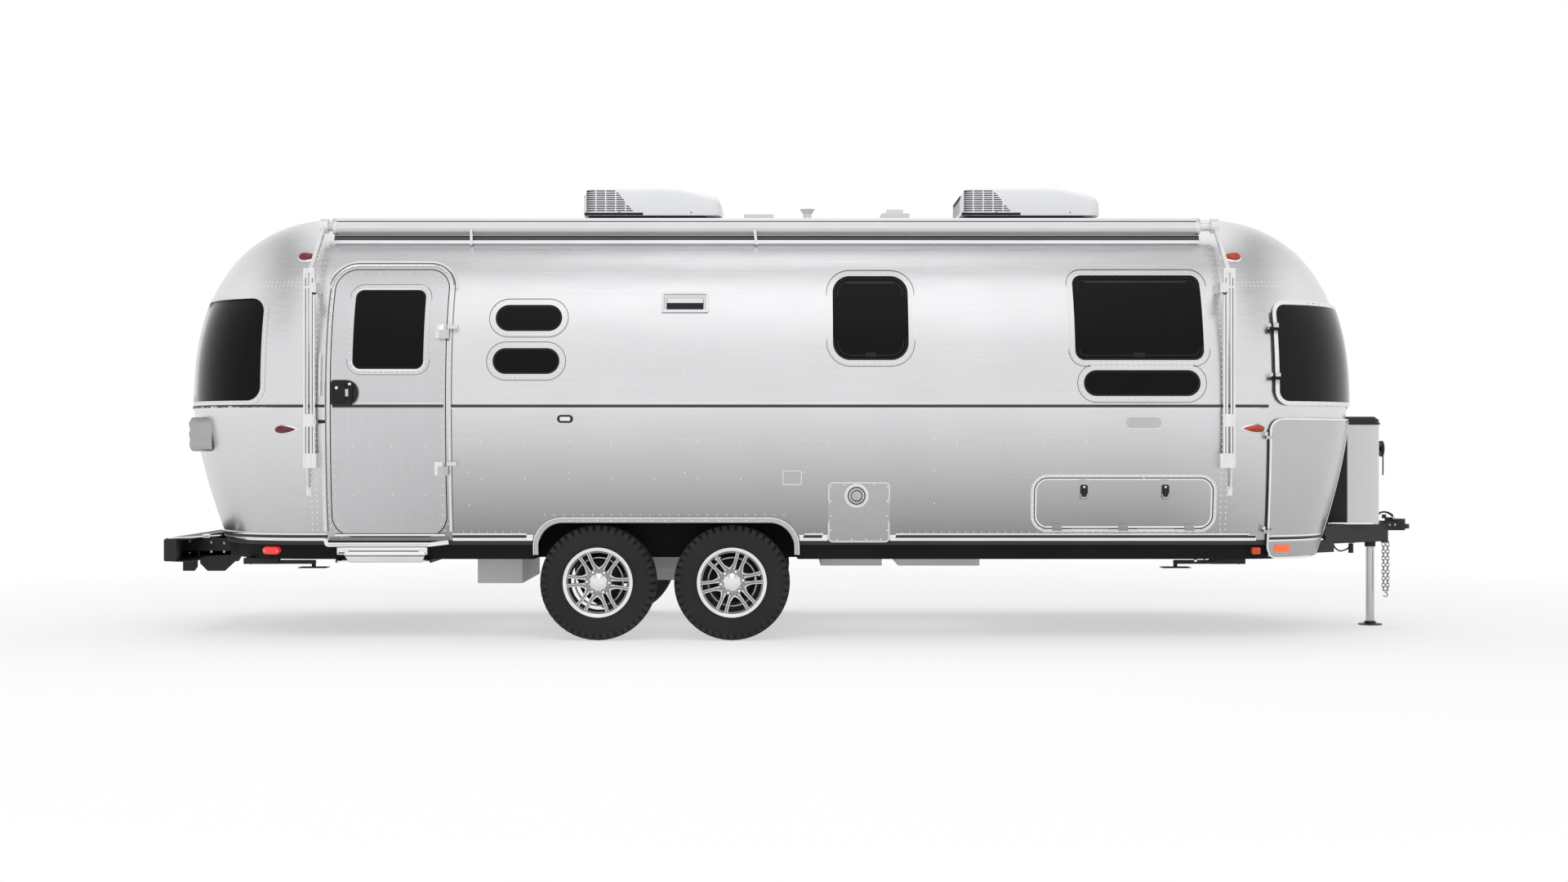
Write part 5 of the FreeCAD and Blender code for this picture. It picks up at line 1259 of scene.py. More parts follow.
    def build(self) -> None:
        """Makes the tyre and lets it stand for its node."""
        piece = Piece(self.name, self.body)
        piece.loft(self.carcass(), closed=True)
        self.row(piece, -self.CENTRE_ROW, self.CENTRE_ROW, 0.72, 0.30, 0.0)
        for sign in BOTH:
            self.row(piece, *spread(sign, *self.INNER_ROW), 0.66, sign * 0.45, 0.45)
            self.row(piece, *spread(sign, *self.OUTER_ROW), 0.70, sign * -0.12,
                     0.05 + 0.4 * (sign > 0), True)
        piece.make(RUBBER, RUBBER_WORN, replaces=[self.name.replace("_rubber", "")], smooth=32.0)


@dataclass(frozen=True)
class Rim:
    """Alloy wheel: six pairs of spokes that open in long U windows, with machined edges."""

    centre: tuple[float, float, float]
    side: float
    turn: float
    name: str
    body: str
    pairs: int = 6

    # Angles of the spokes in degrees; SPOKE is (share across a leg, lift), and the profiles
    # are (radius, distance outwards).
    FIRST, APART = 30.0, 60.0
    HUB, REACH = 0.058, 0.143
    LUGS, LUG_CIRCLE = 6, 0.0699
    SPOKE = ((0.0, -0.026), (0.0, -0.0015), (0.07, 0.0008), (0.24, 0.0004), (0.33, -0.0035),
             (0.66, -0.0035), (0.76, 0.0004), (0.93, 0.0008), (1.0, -0.0015), (1.0, -0.026))
    SPOKE_SLOTS = (1, 0, 0, 0, 1, 0, 0, 0, 1, 1)
    NUT = ((0.0115, 0.050), (0.0115, 0.066), (0.0100, 0.071), (0.0045, 0.0735))
    SEAT = ((0.0165, 0.040), (0.0165, 0.0575), (0.0150, 0.0585), (0.0135, 0.0550), (0.0040, 0.0545))
    LIP = ((0.2200, 0.100), (0.2203, 0.092), (0.2030, 0.086), (0.1960, 0.080),
           (0.1945, 0.086), (0.1975, 0.094), (0.2010, 0.0965), (0.2110, 0.0985))
    BARREL = ((0.2100, 0.0935), (0.2030, 0.088), (0.2030, 0.064), (0.1880, 0.040),
              (0.1880, -0.040), (0.2030, -0.064), (0.2030, -0.086), (0.2203, -0.092),
              (0.2203, -0.100), (0.2110, -0.100), (0.1950, -0.084), (0.1950, -0.062),
              (0.1800, -0.038), (0.1800, 0.038), (0.1900, 0.058), (0.1910, 0.078))
    STEP_RING = ((0.1940, 0.074), (0.1985, 0.082), (0.1950, 0.0835), (0.1870, 0.0765))
    HUB_DISC = ((0.0222, 0.030), (0.0222, -0.060), (0.040, -0.060), (0.040, 0.006),
                (0.086, 0.014), (0.088, 0.0515), (0.083, 0.0565), (0.058, 0.0535),
                (0.050, 0.0500), (0.044, 0.030))
    DRUM = ((0.0222, -0.060), (0.0222, -0.205), (0.138, -0.205), (0.138, -0.115),
            (0.130, -0.112), (0.060, -0.112), (0.060, -0.020), (0.040, -0.020), (0.040, -0.060))
    WEIGHTS = ((0.1530, -0.030), (0.1570, -0.018), (0.1570, 0.012), (0.1490, 0.012),
               (0.1490, -0.030))
    CAP = ((0.004, 0.0600), (0.036, 0.0600), (0.050, 0.0460), (0.0555, 0.0500),
           (0.0555, 0.0575), (0.049, 0.0600), (0.0445, 0.0640), (0.038, 0.0655),
           (0.0365, 0.0720), (0.031, 0.0752), (0.004, 0.0758))
    CAP_FACE, CAP_SCREW = 0.068, 0.0078

    def ring(self, piece: Piece, profile: Pairs, slot: int, steps: int) -> None:
        """Adds a closed ring, its profile in (radius, distance outwards)."""
        flat = np.array(profile) * np.array([1.0, self.side])
        piece.turn(flat, self.centre, 1, steps, slot)

    def face(self, radius: Array) -> Array:
        """Distance of the spokes' face outwards: a shallow dish between hub and rim."""
        share = np.clip((radius - 0.070) / 0.130, 0, 1)
        return 0.054 + 0.033 * (share ** 1.35) + 0.004 * np.sin(share * math.pi)

    def legs(self, piece: Piece) -> None:
        """Adds the spokes: each leg is a section with bright edges and a grey groove.

        A leg's middle leaves the pair's line by an offset that grows with the radius, and
        its window side flares towards the hub, which rounds the foot of the window.
        """
        radius = np.linspace(self.HUB, self.HUB + self.REACH, 22)
        share = (radius - self.HUB) / self.REACH
        inner = 0.0085 + 0.0100 * share ** 1.2
        flare = 0.022 * np.clip((0.134 - radius) / 0.060, 0, 1) ** 2.0
        outer = inner + 0.0205 + 0.0035 * share + flare
        depth = self.face(radius)
        leg = np.stack([np.stack([inner + (outer - inner) * across, radius, depth + lift], -1)
                        for across, lift in self.SPOKE], 1)
        for k in range(self.pairs):
            angle = math.radians(self.turn + self.FIRST + self.APART * k)
            cos, sin = math.cos(angle), math.sin(angle)
            for hand in BOTH:
                x = hand * leg[..., 0] * cos + leg[..., 1] * sin
                z = -hand * leg[..., 0] * sin + leg[..., 1] * cos
                y = self.side * leg[..., 2]
                piece.loft(np.stack([x, y, z], -1) + np.array(self.centre),
                           slot=np.array(self.SPOKE_SLOTS))

    def bolts(self, piece: Piece) -> None:
        """Adds six domed nuts in round seats."""
        angle = np.radians(self.turn + self.FIRST + self.APART * np.arange(self.LUGS))
        origin = self.LUG_CIRCLE * np.stack([np.sin(angle), np.zeros(self.LUGS), np.cos(angle)], -1)
        axes = outwards(self.side, self.LUGS)
        for profile, sides, slot in ((self.NUT, 6, 2), (self.SEAT, 20, 1)):
            piece.loft(placed(rounds(profile, sides), origin + np.array(self.centre), axes),
                       slot=slot)

    def build(self) -> None:
        """Makes the wheel with its barrel, brake drum, spokes, nuts and hub cap."""
        piece = Piece(self.name, self.body)
        # The barrel and drum take the near-black finish of painted shade.
        for profile, slot, steps in ((self.LIP, 0, 96), (self.BARREL, 3, 96),
                                     (self.STEP_RING, 1, 96), (self.HUB_DISC, 1, 96),
                                     (self.DRUM, 3, 64), (self.WEIGHTS, 4, 72)):
            self.ring(piece, profile, slot, steps)
        self.legs(piece)
        self.bolts(piece)
        self.ring(piece, self.CAP, 2, 48)
        axle = np.array(self.centre) + np.array([0.0, self.side * self.CAP_FACE, 0.0])
        piece.tube(np.stack([axle, axle + [0, self.side * self.CAP_SCREW, 0]]), 0.0042, 16,
                   (0, 0, 1), 2)
        piece.make(ALLOY_BRIGHT, ALLOY_GREY, CHROME, ALLOY_SHADE, GALVANISED,
                   replaces=[self.name.replace("_alloy", "")], smooth=35.0)


class Lamps:
    """Teardrop markers, reflectors and tail lamps."""

    # A marker is (x, z, way of its point, whether red); a lens is (length, width, height),
    # and a level is (inset, lift).
    MARKERS = ((-3.1885, 2.430, 1.0, True), (-3.265, 1.329, 1.0, True),
               (2.686, 2.430, -1.0, False), (2.764, 1.335, -1.0, False))
    BASE, LENS, LENS_SHIFT = (0.156, 0.062, 0.012), (0.130, 0.048, 0.024), 0.008
    LENS_FOOT = 0.006
    TAIL_Y, TAIL_Z, TAIL_GAP = 0.955, 1.300, 0.062
    HOUSING = ((0, -0.10), (0, 0.030), (0.006, 0.040), (0.016, 0.044))
    TAIL_LENS = ((0, 0.030), (0, 0.047), (0.006, 0.051), (0.018, 0.052))
    SKIRT_SPOT, SHIELD_SPOT, SCREW_OFFSET = (-3.392, 0.567), (2.972, 0.585), 0.043
    SKIRT_PILL = (0.112, 0.046, 0.020, -0.030, 0.010, 0.003)
    SHIELD_PILL = (0.112, 0.046, 0.021, 0.016, 0.028, 0.003)

    def drop(self, length: float, width: float, height: float, tip: float, base: float) -> Array:
        """Teardrop dome: half ellipses whose width swells fast from the blunt end and then
        runs out to the pointed one."""
        share = np.linspace(0.004, 0.996, 22)
        bulge = (np.sin(math.pi * share ** 0.62)) ** 0.72
        angle = np.linspace(0, math.pi, 13)
        u = tip * (share - 0.5) * length
        v = bulge[:, None] * (width / 2) * np.cos(angle)[None]
        w = base + bulge[:, None] * height * np.sin(angle)[None]
        upper = np.stack([np.broadcast_to(u[:, None], v.shape), v, w], -1)
        lower = upper[:, ::-1][:, 1:-1].copy()
        lower[..., 2] = -0.004
        return np.concatenate([upper, lower], 1)

    def build(self) -> None:
        """Makes the markers, the skirt reflectors and the tail lamps."""
        base = Piece("marker_lamp_bases")
        red = Piece("marker_lamps_red")
        amber = Piece("marker_lamps_amber")
        for x, z, tip, rear in self.MARKERS:
            for side in BOTH:
                base.lay(self.drop(*self.BASE, tip, 0.0), x, z, side)
                lens = self.drop(*self.LENS, tip, self.LENS_FOOT)
                lens[..., 0] -= tip * self.LENS_SHIFT
                (red if rear else amber).loft(SHELL.laid(lens, x, z, side))
        tails = Piece("tail_lamps")
        for side in BOTH:
            self.tail(tails, side)
        base.make(CHROME, replaces=["lamps"])
        red.make(RED_MARKER)
        amber.make(AMBER_MARKER)
        tails.make(SKIRT_GREY, RED, AMBER, WHITE_LENS)
        self.reflectors()

    def tail(self, piece: Piece, side: float) -> None:
        """Adds one tail lamp: a grey housing with three lenses, one above the other."""
        point, _ = SHELL.end_frame(np.array([side * 0.90]), self.TAIL_Z, -1.0)
        axes = np.array([(0.0, -1.0, 0.0), (0.0, 0.0, 1.0), (-1.0, 0.0, 0.0)])[None]
        origin = np.array([[point[0, 0] - 0.004, side * self.TAIL_Y, self.TAIL_Z]])
        piece.loft(placed(plate(0.165, 0.218, 0.045, self.HOUSING), origin, axes))
        lens = plate(0.126, 0.052, 0.020, self.TAIL_LENS)
        for slot, step in ((1, 1.0), (2, 0.0), (3, -1.0)):
            spot = origin + np.array([[0, 0, step * self.TAIL_GAP]])
            piece.loft(placed(lens, spot, axes), slot=slot)

    def reflectors(self) -> None:
        """Red and amber reflectors on the skirt and on the front corner guards."""
        red = Piece("skirt_reflectors")
        for side in BOTH:
            red.lay(slab(*self.SKIRT_PILL), *self.SKIRT_SPOT, side)
            for way in BOTH:
                screw = dome(0.004, 0.002, 0.001) + np.array([way * self.SCREW_OFFSET, 0.0, 0.010])
                red.lay(screw, *self.SKIRT_SPOT, side, 1)
        red.make(RED_BRIGHT, CHROME)
        for name, side in SIDES.items():
            amber = Piece(f"corner_reflector_{name}", f"corner_shield_{name}")
            amber.lay(slab(*self.SHIELD_PILL), *self.SHIELD_SPOT, side)
            amber.make(AMBER_BRIGHT)


class RoofUnits:
    """Two air conditioners: a rounded shroud with a slatted tail over a dark base."""

    SPANS = ((-1.500, -0.580), (1.020, 1.950))
    HALF = 0.365
    LOW = 2.762
    TOP = 2.9575
    # Shares of the unit's length and height.
    CREST = ((0.0, 0.55), (0.012, 0.78), (0.035, 0.93), (0.08, 1.0), (0.62, 1.0), (0.70, 0.965),
             (0.80, 0.86), (0.90, 0.745), (0.96, 0.66), (0.985, 0.56), (1.0, 0.40))
    END_SHARE, END_PULL, SHOULDER = 0.055, 0.060, 0.038
    SLOT_HIGH, SLOT_WIDE, SLOT_PITCH, SLOT_ROWS = 0.0070, 0.058, 0.066, 11
    ROW_LOW, ROW_PITCH, SHORTEST_SLOT = 0.030, 0.0145, 0.014
    SLANT_FROM, SLANT = 0.330, 0.82
    TAIL_SLOT, TAIL_PITCH, TAIL_FROM = 0.057, 0.0655, -0.290
    PROUD = 0.0012
    BASE_INSET, BASE_SHORT, BASE_HALF, BASE_LOW = 0.030, 0.10, 0.325, 2.69
    SCREWS = (0.24, -0.20)

    def crest(self, share: Array) -> Array:
        """Height of the shroud: flat over the tail, then sloping to the blunt nose."""
        marks, tops = zip(*self.CREST)
        return self.LOW + (self.TOP - self.LOW) * np.interp(share, marks, tops)

    def shroud(self, x0: float, x1: float) -> Array:
        """Sections across the unit: flat sides, rounded shoulders, ends drawn in."""
        share = np.concatenate([[0.0, 0.006, 0.018, 0.04], np.linspace(0.08, 0.92, 30),
                                [0.96, 0.98, 0.993, 1.0]])
        ends = np.minimum(share, 1 - share) / self.END_SHARE
        pull = self.END_PULL * (1 - np.sqrt(1 - (1 - np.clip(ends, 0, 1)) ** 2))
        half = (self.HALF - pull)[:, None]
        top = self.crest(share)[:, None]
        turn = np.linspace(0, math.pi / 2, 7)
        soft = self.SHOULDER
        right = np.stack([half - soft + soft * np.cos(turn), top - soft + soft * np.sin(turn)], -1)
        left = right[:, ::-1] * np.array([-1.0, 1.0])
        foot = np.broadcast_to(self.LOW, half.shape)
        low = np.stack([np.concatenate([-half, half], 1), np.concatenate([foot, foot], 1)], -1)
        low = low + np.array([0.0, 0.002])
        section = np.concatenate([right, left, low], 1)
        x = (x0 + (x1 - x0) * share)[:, None]
        return np.concatenate([np.broadcast_to(x, section.shape[:2])[..., None], section], -1)

    def slots(self, piece: Piece, x0: float) -> None:
        """Adds dark slots on both sides and the tail, behind a slanted edge."""
        rows = self.LOW + self.ROW_LOW + self.ROW_PITCH * np.arange(self.SLOT_ROWS)
        for side in BOTH:
            y0, y1 = spread(side, self.HALF - 0.02 + self.PROUD, self.HALF + self.PROUD)
            for left in x0 + 0.022 + self.SLOT_PITCH * np.arange(5):
                for z in rows[rows <= self.TOP - 0.024]:
                    slanted = x0 + self.SLANT_FROM - self.SLANT * (z - rows[0])
                    right = min(left + self.SLOT_WIDE, slanted)
                    if right - left >= self.SHORTEST_SLOT:
                        piece.block(left, right, y0, y1, z, z + self.SLOT_HIGH, 0.001)
        for y0 in self.TAIL_FROM + self.TAIL_PITCH * np.arange(9):
            for z in rows[:8]:
                piece.block(x0 - 0.0006, x0 + 0.02, y0, y0 + self.TAIL_SLOT, z,
                            z + self.SLOT_HIGH, 0.001)
        for side in BOTH:
            y0, y1 = spread(side, self.HALF - 0.03 + self.PROUD, self.HALF + self.PROUD)
            piece.block(x0 + 0.008, x0 + 0.40, y0, y1, self.LOW + 0.0024, self.LOW + 0.020, 0.002)

    def build(self) -> None:
        """Makes the shrouds, their dark slots and their base strips."""
        shell = Piece("air_unit_shrouds")
        dark = Piece("air_unit_grilles")
        for x0, x1 in self.SPANS:
            shell.loft(self.shroud(x0, x1))
            self.slots(dark, x0)
            dark.block(x0 + self.BASE_INSET, x1 - self.BASE_SHORT, -self.BASE_HALF,
                       self.BASE_HALF, self.BASE_LOW, self.LOW + 0.004, 0.01)
            for side in BOTH:
                y = side * (self.HALF - 0.002)
                origin = np.array([(x0 + self.SCREWS[0], y, self.LOW + 0.022),
                                   (x1 + self.SCREWS[1], y, self.LOW + 0.020)])
                dark.loft(placed(dome(0.006, 0.003, 0.002, 10), origin, outwards(side, 2)))
        shell.make(WHITE_SHELL, replaces=["roof_air_units"], smooth=50.0)
        dark.make(SLOT)


class Door:
    """Fittings of the entry door and its doorway: latch, hinge leaves, trims and rivets."""

    NAME = "entry_door"
    # A section is (growth of the outline, lift off the skin); a slab is (width, height,
    # corner, low, high, edge); the flanges are (x, width, lift, finish).
    DRIP = ((0.0430, -0.001), (0.0435, 0.0080), (0.0480, 0.0135), (0.0540, 0.0135),
            (0.0585, 0.0080), (0.0590, -0.001))
    SHADOW = ((0.0335, -0.001), (0.0335, 0.0056), (0.0430, 0.0056), (0.0430, -0.001))
    INNER = ((0.0240, 0.001), (0.0242, 0.0080), (0.0285, 0.0100), (0.0330, 0.0080), (0.0335, 0.001))
    HEAD = ((DRIP, 2.262, 2.120, 0), (SHADOW, 2.230, 2.120, 1), (INNER, 2.213, 2.213, 0))
    FLANGES = ((-3.036, 0.024, 0.0065, 2), (-3.019, 0.006, 0.0052, 1), (-2.247, 0.018, 0.0085, 2),
               (-2.2345, 0.004, 0.0060, 1))
    FLANGE_ROWS = ((-3.036, 0.102, 0.0065), (-3.005, 0.102, 0.004), (-2.247, 0.0485, 0.0085))
    LATCH = (-2.901, 1.5575)
    CASE = ((0.0, 0.0), (0.0, 0.016), (0.004, 0.020), (0.012, 0.020), (0.015, 0.0165))
    GRIPS = (((0.074, 0.112, 0.008, 0.014, 0.0315, 0.004), -0.026, 0.0),
             ((0.026, 0.100, 0.012, 0.014, 0.036, 0.006), 0.040, -0.004))
    LOCKS = ((-0.046, 0.030, 0.031), (0.034, 0.052, 0.022))
    BELTS = ((1.4925, 0.007, 0.004, 0), (1.4770, 0.0137, 0.0070, 1), (1.4670, 0.006, 0.0070, 2),
             (0.6680, 0.012, 0.007, 0), (0.6765, 0.004, 0.003, 2))
    LEAF_X, LEAF_HEIGHTS, LEAF_LIFT = -2.3150, (1.085, 1.940), 0.0150
    SCREW_X, SCREW_GAP = -2.3280, 0.028
    WINDOW_FACE = ((0.0010, -0.001), (0.0010, 0.0032), (0.0030, 0.0042), (0.0300, 0.0036),
                   (0.0325, 0.0022), (0.0325, -0.001))
    WINDOW_SEAL = ((0.0335, -0.001), (0.0335, 0.0022), (0.0365, 0.0024), (0.0375, -0.001))
    RUBBER_EDGE = ((-0.0006, -0.004), (-0.008, -0.004), (-0.010, -0.0095), (-0.0006, -0.0095))
    ROD_X, ROD_LOW, ROD_HIGH, ROD_OFF = -3.052, 1.54, 1.80, 0.034
    ROD_RADIUS, FOOT_RADIUS, ROD_FOOT = 0.0065, 0.0055, (0.026, 0.026, 0.008, -0.001, 0.005)
    CATCH, CATCH_SPOT = (0.042, 0.022, 0.006, -0.001, 0.012, 0.003), (-3.045, 1.378)

    def handle(self) -> None:
        """Black D-shaped latch with a paddle, a lock and a bright key plate."""
        case = Piece("door_latch", self.NAME)
        x, z = self.LATCH
        flat = outline(0.172, 0.160, 0.020, 6)
        round_end = outline(0.172, 0.160, 0.074, 6)
        shape = np.where(flat[:, :1] > 0, round_end, flat)
        rings = np.stack([raised(shape * (1 - inset / 0.080), lift) for inset, lift in self.CASE])
        case.lay(rings, x, z, CURB)
        for grip, dx, dz in self.GRIPS:
            case.lay(slab(*grip), x + dx, z + dz, CURB, 1)
        for dx, dz, lift in self.LOCKS:
            lock = dome(0.010, 0.004, 0.001, 16) + np.array([0, 0, lift])
            case.lay(lock, x + dx, z + dz, CURB, 2)
        case.make(BLACK_MOULD, GASKET_AND_SHADE, CHROME)

    def trims(self) -> None:
        """Belt and sill mouldings across the door, bright with a dark line below."""
        trim = Piece("door_trims", self.NAME)
        wide = DOOR.x1 - DOOR.x0 - 0.022
        x, _ = DOOR.centre
        for z, height, lift, slot in self.BELTS:
            trim.lay(slab(wide, height, 0.003, -0.001, lift, 0.002), x, z, CURB, slot)
        trim.make(BRIGHT, DARK_LINE, GREY_LINE)

    def rivets(self) -> None:
        """Rows round the leaf and round its window."""
        rows = Rivets("door_rivets", self.NAME)
        edge = DOOR.line(-0.020, 0.062)
        edge = edge[(np.abs(edge[:, 1] - 1.462) > 0.03) & (edge[:, 1] > 0.72)]
        rows.side(*edge.T, CURB, 0.0, rows.MIDDLE)
        rows.around(DOOR_WINDOW, CURB)
        x, z = np.meshgrid([-2.85, -2.61, -2.40], [0.92, 1.22])
        rows.side(x.ravel(), z.ravel(), CURB, 0.0, rows.MIDDLE)
        rows.make()

    def hinges(self) -> None:
        """Hinge leaves on the door with their screws."""
        piece = Piece("door_hinge_leaves", self.NAME)
        leaf = slab(0.056, 0.088, 0.005, -0.001, self.LEAF_LIFT, 0.003)
        screw = dome(0.0050, 0.0024, 0.001, 10) + np.array([0.0, 0.0, self.LEAF_LIFT])
        for z in self.LEAF_HEIGHTS:
            piece.lay(leaf, self.LEAF_X, z, CURB)
            for way in BOTH:
                piece.lay(screw, self.SCREW_X, z + way * self.SCREW_GAP, CURB, 1)
        piece.make(CAST, RIVET)

    def glass_edge(self) -> None:
        """Bright frame, seal line and rubber round the door's glass."""
        ring = Piece("door_window_frame", self.NAME)
        ring.trim(DOOR_WINDOW, self.WINDOW_FACE, CURB)
        ring.trim(DOOR_WINDOW, self.WINDOW_SEAL, CURB, 1)
        ring.make(BRIGHT, GREY_LINE)
        rubber = Piece("door_gasket", self.NAME)
        rubber.trim(DOOR_WINDOW, self.RUBBER_EDGE, CURB)
        rubber.make(GASKET_AND_SHADE)

    def surround(self) -> None:
        """Rails round the head of the doorway and its side flanges, with their rivets."""
        frame = Piece("doorway_trims")
        for section, low_rear, low_front, slot in self.HEAD:
            band = DOOR.band(section)
            middle = band.mean(1) + np.array([*DOOR.centre, 0.0])
            limit = np.where(middle[:, 0] < DOOR.centre[0], low_rear, low_front)
            order = np.flatnonzero(middle[:, 1] > limit - 0.001)
            frame.loft(SHELL.laid(band[order], *DOOR.centre, CURB), slot=slot)
        for x, width, lift, slot in self.FLANGES:
            frame.strip(straight(x, 0.690, x, 2.235), (width, -0.001, lift), CURB, slot)
        frame.strip(straight(-3.010, 0.6435, -2.262, 0.6435), (0.021, -0.001, 0.0065), CURB, 1)
        frame.make(BRIGHT, GREY_LINE, FRAME_METAL)
        rows = Rivets("doorway_rivets")
        for x, pitch, lift in self.FLANGE_ROWS:
            rows.side(x, np.arange(0.72, 2.21, pitch), CURB, lift, rows.SMALL)
        rows.make()

    def beside(self) -> None:
        """Grab rod and hold-open catch on the wall behind the doorway."""
        rod = Piece("grab_rod")
        point, axes = SHELL.frame(self.ROD_X, np.linspace(self.ROD_LOW, self.ROD_HIGH, 14), CURB)
        rod.tube(point + self.ROD_OFF * axes[:, 2], self.ROD_RADIUS, 12, (0, 1, 0))
        for k in (1, 12):
            foot = np.stack([point[k] - 0.002 * axes[k, 2],
                             point[k] + (self.ROD_OFF + 0.002) * axes[k, 2]])
            rod.tube(foot, self.FOOT_RADIUS, 10)
            rod.loft(placed(slab(*self.ROD_FOOT), point[k:k + 1], axes[k:k + 1]))
        rod.make(CHROME)
        catch = Piece("door_hold_catch")
        catch.lay(slab(*self.CATCH), *self.CATCH_SPOT, CURB)
        catch.make(BLACK_MOULD)

    def build(self) -> None:
        """Builds the door's fittings."""
        self.handle()
        self.hinges()
        self.trims()
        self.rivets()
        self.glass_edge()
        self.surround()
        self.beside()


class Fittings:
    """Small parts of the sides: vents, latches, heater door, blank badge and porch lamp."""

    # A part is (its slab, its height, its finish); a lip is (growth, lift).
    LATCHES, LATCH_Z = (1.716, 2.225), 0.9385
    LATCH_PARTS = (((0.047, 0.090, 0.012, 0.0, 0.0105, 0.003), 0.0, 0),
                   ((0.033, 0.060, 0.008, 0.006, 0.0125, 0.002), -0.0065, 1),
                   ((0.012, 0.052, 0.005, 0.010, 0.0165, 0.002), -0.0045, 0))
    KEY_LIFT, KEY_UP = 0.0125, 0.0325
    HATCH_EDGE = ((-0.001, 0.0), (-0.001, 0.0035), (-0.006, 0.0045), (-0.010, 0.0015),
                  (-0.010, 0.0))
    EXHAUST = (0.294, 0.915)
    EXHAUST_RIM = ((0.074, 0.004), (0.074, 0.0065), (0.070, 0.0082), (0.064, 0.0082),
                   (0.062, 0.0060))
    EXHAUST_RINGS = ((0.056, 1), (0.046, 2), (0.036, 1))
    EXHAUST_CORE = ((0.024, 0.005), (0.024, 0.0115), (0.018, 0.0150), (0.006, 0.0160))
    HOOD = Opening(-0.930, -0.634, 2.062, 2.195, 0.010)
    HOOD_PARTS = (((0.232, 0.072, 0.006, 0.002, 0.0070, 0.001), 2.118, 1),
                  ((0.228, 0.030, 0.004, 0.004, 0.0100, 0.002), 2.137, 2))
    HOOD_LIP = ((-0.001, 0.005), (-0.001, 0.010), (-0.016, 0.011), (-0.018, 0.005))
    COVER = Opening(-0.170, -0.048, 0.982, 1.074, 0.015)
    COVER_LIP = ((0.0, 0.004), (0.0, 0.0072), (-0.006, 0.0078), (-0.007, 0.004))
    HEATER_LIP = ((0.0, 0.004), (0.0, 0.0070), (-0.010, 0.0076), (-0.012, 0.004))
    BADGE = Opening(1.970, 2.200, 1.333, 1.410, 0.038)
    BADGE_LIP = ((0.0, 0.004), (0.0, 0.0080), (-0.004, 0.0085), (-0.005, 0.004))
    PORCH_LAMP = (-1.526, 1.395)
    PORCH_PARTS = (((0.100, 0.050, 0.024, 0.004, 0.0120, 0.003), 1),
                   ((0.066, 0.026, 0.008, 0.010, 0.0150, 0.003), 2))

    def latches(self) -> None:
        """Black latches on the storage hatches, over their solid pads."""
        for name, side in SIDES.items():
            piece = Piece(f"hatch_latches_{name}", f"hatch_{name}")
            for x in self.LATCHES:
                for part, dz, slot in self.LATCH_PARTS:
                    piece.lay(slab(*part), x, self.LATCH_Z + dz, side, slot)
                key = dome(0.007, 0.002, 0.001, 14) + np.array([0, 0, self.KEY_LIFT])
                piece.lay(key, x, self.LATCH_Z + self.KEY_UP, side, 2)
            piece.make(BLACK_MOULD, GASKET_AND_SHADE, CHROME)
            edge = Piece(f"hatch_edge_{name}", f"hatch_{name}")
            edge.trim(HATCH, self.HATCH_EDGE, side)
            edge.make(BRIGHT)

    def heater(self) -> None:
        """Round exhaust with its ring, mesh and cap on the water heater's door."""
        piece = Piece("heater_exhaust")
        profiles = [(self.EXHAUST_RIM, 0)]
        profiles += [(((r, 0.005), (r, 0.0100), (r - 0.003, 0.0110), (r - 0.007, 0.0100),
                       (r - 0.008, 0.005)), slot) for r, slot in self.EXHAUST_RINGS]
        for profile, slot in [*profiles, (self.EXHAUST_CORE, 2)]:
            piece.lay(rounds(profile, 36), *self.EXHAUST, CURB, slot)
        piece.make(BRIGHT, SLOT, GALVANISED)

    def vents(self) -> None:
        """Range vent, its dark louvre, and the edges of the small covers."""
        piece = Piece("side_vents")
        piece.trim(self.HOOD, self.HOOD_LIP, CURB)
        for part, z, slot in self.HOOD_PARTS:
            piece.lay(slab(*part), self.HOOD.centre[0], z, CURB, slot)
        piece.trim(self.COVER, self.COVER_LIP, CURB, 2)
        piece.trim(HEATER, self.HEATER_LIP, CURB)
        piece.make(FRAME_METAL, SLOT, VENT_WHITE)

    def badge(self) -> None:
        """Blank badge plate and the small porch lamp."""
        piece = Piece("badge_and_porch_lamp")
        piece.trim(self.BADGE, self.BADGE_LIP, CURB)
        for part, slot in self.PORCH_PARTS:
            piece.lay(slab(*part), *self.PORCH_LAMP, CURB, slot)
        piece.make(CHROME, BLACK_MOULD, WHITE_LENS)

    def build(self) -> None:
        """Builds the side fittings."""
        self.latches()
        self.heater()
        self.vents()
        self.badge()


def prism(ring: Pairs, y0: float, y1: float) -> Array:
    """Flat plate from an outline in (x, z) between two distances across."""
    flat = np.array(ring)
    return np.stack([np.column_stack([flat[:, 0], np.full(len(flat), y), flat[:, 1]])
                     for y in (y0, y1)])


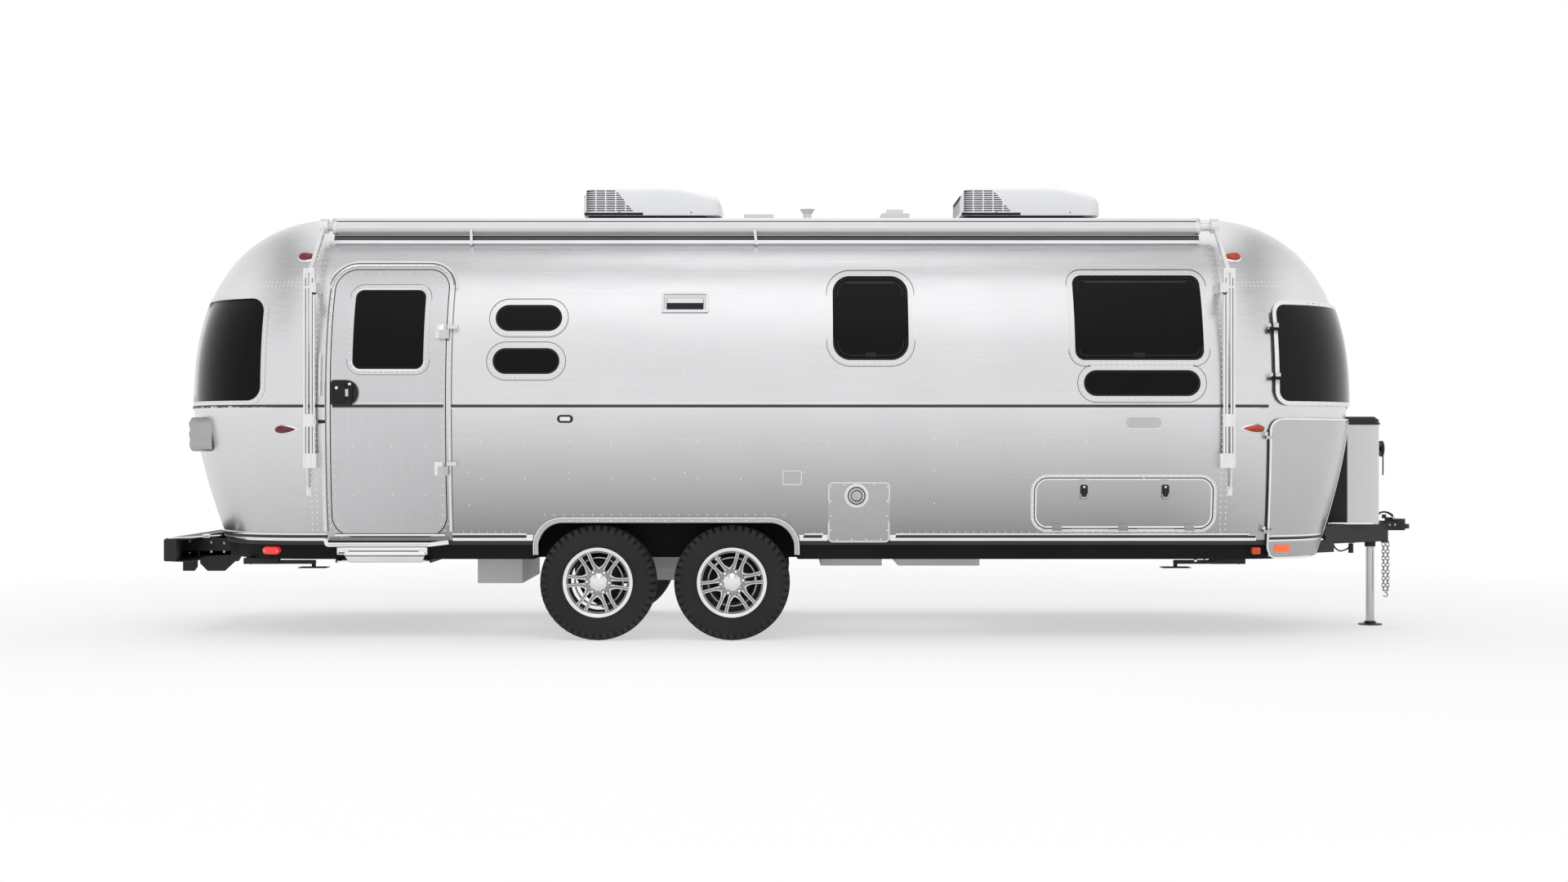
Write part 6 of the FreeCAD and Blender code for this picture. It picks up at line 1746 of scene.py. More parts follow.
@dataclass(frozen=True)
class CornerPanel:
    """A panel wrapped round a front corner: rear edge x0, inner edge y0 off the middle."""

    side: float
    x0: float
    y0: float
    z0: float
    z1: float
    radius: float

    def lay(self, share: Array, z: Array, lift: Numbers) -> Array:
        """Points at shares of the way from the rear edge to the inner edge, off the skin."""
        share, z = np.broadcast_arrays(np.asarray(share, float), np.asarray(z, float))
        power = SHELL.corner_power
        turn = np.radians(np.linspace(0, 90, 181))[None]
        c, s = np.sin(turn), np.cos(turn)
        size = (c ** power + s ** power) ** (-1 / power)
        reach, width = SHELL.reach(z, 1.0)[:, None], SHELL.width(z)[:, None]
        ahead, out = reach * size * c, width * size * s
        gaps = np.hypot(np.diff(ahead, axis=1), np.diff(out, axis=1))
        arc = np.concatenate([np.zeros((len(z), 1)), np.cumsum(gaps, axis=1)], 1)
        flat = np.empty((len(z), 2))
        for k in range(len(z)):
            low = np.interp(self.x0 - SHELL.front, ahead[k], arc[k])
            high = np.interp(-self.y0, -out[k], arc[k])
            spot = low + share[k] * (high - low)
            flat[k] = np.interp(spot, arc[k], ahead[k]), np.interp(spot, arc[k], out[k])
        reach, width = reach[:, 0], width[:, 0]
        u, v = flat[:, 0] / reach, flat[:, 1] / width
        step = SHELL.STEP
        grow_reach = (SHELL.reach(z + step, 1.0) - SHELL.reach(z - step, 1.0)) / (2 * step)
        grow_width = (SHELL.width(z + step) - SHELL.width(z - step)) / (2 * step)
        normal = unit(np.stack([
            u ** (power - 1) / reach, self.side * v ** (power - 1) / width,
            -(u ** power * grow_reach / reach + v ** power * grow_width / width)], -1))
        point = np.stack([SHELL.front + flat[:, 0], self.side * flat[:, 1], z], -1)
        return point + np.broadcast_to(lift, z.shape)[:, None] * normal

    @property
    def length(self) -> float:
        """Way round the corner at mid-height."""
        middle = np.array([(self.z0 + self.z1) / 2])
        line = np.concatenate([self.lay(np.array([s]), middle, 0.0) for s in np.linspace(0, 1, 41)])
        return float(np.linalg.norm(np.diff(line, axis=0), axis=1).sum())

    def band(self, section: Pairs) -> Array:
        """Moulding round the panel's outline: each section point is (growth, lift)."""
        length, rings = self.length, []
        for grow, lift in section:
            ring = outline(length + 2 * grow, self.z1 - self.z0 + 2 * grow, self.radius + grow, 9)
            dense = np.concatenate([ring, ring[:1]])
            parts = [np.linspace(a, b, 12, endpoint=False) if np.linalg.norm(b - a) > 0.1
                     else a[None] for a, b in zip(dense[:-1], dense[1:])]
            flat = np.concatenate(parts)
            rings.append(self.lay(flat[:, 0] / length + 0.5,
                                  flat[:, 1] + (self.z0 + self.z1) / 2, lift))
        return np.stack(rings, 1)

    def belt(self, z0: float, z1: float, low: float, high: float) -> Array:
        """Level strip across the panel between two heights and two lifts."""
        share = np.linspace(0.012, 0.985, 60)
        soft = min(0.001, (z1 - z0) / 3)
        section = ((z0, low), (z0, high - soft), (z0 + soft, high), (z1 - soft, high),
                   (z1, high - soft), (z1, low))
        return np.stack([self.lay(share, np.full(60, z), lift) for z, lift in section], 1)


class Corners:
    """Borders of the front window guards, and edges and rails of the corner shields."""

    # A panel is (rear edge, inner edge, lower, upper, corner); a rail is (lower, upper, low
    # lift, high lift, finish).
    GUARD, SHIELD = (2.905, 0.560, 1.480, 2.135, 0.090), (2.872, 0.610, 0.520, 1.400, 0.080)
    SKIRT = (0.534, 0.622, 0.0192, 0.0212)
    TAB_X, STRIPS = 2.921, ((2.861, 0.700, 1.330, 0.007), (2.893, 1.560, 2.060, 0.006))
    GUARD_BORDER = ((0.0008, 0.0112), (0.0008, 0.0212), (-0.0012, 0.0226), (-0.0250, 0.0226),
                    (-0.0262, 0.0214), (-0.0262, 0.0192))
    SHIELD_EDGE = ((0.0008, 0.0112), (0.0008, 0.0212), (-0.0016, 0.0228), (-0.0084, 0.0228),
                   (-0.0100, 0.0212), (-0.0100, 0.0192))
    RAIL = ((0.631, 0.641, 0.0195, 0.0240, 0), (0.641, 0.655, 0.0195, 0.0216, 1),
            (0.655, 0.659, 0.0195, 0.0222, 2), (0.659, 0.669, 0.0195, 0.0240, 0))
    TABS = (1.66, 1.97)

    def build(self) -> None:
        """Makes the borders and the dark strips behind the rear edges: a gasket band and painted shadow of the edges
        that stand off the skin.
        """
        strips = Piece("corner_gasket_and_shadow_strips")
        for name, side in SIDES.items():
            panel = CornerPanel(side, *self.GUARD)
            border = Piece(f"guard_border_{name}", f"window_guard_{name}")
            border.loft(panel.band(self.GUARD_BORDER), closed=True)
            for z in self.TABS:
                tab = slab(0.034, 0.046, 0.006, 0.020, 0.0262, 0.002)
                border.lay(tab, self.TAB_X, z, side, 1)
            border.make(GUARD_WHITE, FRAME_METAL)
            panel = CornerPanel(side, *self.SHIELD)
            edge = Piece(f"shield_trim_{name}", f"corner_shield_{name}")
            edge.loft(panel.band(self.SHIELD_EDGE), closed=True)
            for z0, z1, low, high, slot in self.RAIL:
                edge.loft(panel.belt(z0, z1, low, high), slot=slot)
            edge.loft(panel.belt(*self.SKIRT), slot=3)
            edge.make(BRIGHT, DARK_LINE, GREY_LINE, SKIRT_GREY)
            # Dark strips behind the rear edges: gasket band and painted shadow.
            for x, z0, z1, width in self.STRIPS:
                strips.strip(straight(x, z0, x, z1), (width, -0.001, 0.0030), side)
        strips.make(GREY_RUBBER_AND_SHADE)


class Awning:
    """Rolled awning: roller with bands of painted shade, rail on the wall with painted shadow under the roll, clips
    and the arms' fittings.
    """

    X0, X1 = -3.067, 2.520
    Y, Z = -0.845, 2.640
    # A band of the cover is (degrees round the roll, radius, finish).
    # Finishes 1 and 2 are painted shade: grey at the lower lips and the groove's edges, black in the groove.
    BANDS = ((-90, 0.0545, 1), (-78, 0.0545, 0), (-52, 0.0549, 0), (-50, 0.0549, 1),
             (-46, 0.0535, 1), (-42, 0.0538, 0), (-18, 0.0549, 0), (18, 0.0549, 0),
             (26, 0.0542, 1), (29, 0.0520, 2), (33, 0.0520, 2), (35, 0.0545, 0), (60, 0.0549, 0),
             (90, 0.0549, 0), (130, 0.0549, 0), (180, 0.0549, 0), (220, 0.0549, 1))
    PAIRS = ((-3.131, -3.090), (2.584, 2.628))
    ARM_FRONT = -1.351
    # A rail is (near, far, lower, upper, edge), the clip's outline is (y, z), and a joint is
    # (lower, upper, half width).
    END_CAP = ((0.004, 0.0), (0.046, 0.0), (0.0535, 0.004), (0.0548, 0.010), (0.0548, 0.030),
               (0.048, 0.032), (0.004, 0.032))
    # The first rail is the bright extrusion; the second (grey) and third (black) are painted shadow in the gap under
    # the roll.
    RAIL_AND_SHADOW_BARS = ((-0.886, -0.820, 2.526, 2.549, 0.004), (-0.872, -0.790, 2.548, 2.570, 0.003),
             (-0.862, -0.780, 2.569, 2.5815, 0.002))
    CLIP = ((-0.8995, 2.618), (-0.901, 2.600), (-0.896, 2.584), (-0.891, 2.566), (-0.891, 2.520),
            (-0.886, 2.518), (-0.884, 2.562), (-0.886, 2.582), (-0.892, 2.598), (-0.893, 2.616))
    CLIPS = ((-2.170, 0.0), (-0.349, 0.012))
    KNOB, KNOB_Z = ((0.004, 0.004), (0.013, 0.004), (0.015, 0.0), (0.0145, -0.0035),
                    (0.010, -0.0052), (0.004, -0.0054)), 2.180
    JOINTS = ((2.300, 2.332, 0.034), (2.205, 2.222, 0.030), (1.345, 1.425, 0.026),
              (1.105, 1.160, 0.026))
    HOOKS = (1.374, 1.140)
    SLOT, SLOT_HALF = (1.16, 2.27), 0.0025
    EDGE, EDGE_HALF, EDGE_OFFSET = (1.11, 2.32), 0.002, 0.0125
    RIVET_X, RIVET_PITCH = 0.0075, 0.048
    FOOT = (((0.034, 0.062, 0.004, -0.001, 0.0060, 0.002), 0.945, 3),
            ((0.018, 0.026, 0.003, 0.004, 0.0260, 0.002), 0.952, 0))

    def roller(self) -> None:
        """Aluminium cover of the roll with its lip and grooves, grey and black bands of painted shade on them, and its
        two end caps.
        """
        piece = Piece("awning_case")
        angle = np.radians([b[0] for b in self.BANDS])
        radius = np.array([b[1] for b in self.BANDS])
        slots = np.array([b[2] for b in self.BANDS])
        y, z = self.Y - radius * np.cos(angle), self.Z + radius * np.sin(angle)
        rings = np.stack([np.column_stack([np.full(len(y), x), y, z])
                          for x in np.linspace(self.X0 + 0.012, self.X1 - 0.012, 12)])
        piece.loft(rings, slot=slots)
        for x, way in ((self.X0, 1.0), (self.X1, -1.0)):
            piece.turn(np.array(self.END_CAP) * np.array([1.0, way]), (x, self.Y, self.Z), 0, 40, 3)
        piece.make(ROLL_METAL, ROLL_SHADE, DARK_LINE, CAST, replaces=["awning_roller"], smooth=25.0)

    def rail(self) -> None:
        """Rail on the wall under the roll, grey and black bars of painted shadow in the gap between them, and the
        clips.
        """
        piece = Piece("awning_rail_and_painted_shadow")
        x0, x1 = self.X0 + 0.012, self.X1 - 0.008
        # Bright rail, then the grey and black bars of painted shadow.
        for slot, bar in enumerate(self.RAIL_AND_SHADOW_BARS):
            piece.block(x0, x1, *bar, slot)
        clip = np.array(self.CLIP)
        for x, lean in self.CLIPS:
            shift = x + lean * (2.62 - clip[:, 1]) / 0.1
            rings = np.stack([np.column_stack([dx + shift, clip])
                              for dx in (-0.0085, -0.007, 0.007, 0.0085)])
            piece.loft(rings, slot=3)
        piece.make(BRIGHT, GREY_RUBBER_AND_SHADE, DARK_LINE, CAST)

    def arms(self) -> None:
        """Fittings of both stowed pairs of arms."""
        piece = Piece("awning_arm_fittings")
        for left, right in self.PAIRS:
            self.edges(piece, left, right)
            self.joints(piece, left, right)
            self.foot(piece, left if right < 0 else right)
        piece.make(BRIGHT, DARK_LINE, BLACK_MOULD, CAST)

    def edges(self, piece: Piece, left: float, right: float) -> None:
        """Adds the slot and raised edges of each arm, and the rivets of the outer one."""
        front = self.ARM_FRONT
        for x in (left, right):
            piece.block(x - self.SLOT_HALF, x + self.SLOT_HALF, front - 0.0006, front + 0.004,
                        *self.SLOT, 0.0004, 1)
            for edge in (x - self.EDGE_OFFSET, x + self.EDGE_OFFSET):
                piece.block(edge - self.EDGE_HALF, edge + self.EDGE_HALF, front - 0.0022,
                            front + 0.004, *self.EDGE, 0.0006)
        z = np.arange(1.20, 2.28, self.RIVET_PITCH)
        origin = np.column_stack([np.full(len(z), right + self.RIVET_X), np.full(len(z), front), z])
        piece.loft(placed(dome(0.0026, 0.0014, 0.001, 8), origin, outwards(CURB, len(z))))

    def joints(self, piece: Piece, left: float, right: float) -> None:
        """Adds the knob, the joints and the open hooks of a pair."""
        front, mid = self.ARM_FRONT, (left + right) / 2
        spot = right + 0.012 if right < 0 else left - 0.006
        piece.turn(self.KNOB, (spot, front, self.KNOB_Z), 1, 24, 2)
        for z0, z1, wide in self.JOINTS:
            piece.block(mid - wide, mid + wide, front - 0.0040, front + 0.010, z0, z1, 0.003, 3)
        turn = np.radians(np.linspace(-60, 200, 16))
        for z in self.HOOKS:
            hook = np.column_stack([right + 0.006 + 0.017 * np.cos(turn),
                                    np.full(16, front - 0.0005), z + 0.020 * np.sin(turn)])
            piece.tube(hook, 0.0040, 8, (0, 1, 0), 3)

    def foot(self, piece: Piece, x: float) -> None:
        """Adds the rod and the bracket that hold a pair to the wall."""
        point, axes = SHELL.frame(x, np.linspace(0.940, 1.130, 12), CURB)
        rod = point + np.linspace(0.020, 0.050, 12)[:, None] * axes[:, 2]
        piece.tube(rod, 0.0062, 12, (0, 1, 0), 3)
        for plate_size, z, slot in self.FOOT:
            piece.lay(slab(*plate_size), x, z, CURB, slot)

    def build(self) -> None:
        """Builds the awning's pieces."""
        self.roller()
        self.rail()
        self.arms()


class Hitch:
    """Safety chains, gas cover lid and edges, the jack and the coupler's latch lever."""

    # A chain hangs on one strand or two, each (x, y, number of links).
    CHAINS = (((3.885, 0.104, 15),), ((3.925, -0.072, 14), (3.953, -0.072, 14)))
    TOP = 0.5747
    PITCH = 0.023
    JACK_X = 3.853
    LINK_ARC, LINK_HALF, WIRE, HOOK = 0.0105, 0.0040, 0.0035, 0.014
    COVER_HALF, LID_TIP, LID_CORNER = 0.330, 3.836, 0.060
    NOTCH_DEEP, NOTCH_WIDE = 3.798, 0.056
    # A level of the lid is (inset, notch, rear edge, height), a collar is (lower, upper,
    # radius), and the lever is (x, z, radius).
    LID = ((0.028, 0.006, 3.629, 1.411), (0.010, 0.006, 3.629, 1.396),
           (0.008, 0.006, 3.629, 1.3668), (-0.007, 0.0, 3.6226, 1.3668),
           (-0.008, 0.0, 3.6222, 1.369), (-0.008, 0.0, 3.6222, 1.378),
           (-0.006, 0.0, 3.6222, 1.380), (0.0, 0.0, 3.6222, 1.381), (0.0, 0.0, 3.6222, 1.397),
           (0.002, 0.0, 3.6222, 1.401), (0.024, 0.0, 3.6222, 1.417), (0.030, 0.0, 3.624, 1.4205))
    EAR, EARS = ((0.0052, 0.0), (0.0090, 0.0), (0.0090, 0.060), (0.0052, 0.060)), (-0.230, 0.170)
    # The second edge is painted shadow: a black plate on the cover's side where its rear stands open.
    EDGES = ((3.500, 3.780, 0.6995, 0.711), (3.4802, 3.6060, 0.712, 1.364),
             (3.6060, 3.6120, 0.711, 1.364))
    COLLARS = ((0.7055, 0.7160, 0.056), (0.716, 0.726, 0.043), (0.985, 0.993, 0.0395),
               (1.128, 1.160, 0.041))
    BORE, TUBE_RADIUS = 0.0288, 0.0370
    HEAD = ((0.003, 0.0), (0, 0.003), (0, 0.060), (0.003, 0.086), (0.012, 0.1020), (0.022, 0.1050))
    HEAD_SIZE, HEAD_SPOT = (0.094, 0.084, 0.018), (3.863, 0.0, 1.158)
    TUBE_LOW, TUBE_HIGH = 0.536, 1.160
    WHEEL_X, WHEEL_Z = 3.909, 1.2045
    HUB, HUB_RADIUS = (3.900, 3.9452), 0.0075
    ROD, ROD_RADIUS = ((3.9285, -0.046, 1.180), (3.9285, -0.046, 1.024)), 0.0048
    WHEEL = ((0.0035, 0.010), (0.020, 0.010), (0.024, 0.014), (0.046, 0.014), (0.053, 0.010),
             (0.055, 0.014), (0.055, 0.026), (0.052, 0.030), (0.046, 0.027), (0.024, 0.027),
             (0.020, 0.034), (0.0035, 0.036))
    LEG = ((0.0282, 0.010), (0.0285, 0.012), (0.0285, 0.7295), (0.0275, 0.730), (0.004, 0.730),
           (0.004, 0.010))
    PAD = ((0.004, 0.0), (0.078, 0.0), (0.081, 0.003), (0.081, 0.006), (0.077, 0.0085),
           (0.045, 0.0100), (0.040, 0.018), (0.034, 0.026), (0.0285, 0.028), (0.004, 0.028))
    LEVER = ((4.010, 0.742, 0.0085), (3.995, 0.756, 0.0080), (3.972, 0.768, 0.0070),
             (3.948, 0.772, 0.0060), (3.926, 0.768, 0.0065), (3.912, 0.758, 0.0075))
    PIN_X, PIN_Z, PIN_Y = 4.002, 0.728, 0.046
    BOLTS, BOLT_Y, BOLT_Z = (3.975, 4.012), 0.042, 0.686

    def link(self, crosswise: bool) -> Array:
        """One link of round wire: two straight legs and two half circles, upright."""
        turn = np.radians(np.linspace(0, 180, 9))
        high = np.column_stack([self.LINK_ARC * np.cos(turn),
                                self.LINK_HALF + self.LINK_ARC * np.sin(turn)])
        flat = np.concatenate([high, -high])
        path = np.column_stack([flat[:, 0], np.zeros(len(flat)), flat[:, 1]])
        if not crosswise:
            path = path[:, [1, 0, 2]]
        run = unit(np.roll(path, -1, axis=0) - np.roll(path, 1, axis=0))
        side = unit(np.cross(run, np.cross(path[0] - path[9], path[4] - path[13])))
        over = np.cross(side, run)
        angle = np.linspace(0, FULL_TURN, 8, endpoint=False)[None, :, None]
        ring = side[:, None] * np.cos(angle) + over[:, None] * np.sin(angle)
        return path[:, None] + self.WIRE * ring

    def chains(self) -> None:
        """Two hanging chains, each from a plate under the hitch down to its hook."""
        piece = Piece("safety_chains")
        for strands in self.CHAINS:
            xs = [x for x, _, _ in strands]
            y, count = strands[0][1], strands[0][2]
            piece.block(min(xs) - 0.016, min(max(xs) + 0.016, 3.960), y - 0.016, y + 0.016,
                        self.TOP - 0.008, self.TOP, 0.002, 1)
            top = self.TOP - 0.024
            for x in xs:
                for k in range(count):
                    spot = np.array([x, y, top - k * self.PITCH])
                    piece.loft(self.link(k % 2 == 0) + spot, closed=True)
            low = top - (count - 1) * self.PITCH - 0.014
            if len(strands) > 1:
                piece.tube([(min(xs) - 0.005, y, low), (max(xs) + 0.005, y, low)], 0.0045, 10,
                           (0, 1, 0))
            self.hook(piece, sum(xs) / len(xs), y, low)
        piece.make(CHAIN, PAINT_BLACK)

    def hook(self, piece: Piece, x: float, y: float, z: float) -> None:
        """Adds the open hook under a chain's lowest link."""
        turn = np.radians(np.linspace(90, -170, 16))
        curve = np.column_stack([x + self.HOOK * np.cos(turn), np.full(16, y),
                                 z - 0.027 + self.HOOK * np.sin(turn)])
        shank = np.array([(x, y, z + 0.002), (x + 0.001, y, z - 0.008)])
        size = np.concatenate([[0.0045, 0.005], np.linspace(0.0055, 0.0032, 16)])
        piece.tube(np.concatenate([shank, curve]), size, 10, (0, 1, 0))

    def lid_ring(self, inset: float, notch: float, rear: float, z: float) -> Array:
        """Outline of the lid at one height, round the notch for the jack."""
        half, tip = self.COVER_HALF - inset, self.LID_TIP - inset
        radius = max(self.LID_CORNER - inset, 0.012)
        turn = np.radians(np.linspace(0, 90, 8))
        arc = np.column_stack([tip - radius + radius * np.sin(turn),
                               half - radius + radius * np.cos(turn)])
        deep, wide = self.NOTCH_DEEP - notch, self.NOTCH_WIDE + notch
        right = np.concatenate([[(rear, half)], arc, [(tip, wide + 0.004), (tip - 0.003, wide),
                                                      (deep + 0.006, wide), (deep, wide - 0.006)]])
        return raised(np.concatenate([right, right[::-1] * np.array([1.0, -1.0])]), z)

    def lid(self) -> None:
        """Hollow lid with a wide rim, an upright brow and a crown that draws in."""
        piece = Piece("gas_lid_moulding", "gas_cover_lid")
        piece.loft(np.stack([self.lid_ring(*level) for level in self.LID]))
        for y in self.EARS:
            piece.turn(self.EAR, (3.617, y, 1.414), 1, 20)
        piece.make(BLACK_MOULD, replaces=["gas_cover_lid"], smooth=30.0)

    def cover(self) -> None:
        """Lower lip of the gas cover, a black plate of painted shadow where its rear stands open, and the edge
        between.
        """
        piece = Piece("gas_cover_edges")
        for side in BOTH:
            y0, y1 = spread(side, self.COVER_HALF - 0.004, self.COVER_HALF + 0.0022)
            for slot, (x0, x1, z0, z1) in enumerate(self.EDGES):
                piece.block(x0, x1, y0, y1, z0, z1, 0.001, slot)
        piece.make(BRIGHT, GASKET_AND_SHADE, GREY_LINE)

    def jack(self) -> None:
        """Jack tube with its collar, housing, hand wheel and key rod."""
        piece = Piece("jack_housing")
        stand = (self.JACK_X, 0.0, 0.0)
        piece.turn(((self.BORE, self.TUBE_LOW), (self.TUBE_RADIUS, self.TUBE_LOW),
                    (self.TUBE_RADIUS, self.TUBE_HIGH), (self.BORE, self.TUBE_HIGH)), stand, 2, 40)
        for z0, z1, r in self.COLLARS:
            piece.turn(((self.BORE, z0), (r - 0.001, z0), (r, z0 + 0.001), (r, z1 - 0.002),
                        (r - 0.002, z1), (self.BORE, z1)), stand, 2, 40)
        piece.loft(plate(*self.HEAD_SIZE, self.HEAD, 6) + np.array(self.HEAD_SPOT))
        piece.turn(self.WHEEL, (self.WHEEL_X, 0.0, self.WHEEL_Z), 0, 40, 1)
        piece.tube([(x, 0.0, self.WHEEL_Z) for x in self.HUB], self.HUB_RADIUS, 16)
        piece.tube(self.ROD, self.ROD_RADIUS, 12, (0, 1, 0), 1)
        piece.make(PAINT_BLACK, BLACK_MOULD, replaces=["jack_tube"])

    def foot(self) -> None:
        """Polished jack leg on its round black foot."""
        piece = Piece("jack_leg_and_foot", "jack_leg")
        piece.turn(self.LEG, (self.JACK_X, 0.0, 0.0), 2, 40)
        piece.turn(self.PAD, (self.JACK_X, 0.0, 0.0), 2, 48, 1)
        piece.make(LEG_STEEL, PAINT_BLACK, replaces=["jack_leg"])

    def latch(self) -> None:
        """Curved latch lever on the coupler, its pin and bolts."""
        piece = Piece("coupler_latch")
        lever = np.array(self.LEVER)
        path = np.column_stack([lever[:, 0], np.zeros(len(lever)), lever[:, 1]])
        piece.tube(path, lever[:, 2], 12, (0, 1, 0))
        piece.tube([(self.PIN_X, -self.PIN_Y, self.PIN_Z), (self.PIN_X, self.PIN_Y, self.PIN_Z)],
                   0.0055, 12, (0, 0, 1), 1)
        head = dome(0.010, 0.006, 0.002, 6)
        for x in self.BOLTS:
            for side in BOTH:
                origin = np.array([(x, side * self.BOLT_Y, self.BOLT_Z)])
                piece.loft(placed(head, origin, outwards(side, 1)), slot=1)
        piece.make(PAINT_BLACK, GALVANISED)

    def build(self) -> None:
        """Builds the hitch's pieces."""
        self.chains()
        self.lid()
        self.cover()
        self.jack()
        self.foot()
        self.latch()


class TowLead:
    """Short tow lead that hangs under the curb side hitch rail, parked in its socket."""

    # ROUTE holds the curve's control points; a sleeve is (way along its leg, radius).
    ROUTE = ((3.5000, -0.39535, 0.5600), (3.53543, -0.36729, 0.52207),
             (3.58247, -0.33004, 0.52207), (3.62715, -0.29465, 0.53734))
    DIAMETER = 0.010
    LENGTH = 0.168
    SOCKET = (3.6475, -0.2785)
    RELIEF = ((-0.027, 0.0090), (-0.004, 0.0090), (0.0, 0.0082), (0.006, 0.0076), (0.008, 0.0068),
              (0.013, 0.0068), (0.015, 0.0062), (0.020, 0.0060), (0.024, 0.0054))
    PLUG_LOW = ((0.003, 0.522), (0.0125, 0.522), (0.0135, 0.506), (0.0170, 0.506))
    PLUG_HIGH = ((0.0170, 0.564), (0.0110, 0.567), (0.0110, 0.5745), (0.003, 0.5745))
    GROOVE = ((0.0170, 0.0), (0.0158, 0.001), (0.0158, 0.003), (0.0170, 0.004))
    GROOVES, GROOVE_LOW, GROOVE_PITCH = 5, 0.524, 0.007
    CLIP_HALF, CLIP_Z = (0.022, 0.020), (0.5705, 0.5747)
    NECK = ((-0.012, 0.0058), (-0.002, 0.0066), (0.0, 0.0088), (0.020, 0.0088))

    def lead(self) -> bpy.types.Object:
        """The lead itself: one open curve through its gland and its plug."""
        data = bpy.data.curves.new("tow_cable", "CURVE")
        data.dimensions = "3D"
        data.bevel_depth = self.DIAMETER / 2
        data.bevel_resolution = 4
        data.resolution_u = 24
        data.use_fill_caps = True
        spline = data.splines.new("NURBS")
        spline.points.add(len(self.ROUTE) - 1)
        for point, place in zip(spline.points, self.ROUTE):
            point.co = (*place, 1.0)
        spline.order_u = 3
        spline.use_endpoint_u = True
        made = bpy.data.objects.new("tow_cable", data)
        bpy.context.scene.collection.objects.link(made)
        data.materials.append(RUBBER.material())
        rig.ride(made, BODY)
        return made

    @staticmethod
    def sleeve(piece: Piece, start: Sequence[float], stop: Sequence[float],
               origin: Sequence[float], steps: Pairs) -> None:
        """Adds a round sleeve along one leg of the route.

        Args:
            piece: Piece that takes the sleeve.
            start: Where the leg starts.
            stop: Where the leg ends.
            origin: The point that the steps count from.
            steps: Points as (way along the leg, radius).
        """
        way, radius = np.array(steps).T
        run = unit(np.subtract(stop, start))
        piece.tube(np.array(origin) + way[:, None] * run, radius, 16, (0, 1, 0))

    def relief(self) -> bpy.types.Object:
        """Gland under the rail with its tapered strain relief."""
        piece = Piece("tow_gland")
        self.sleeve(piece, self.ROUTE[0], self.ROUTE[1], self.ROUTE[0], self.RELIEF)
        return piece.make(BLACK_MOULD)

    def plug(self) -> bpy.types.Object:
        """Round plug with a ribbed grip, held in its parking clip under the rail."""
        x, y = self.SOCKET
        piece = Piece("tow_plug")
        grip = [(radius, self.GROOVE_LOW + self.GROOVE_PITCH * k + up)
                for k in range(self.GROOVES) for radius, up in self.GROOVE]
        piece.turn([*self.PLUG_LOW, *grip, *self.PLUG_HIGH], (x, y, 0.0), 2, 28)
        half, deep = self.CLIP_HALF
        piece.block(x - half, x + half, y - deep, y + deep, *self.CLIP_Z, 0.001, 1)
        self.sleeve(piece, self.ROUTE[-2], self.ROUTE[-1], self.ROUTE[-1], self.NECK)
        return piece.make(BLACK_MOULD, GALVANISED)

    def build(self) -> None:
        """Makes the lead with its relief and plug, and says what it is."""
        lead = self.lead()
        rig.cord(lead, exit=self.ROUTE[0], length=self.LENGTH, diameter=self.DIAMETER,
                far_end="plug", stiffness="medium", lay="hanging",
                with_pieces=[self.relief(), self.plug()])


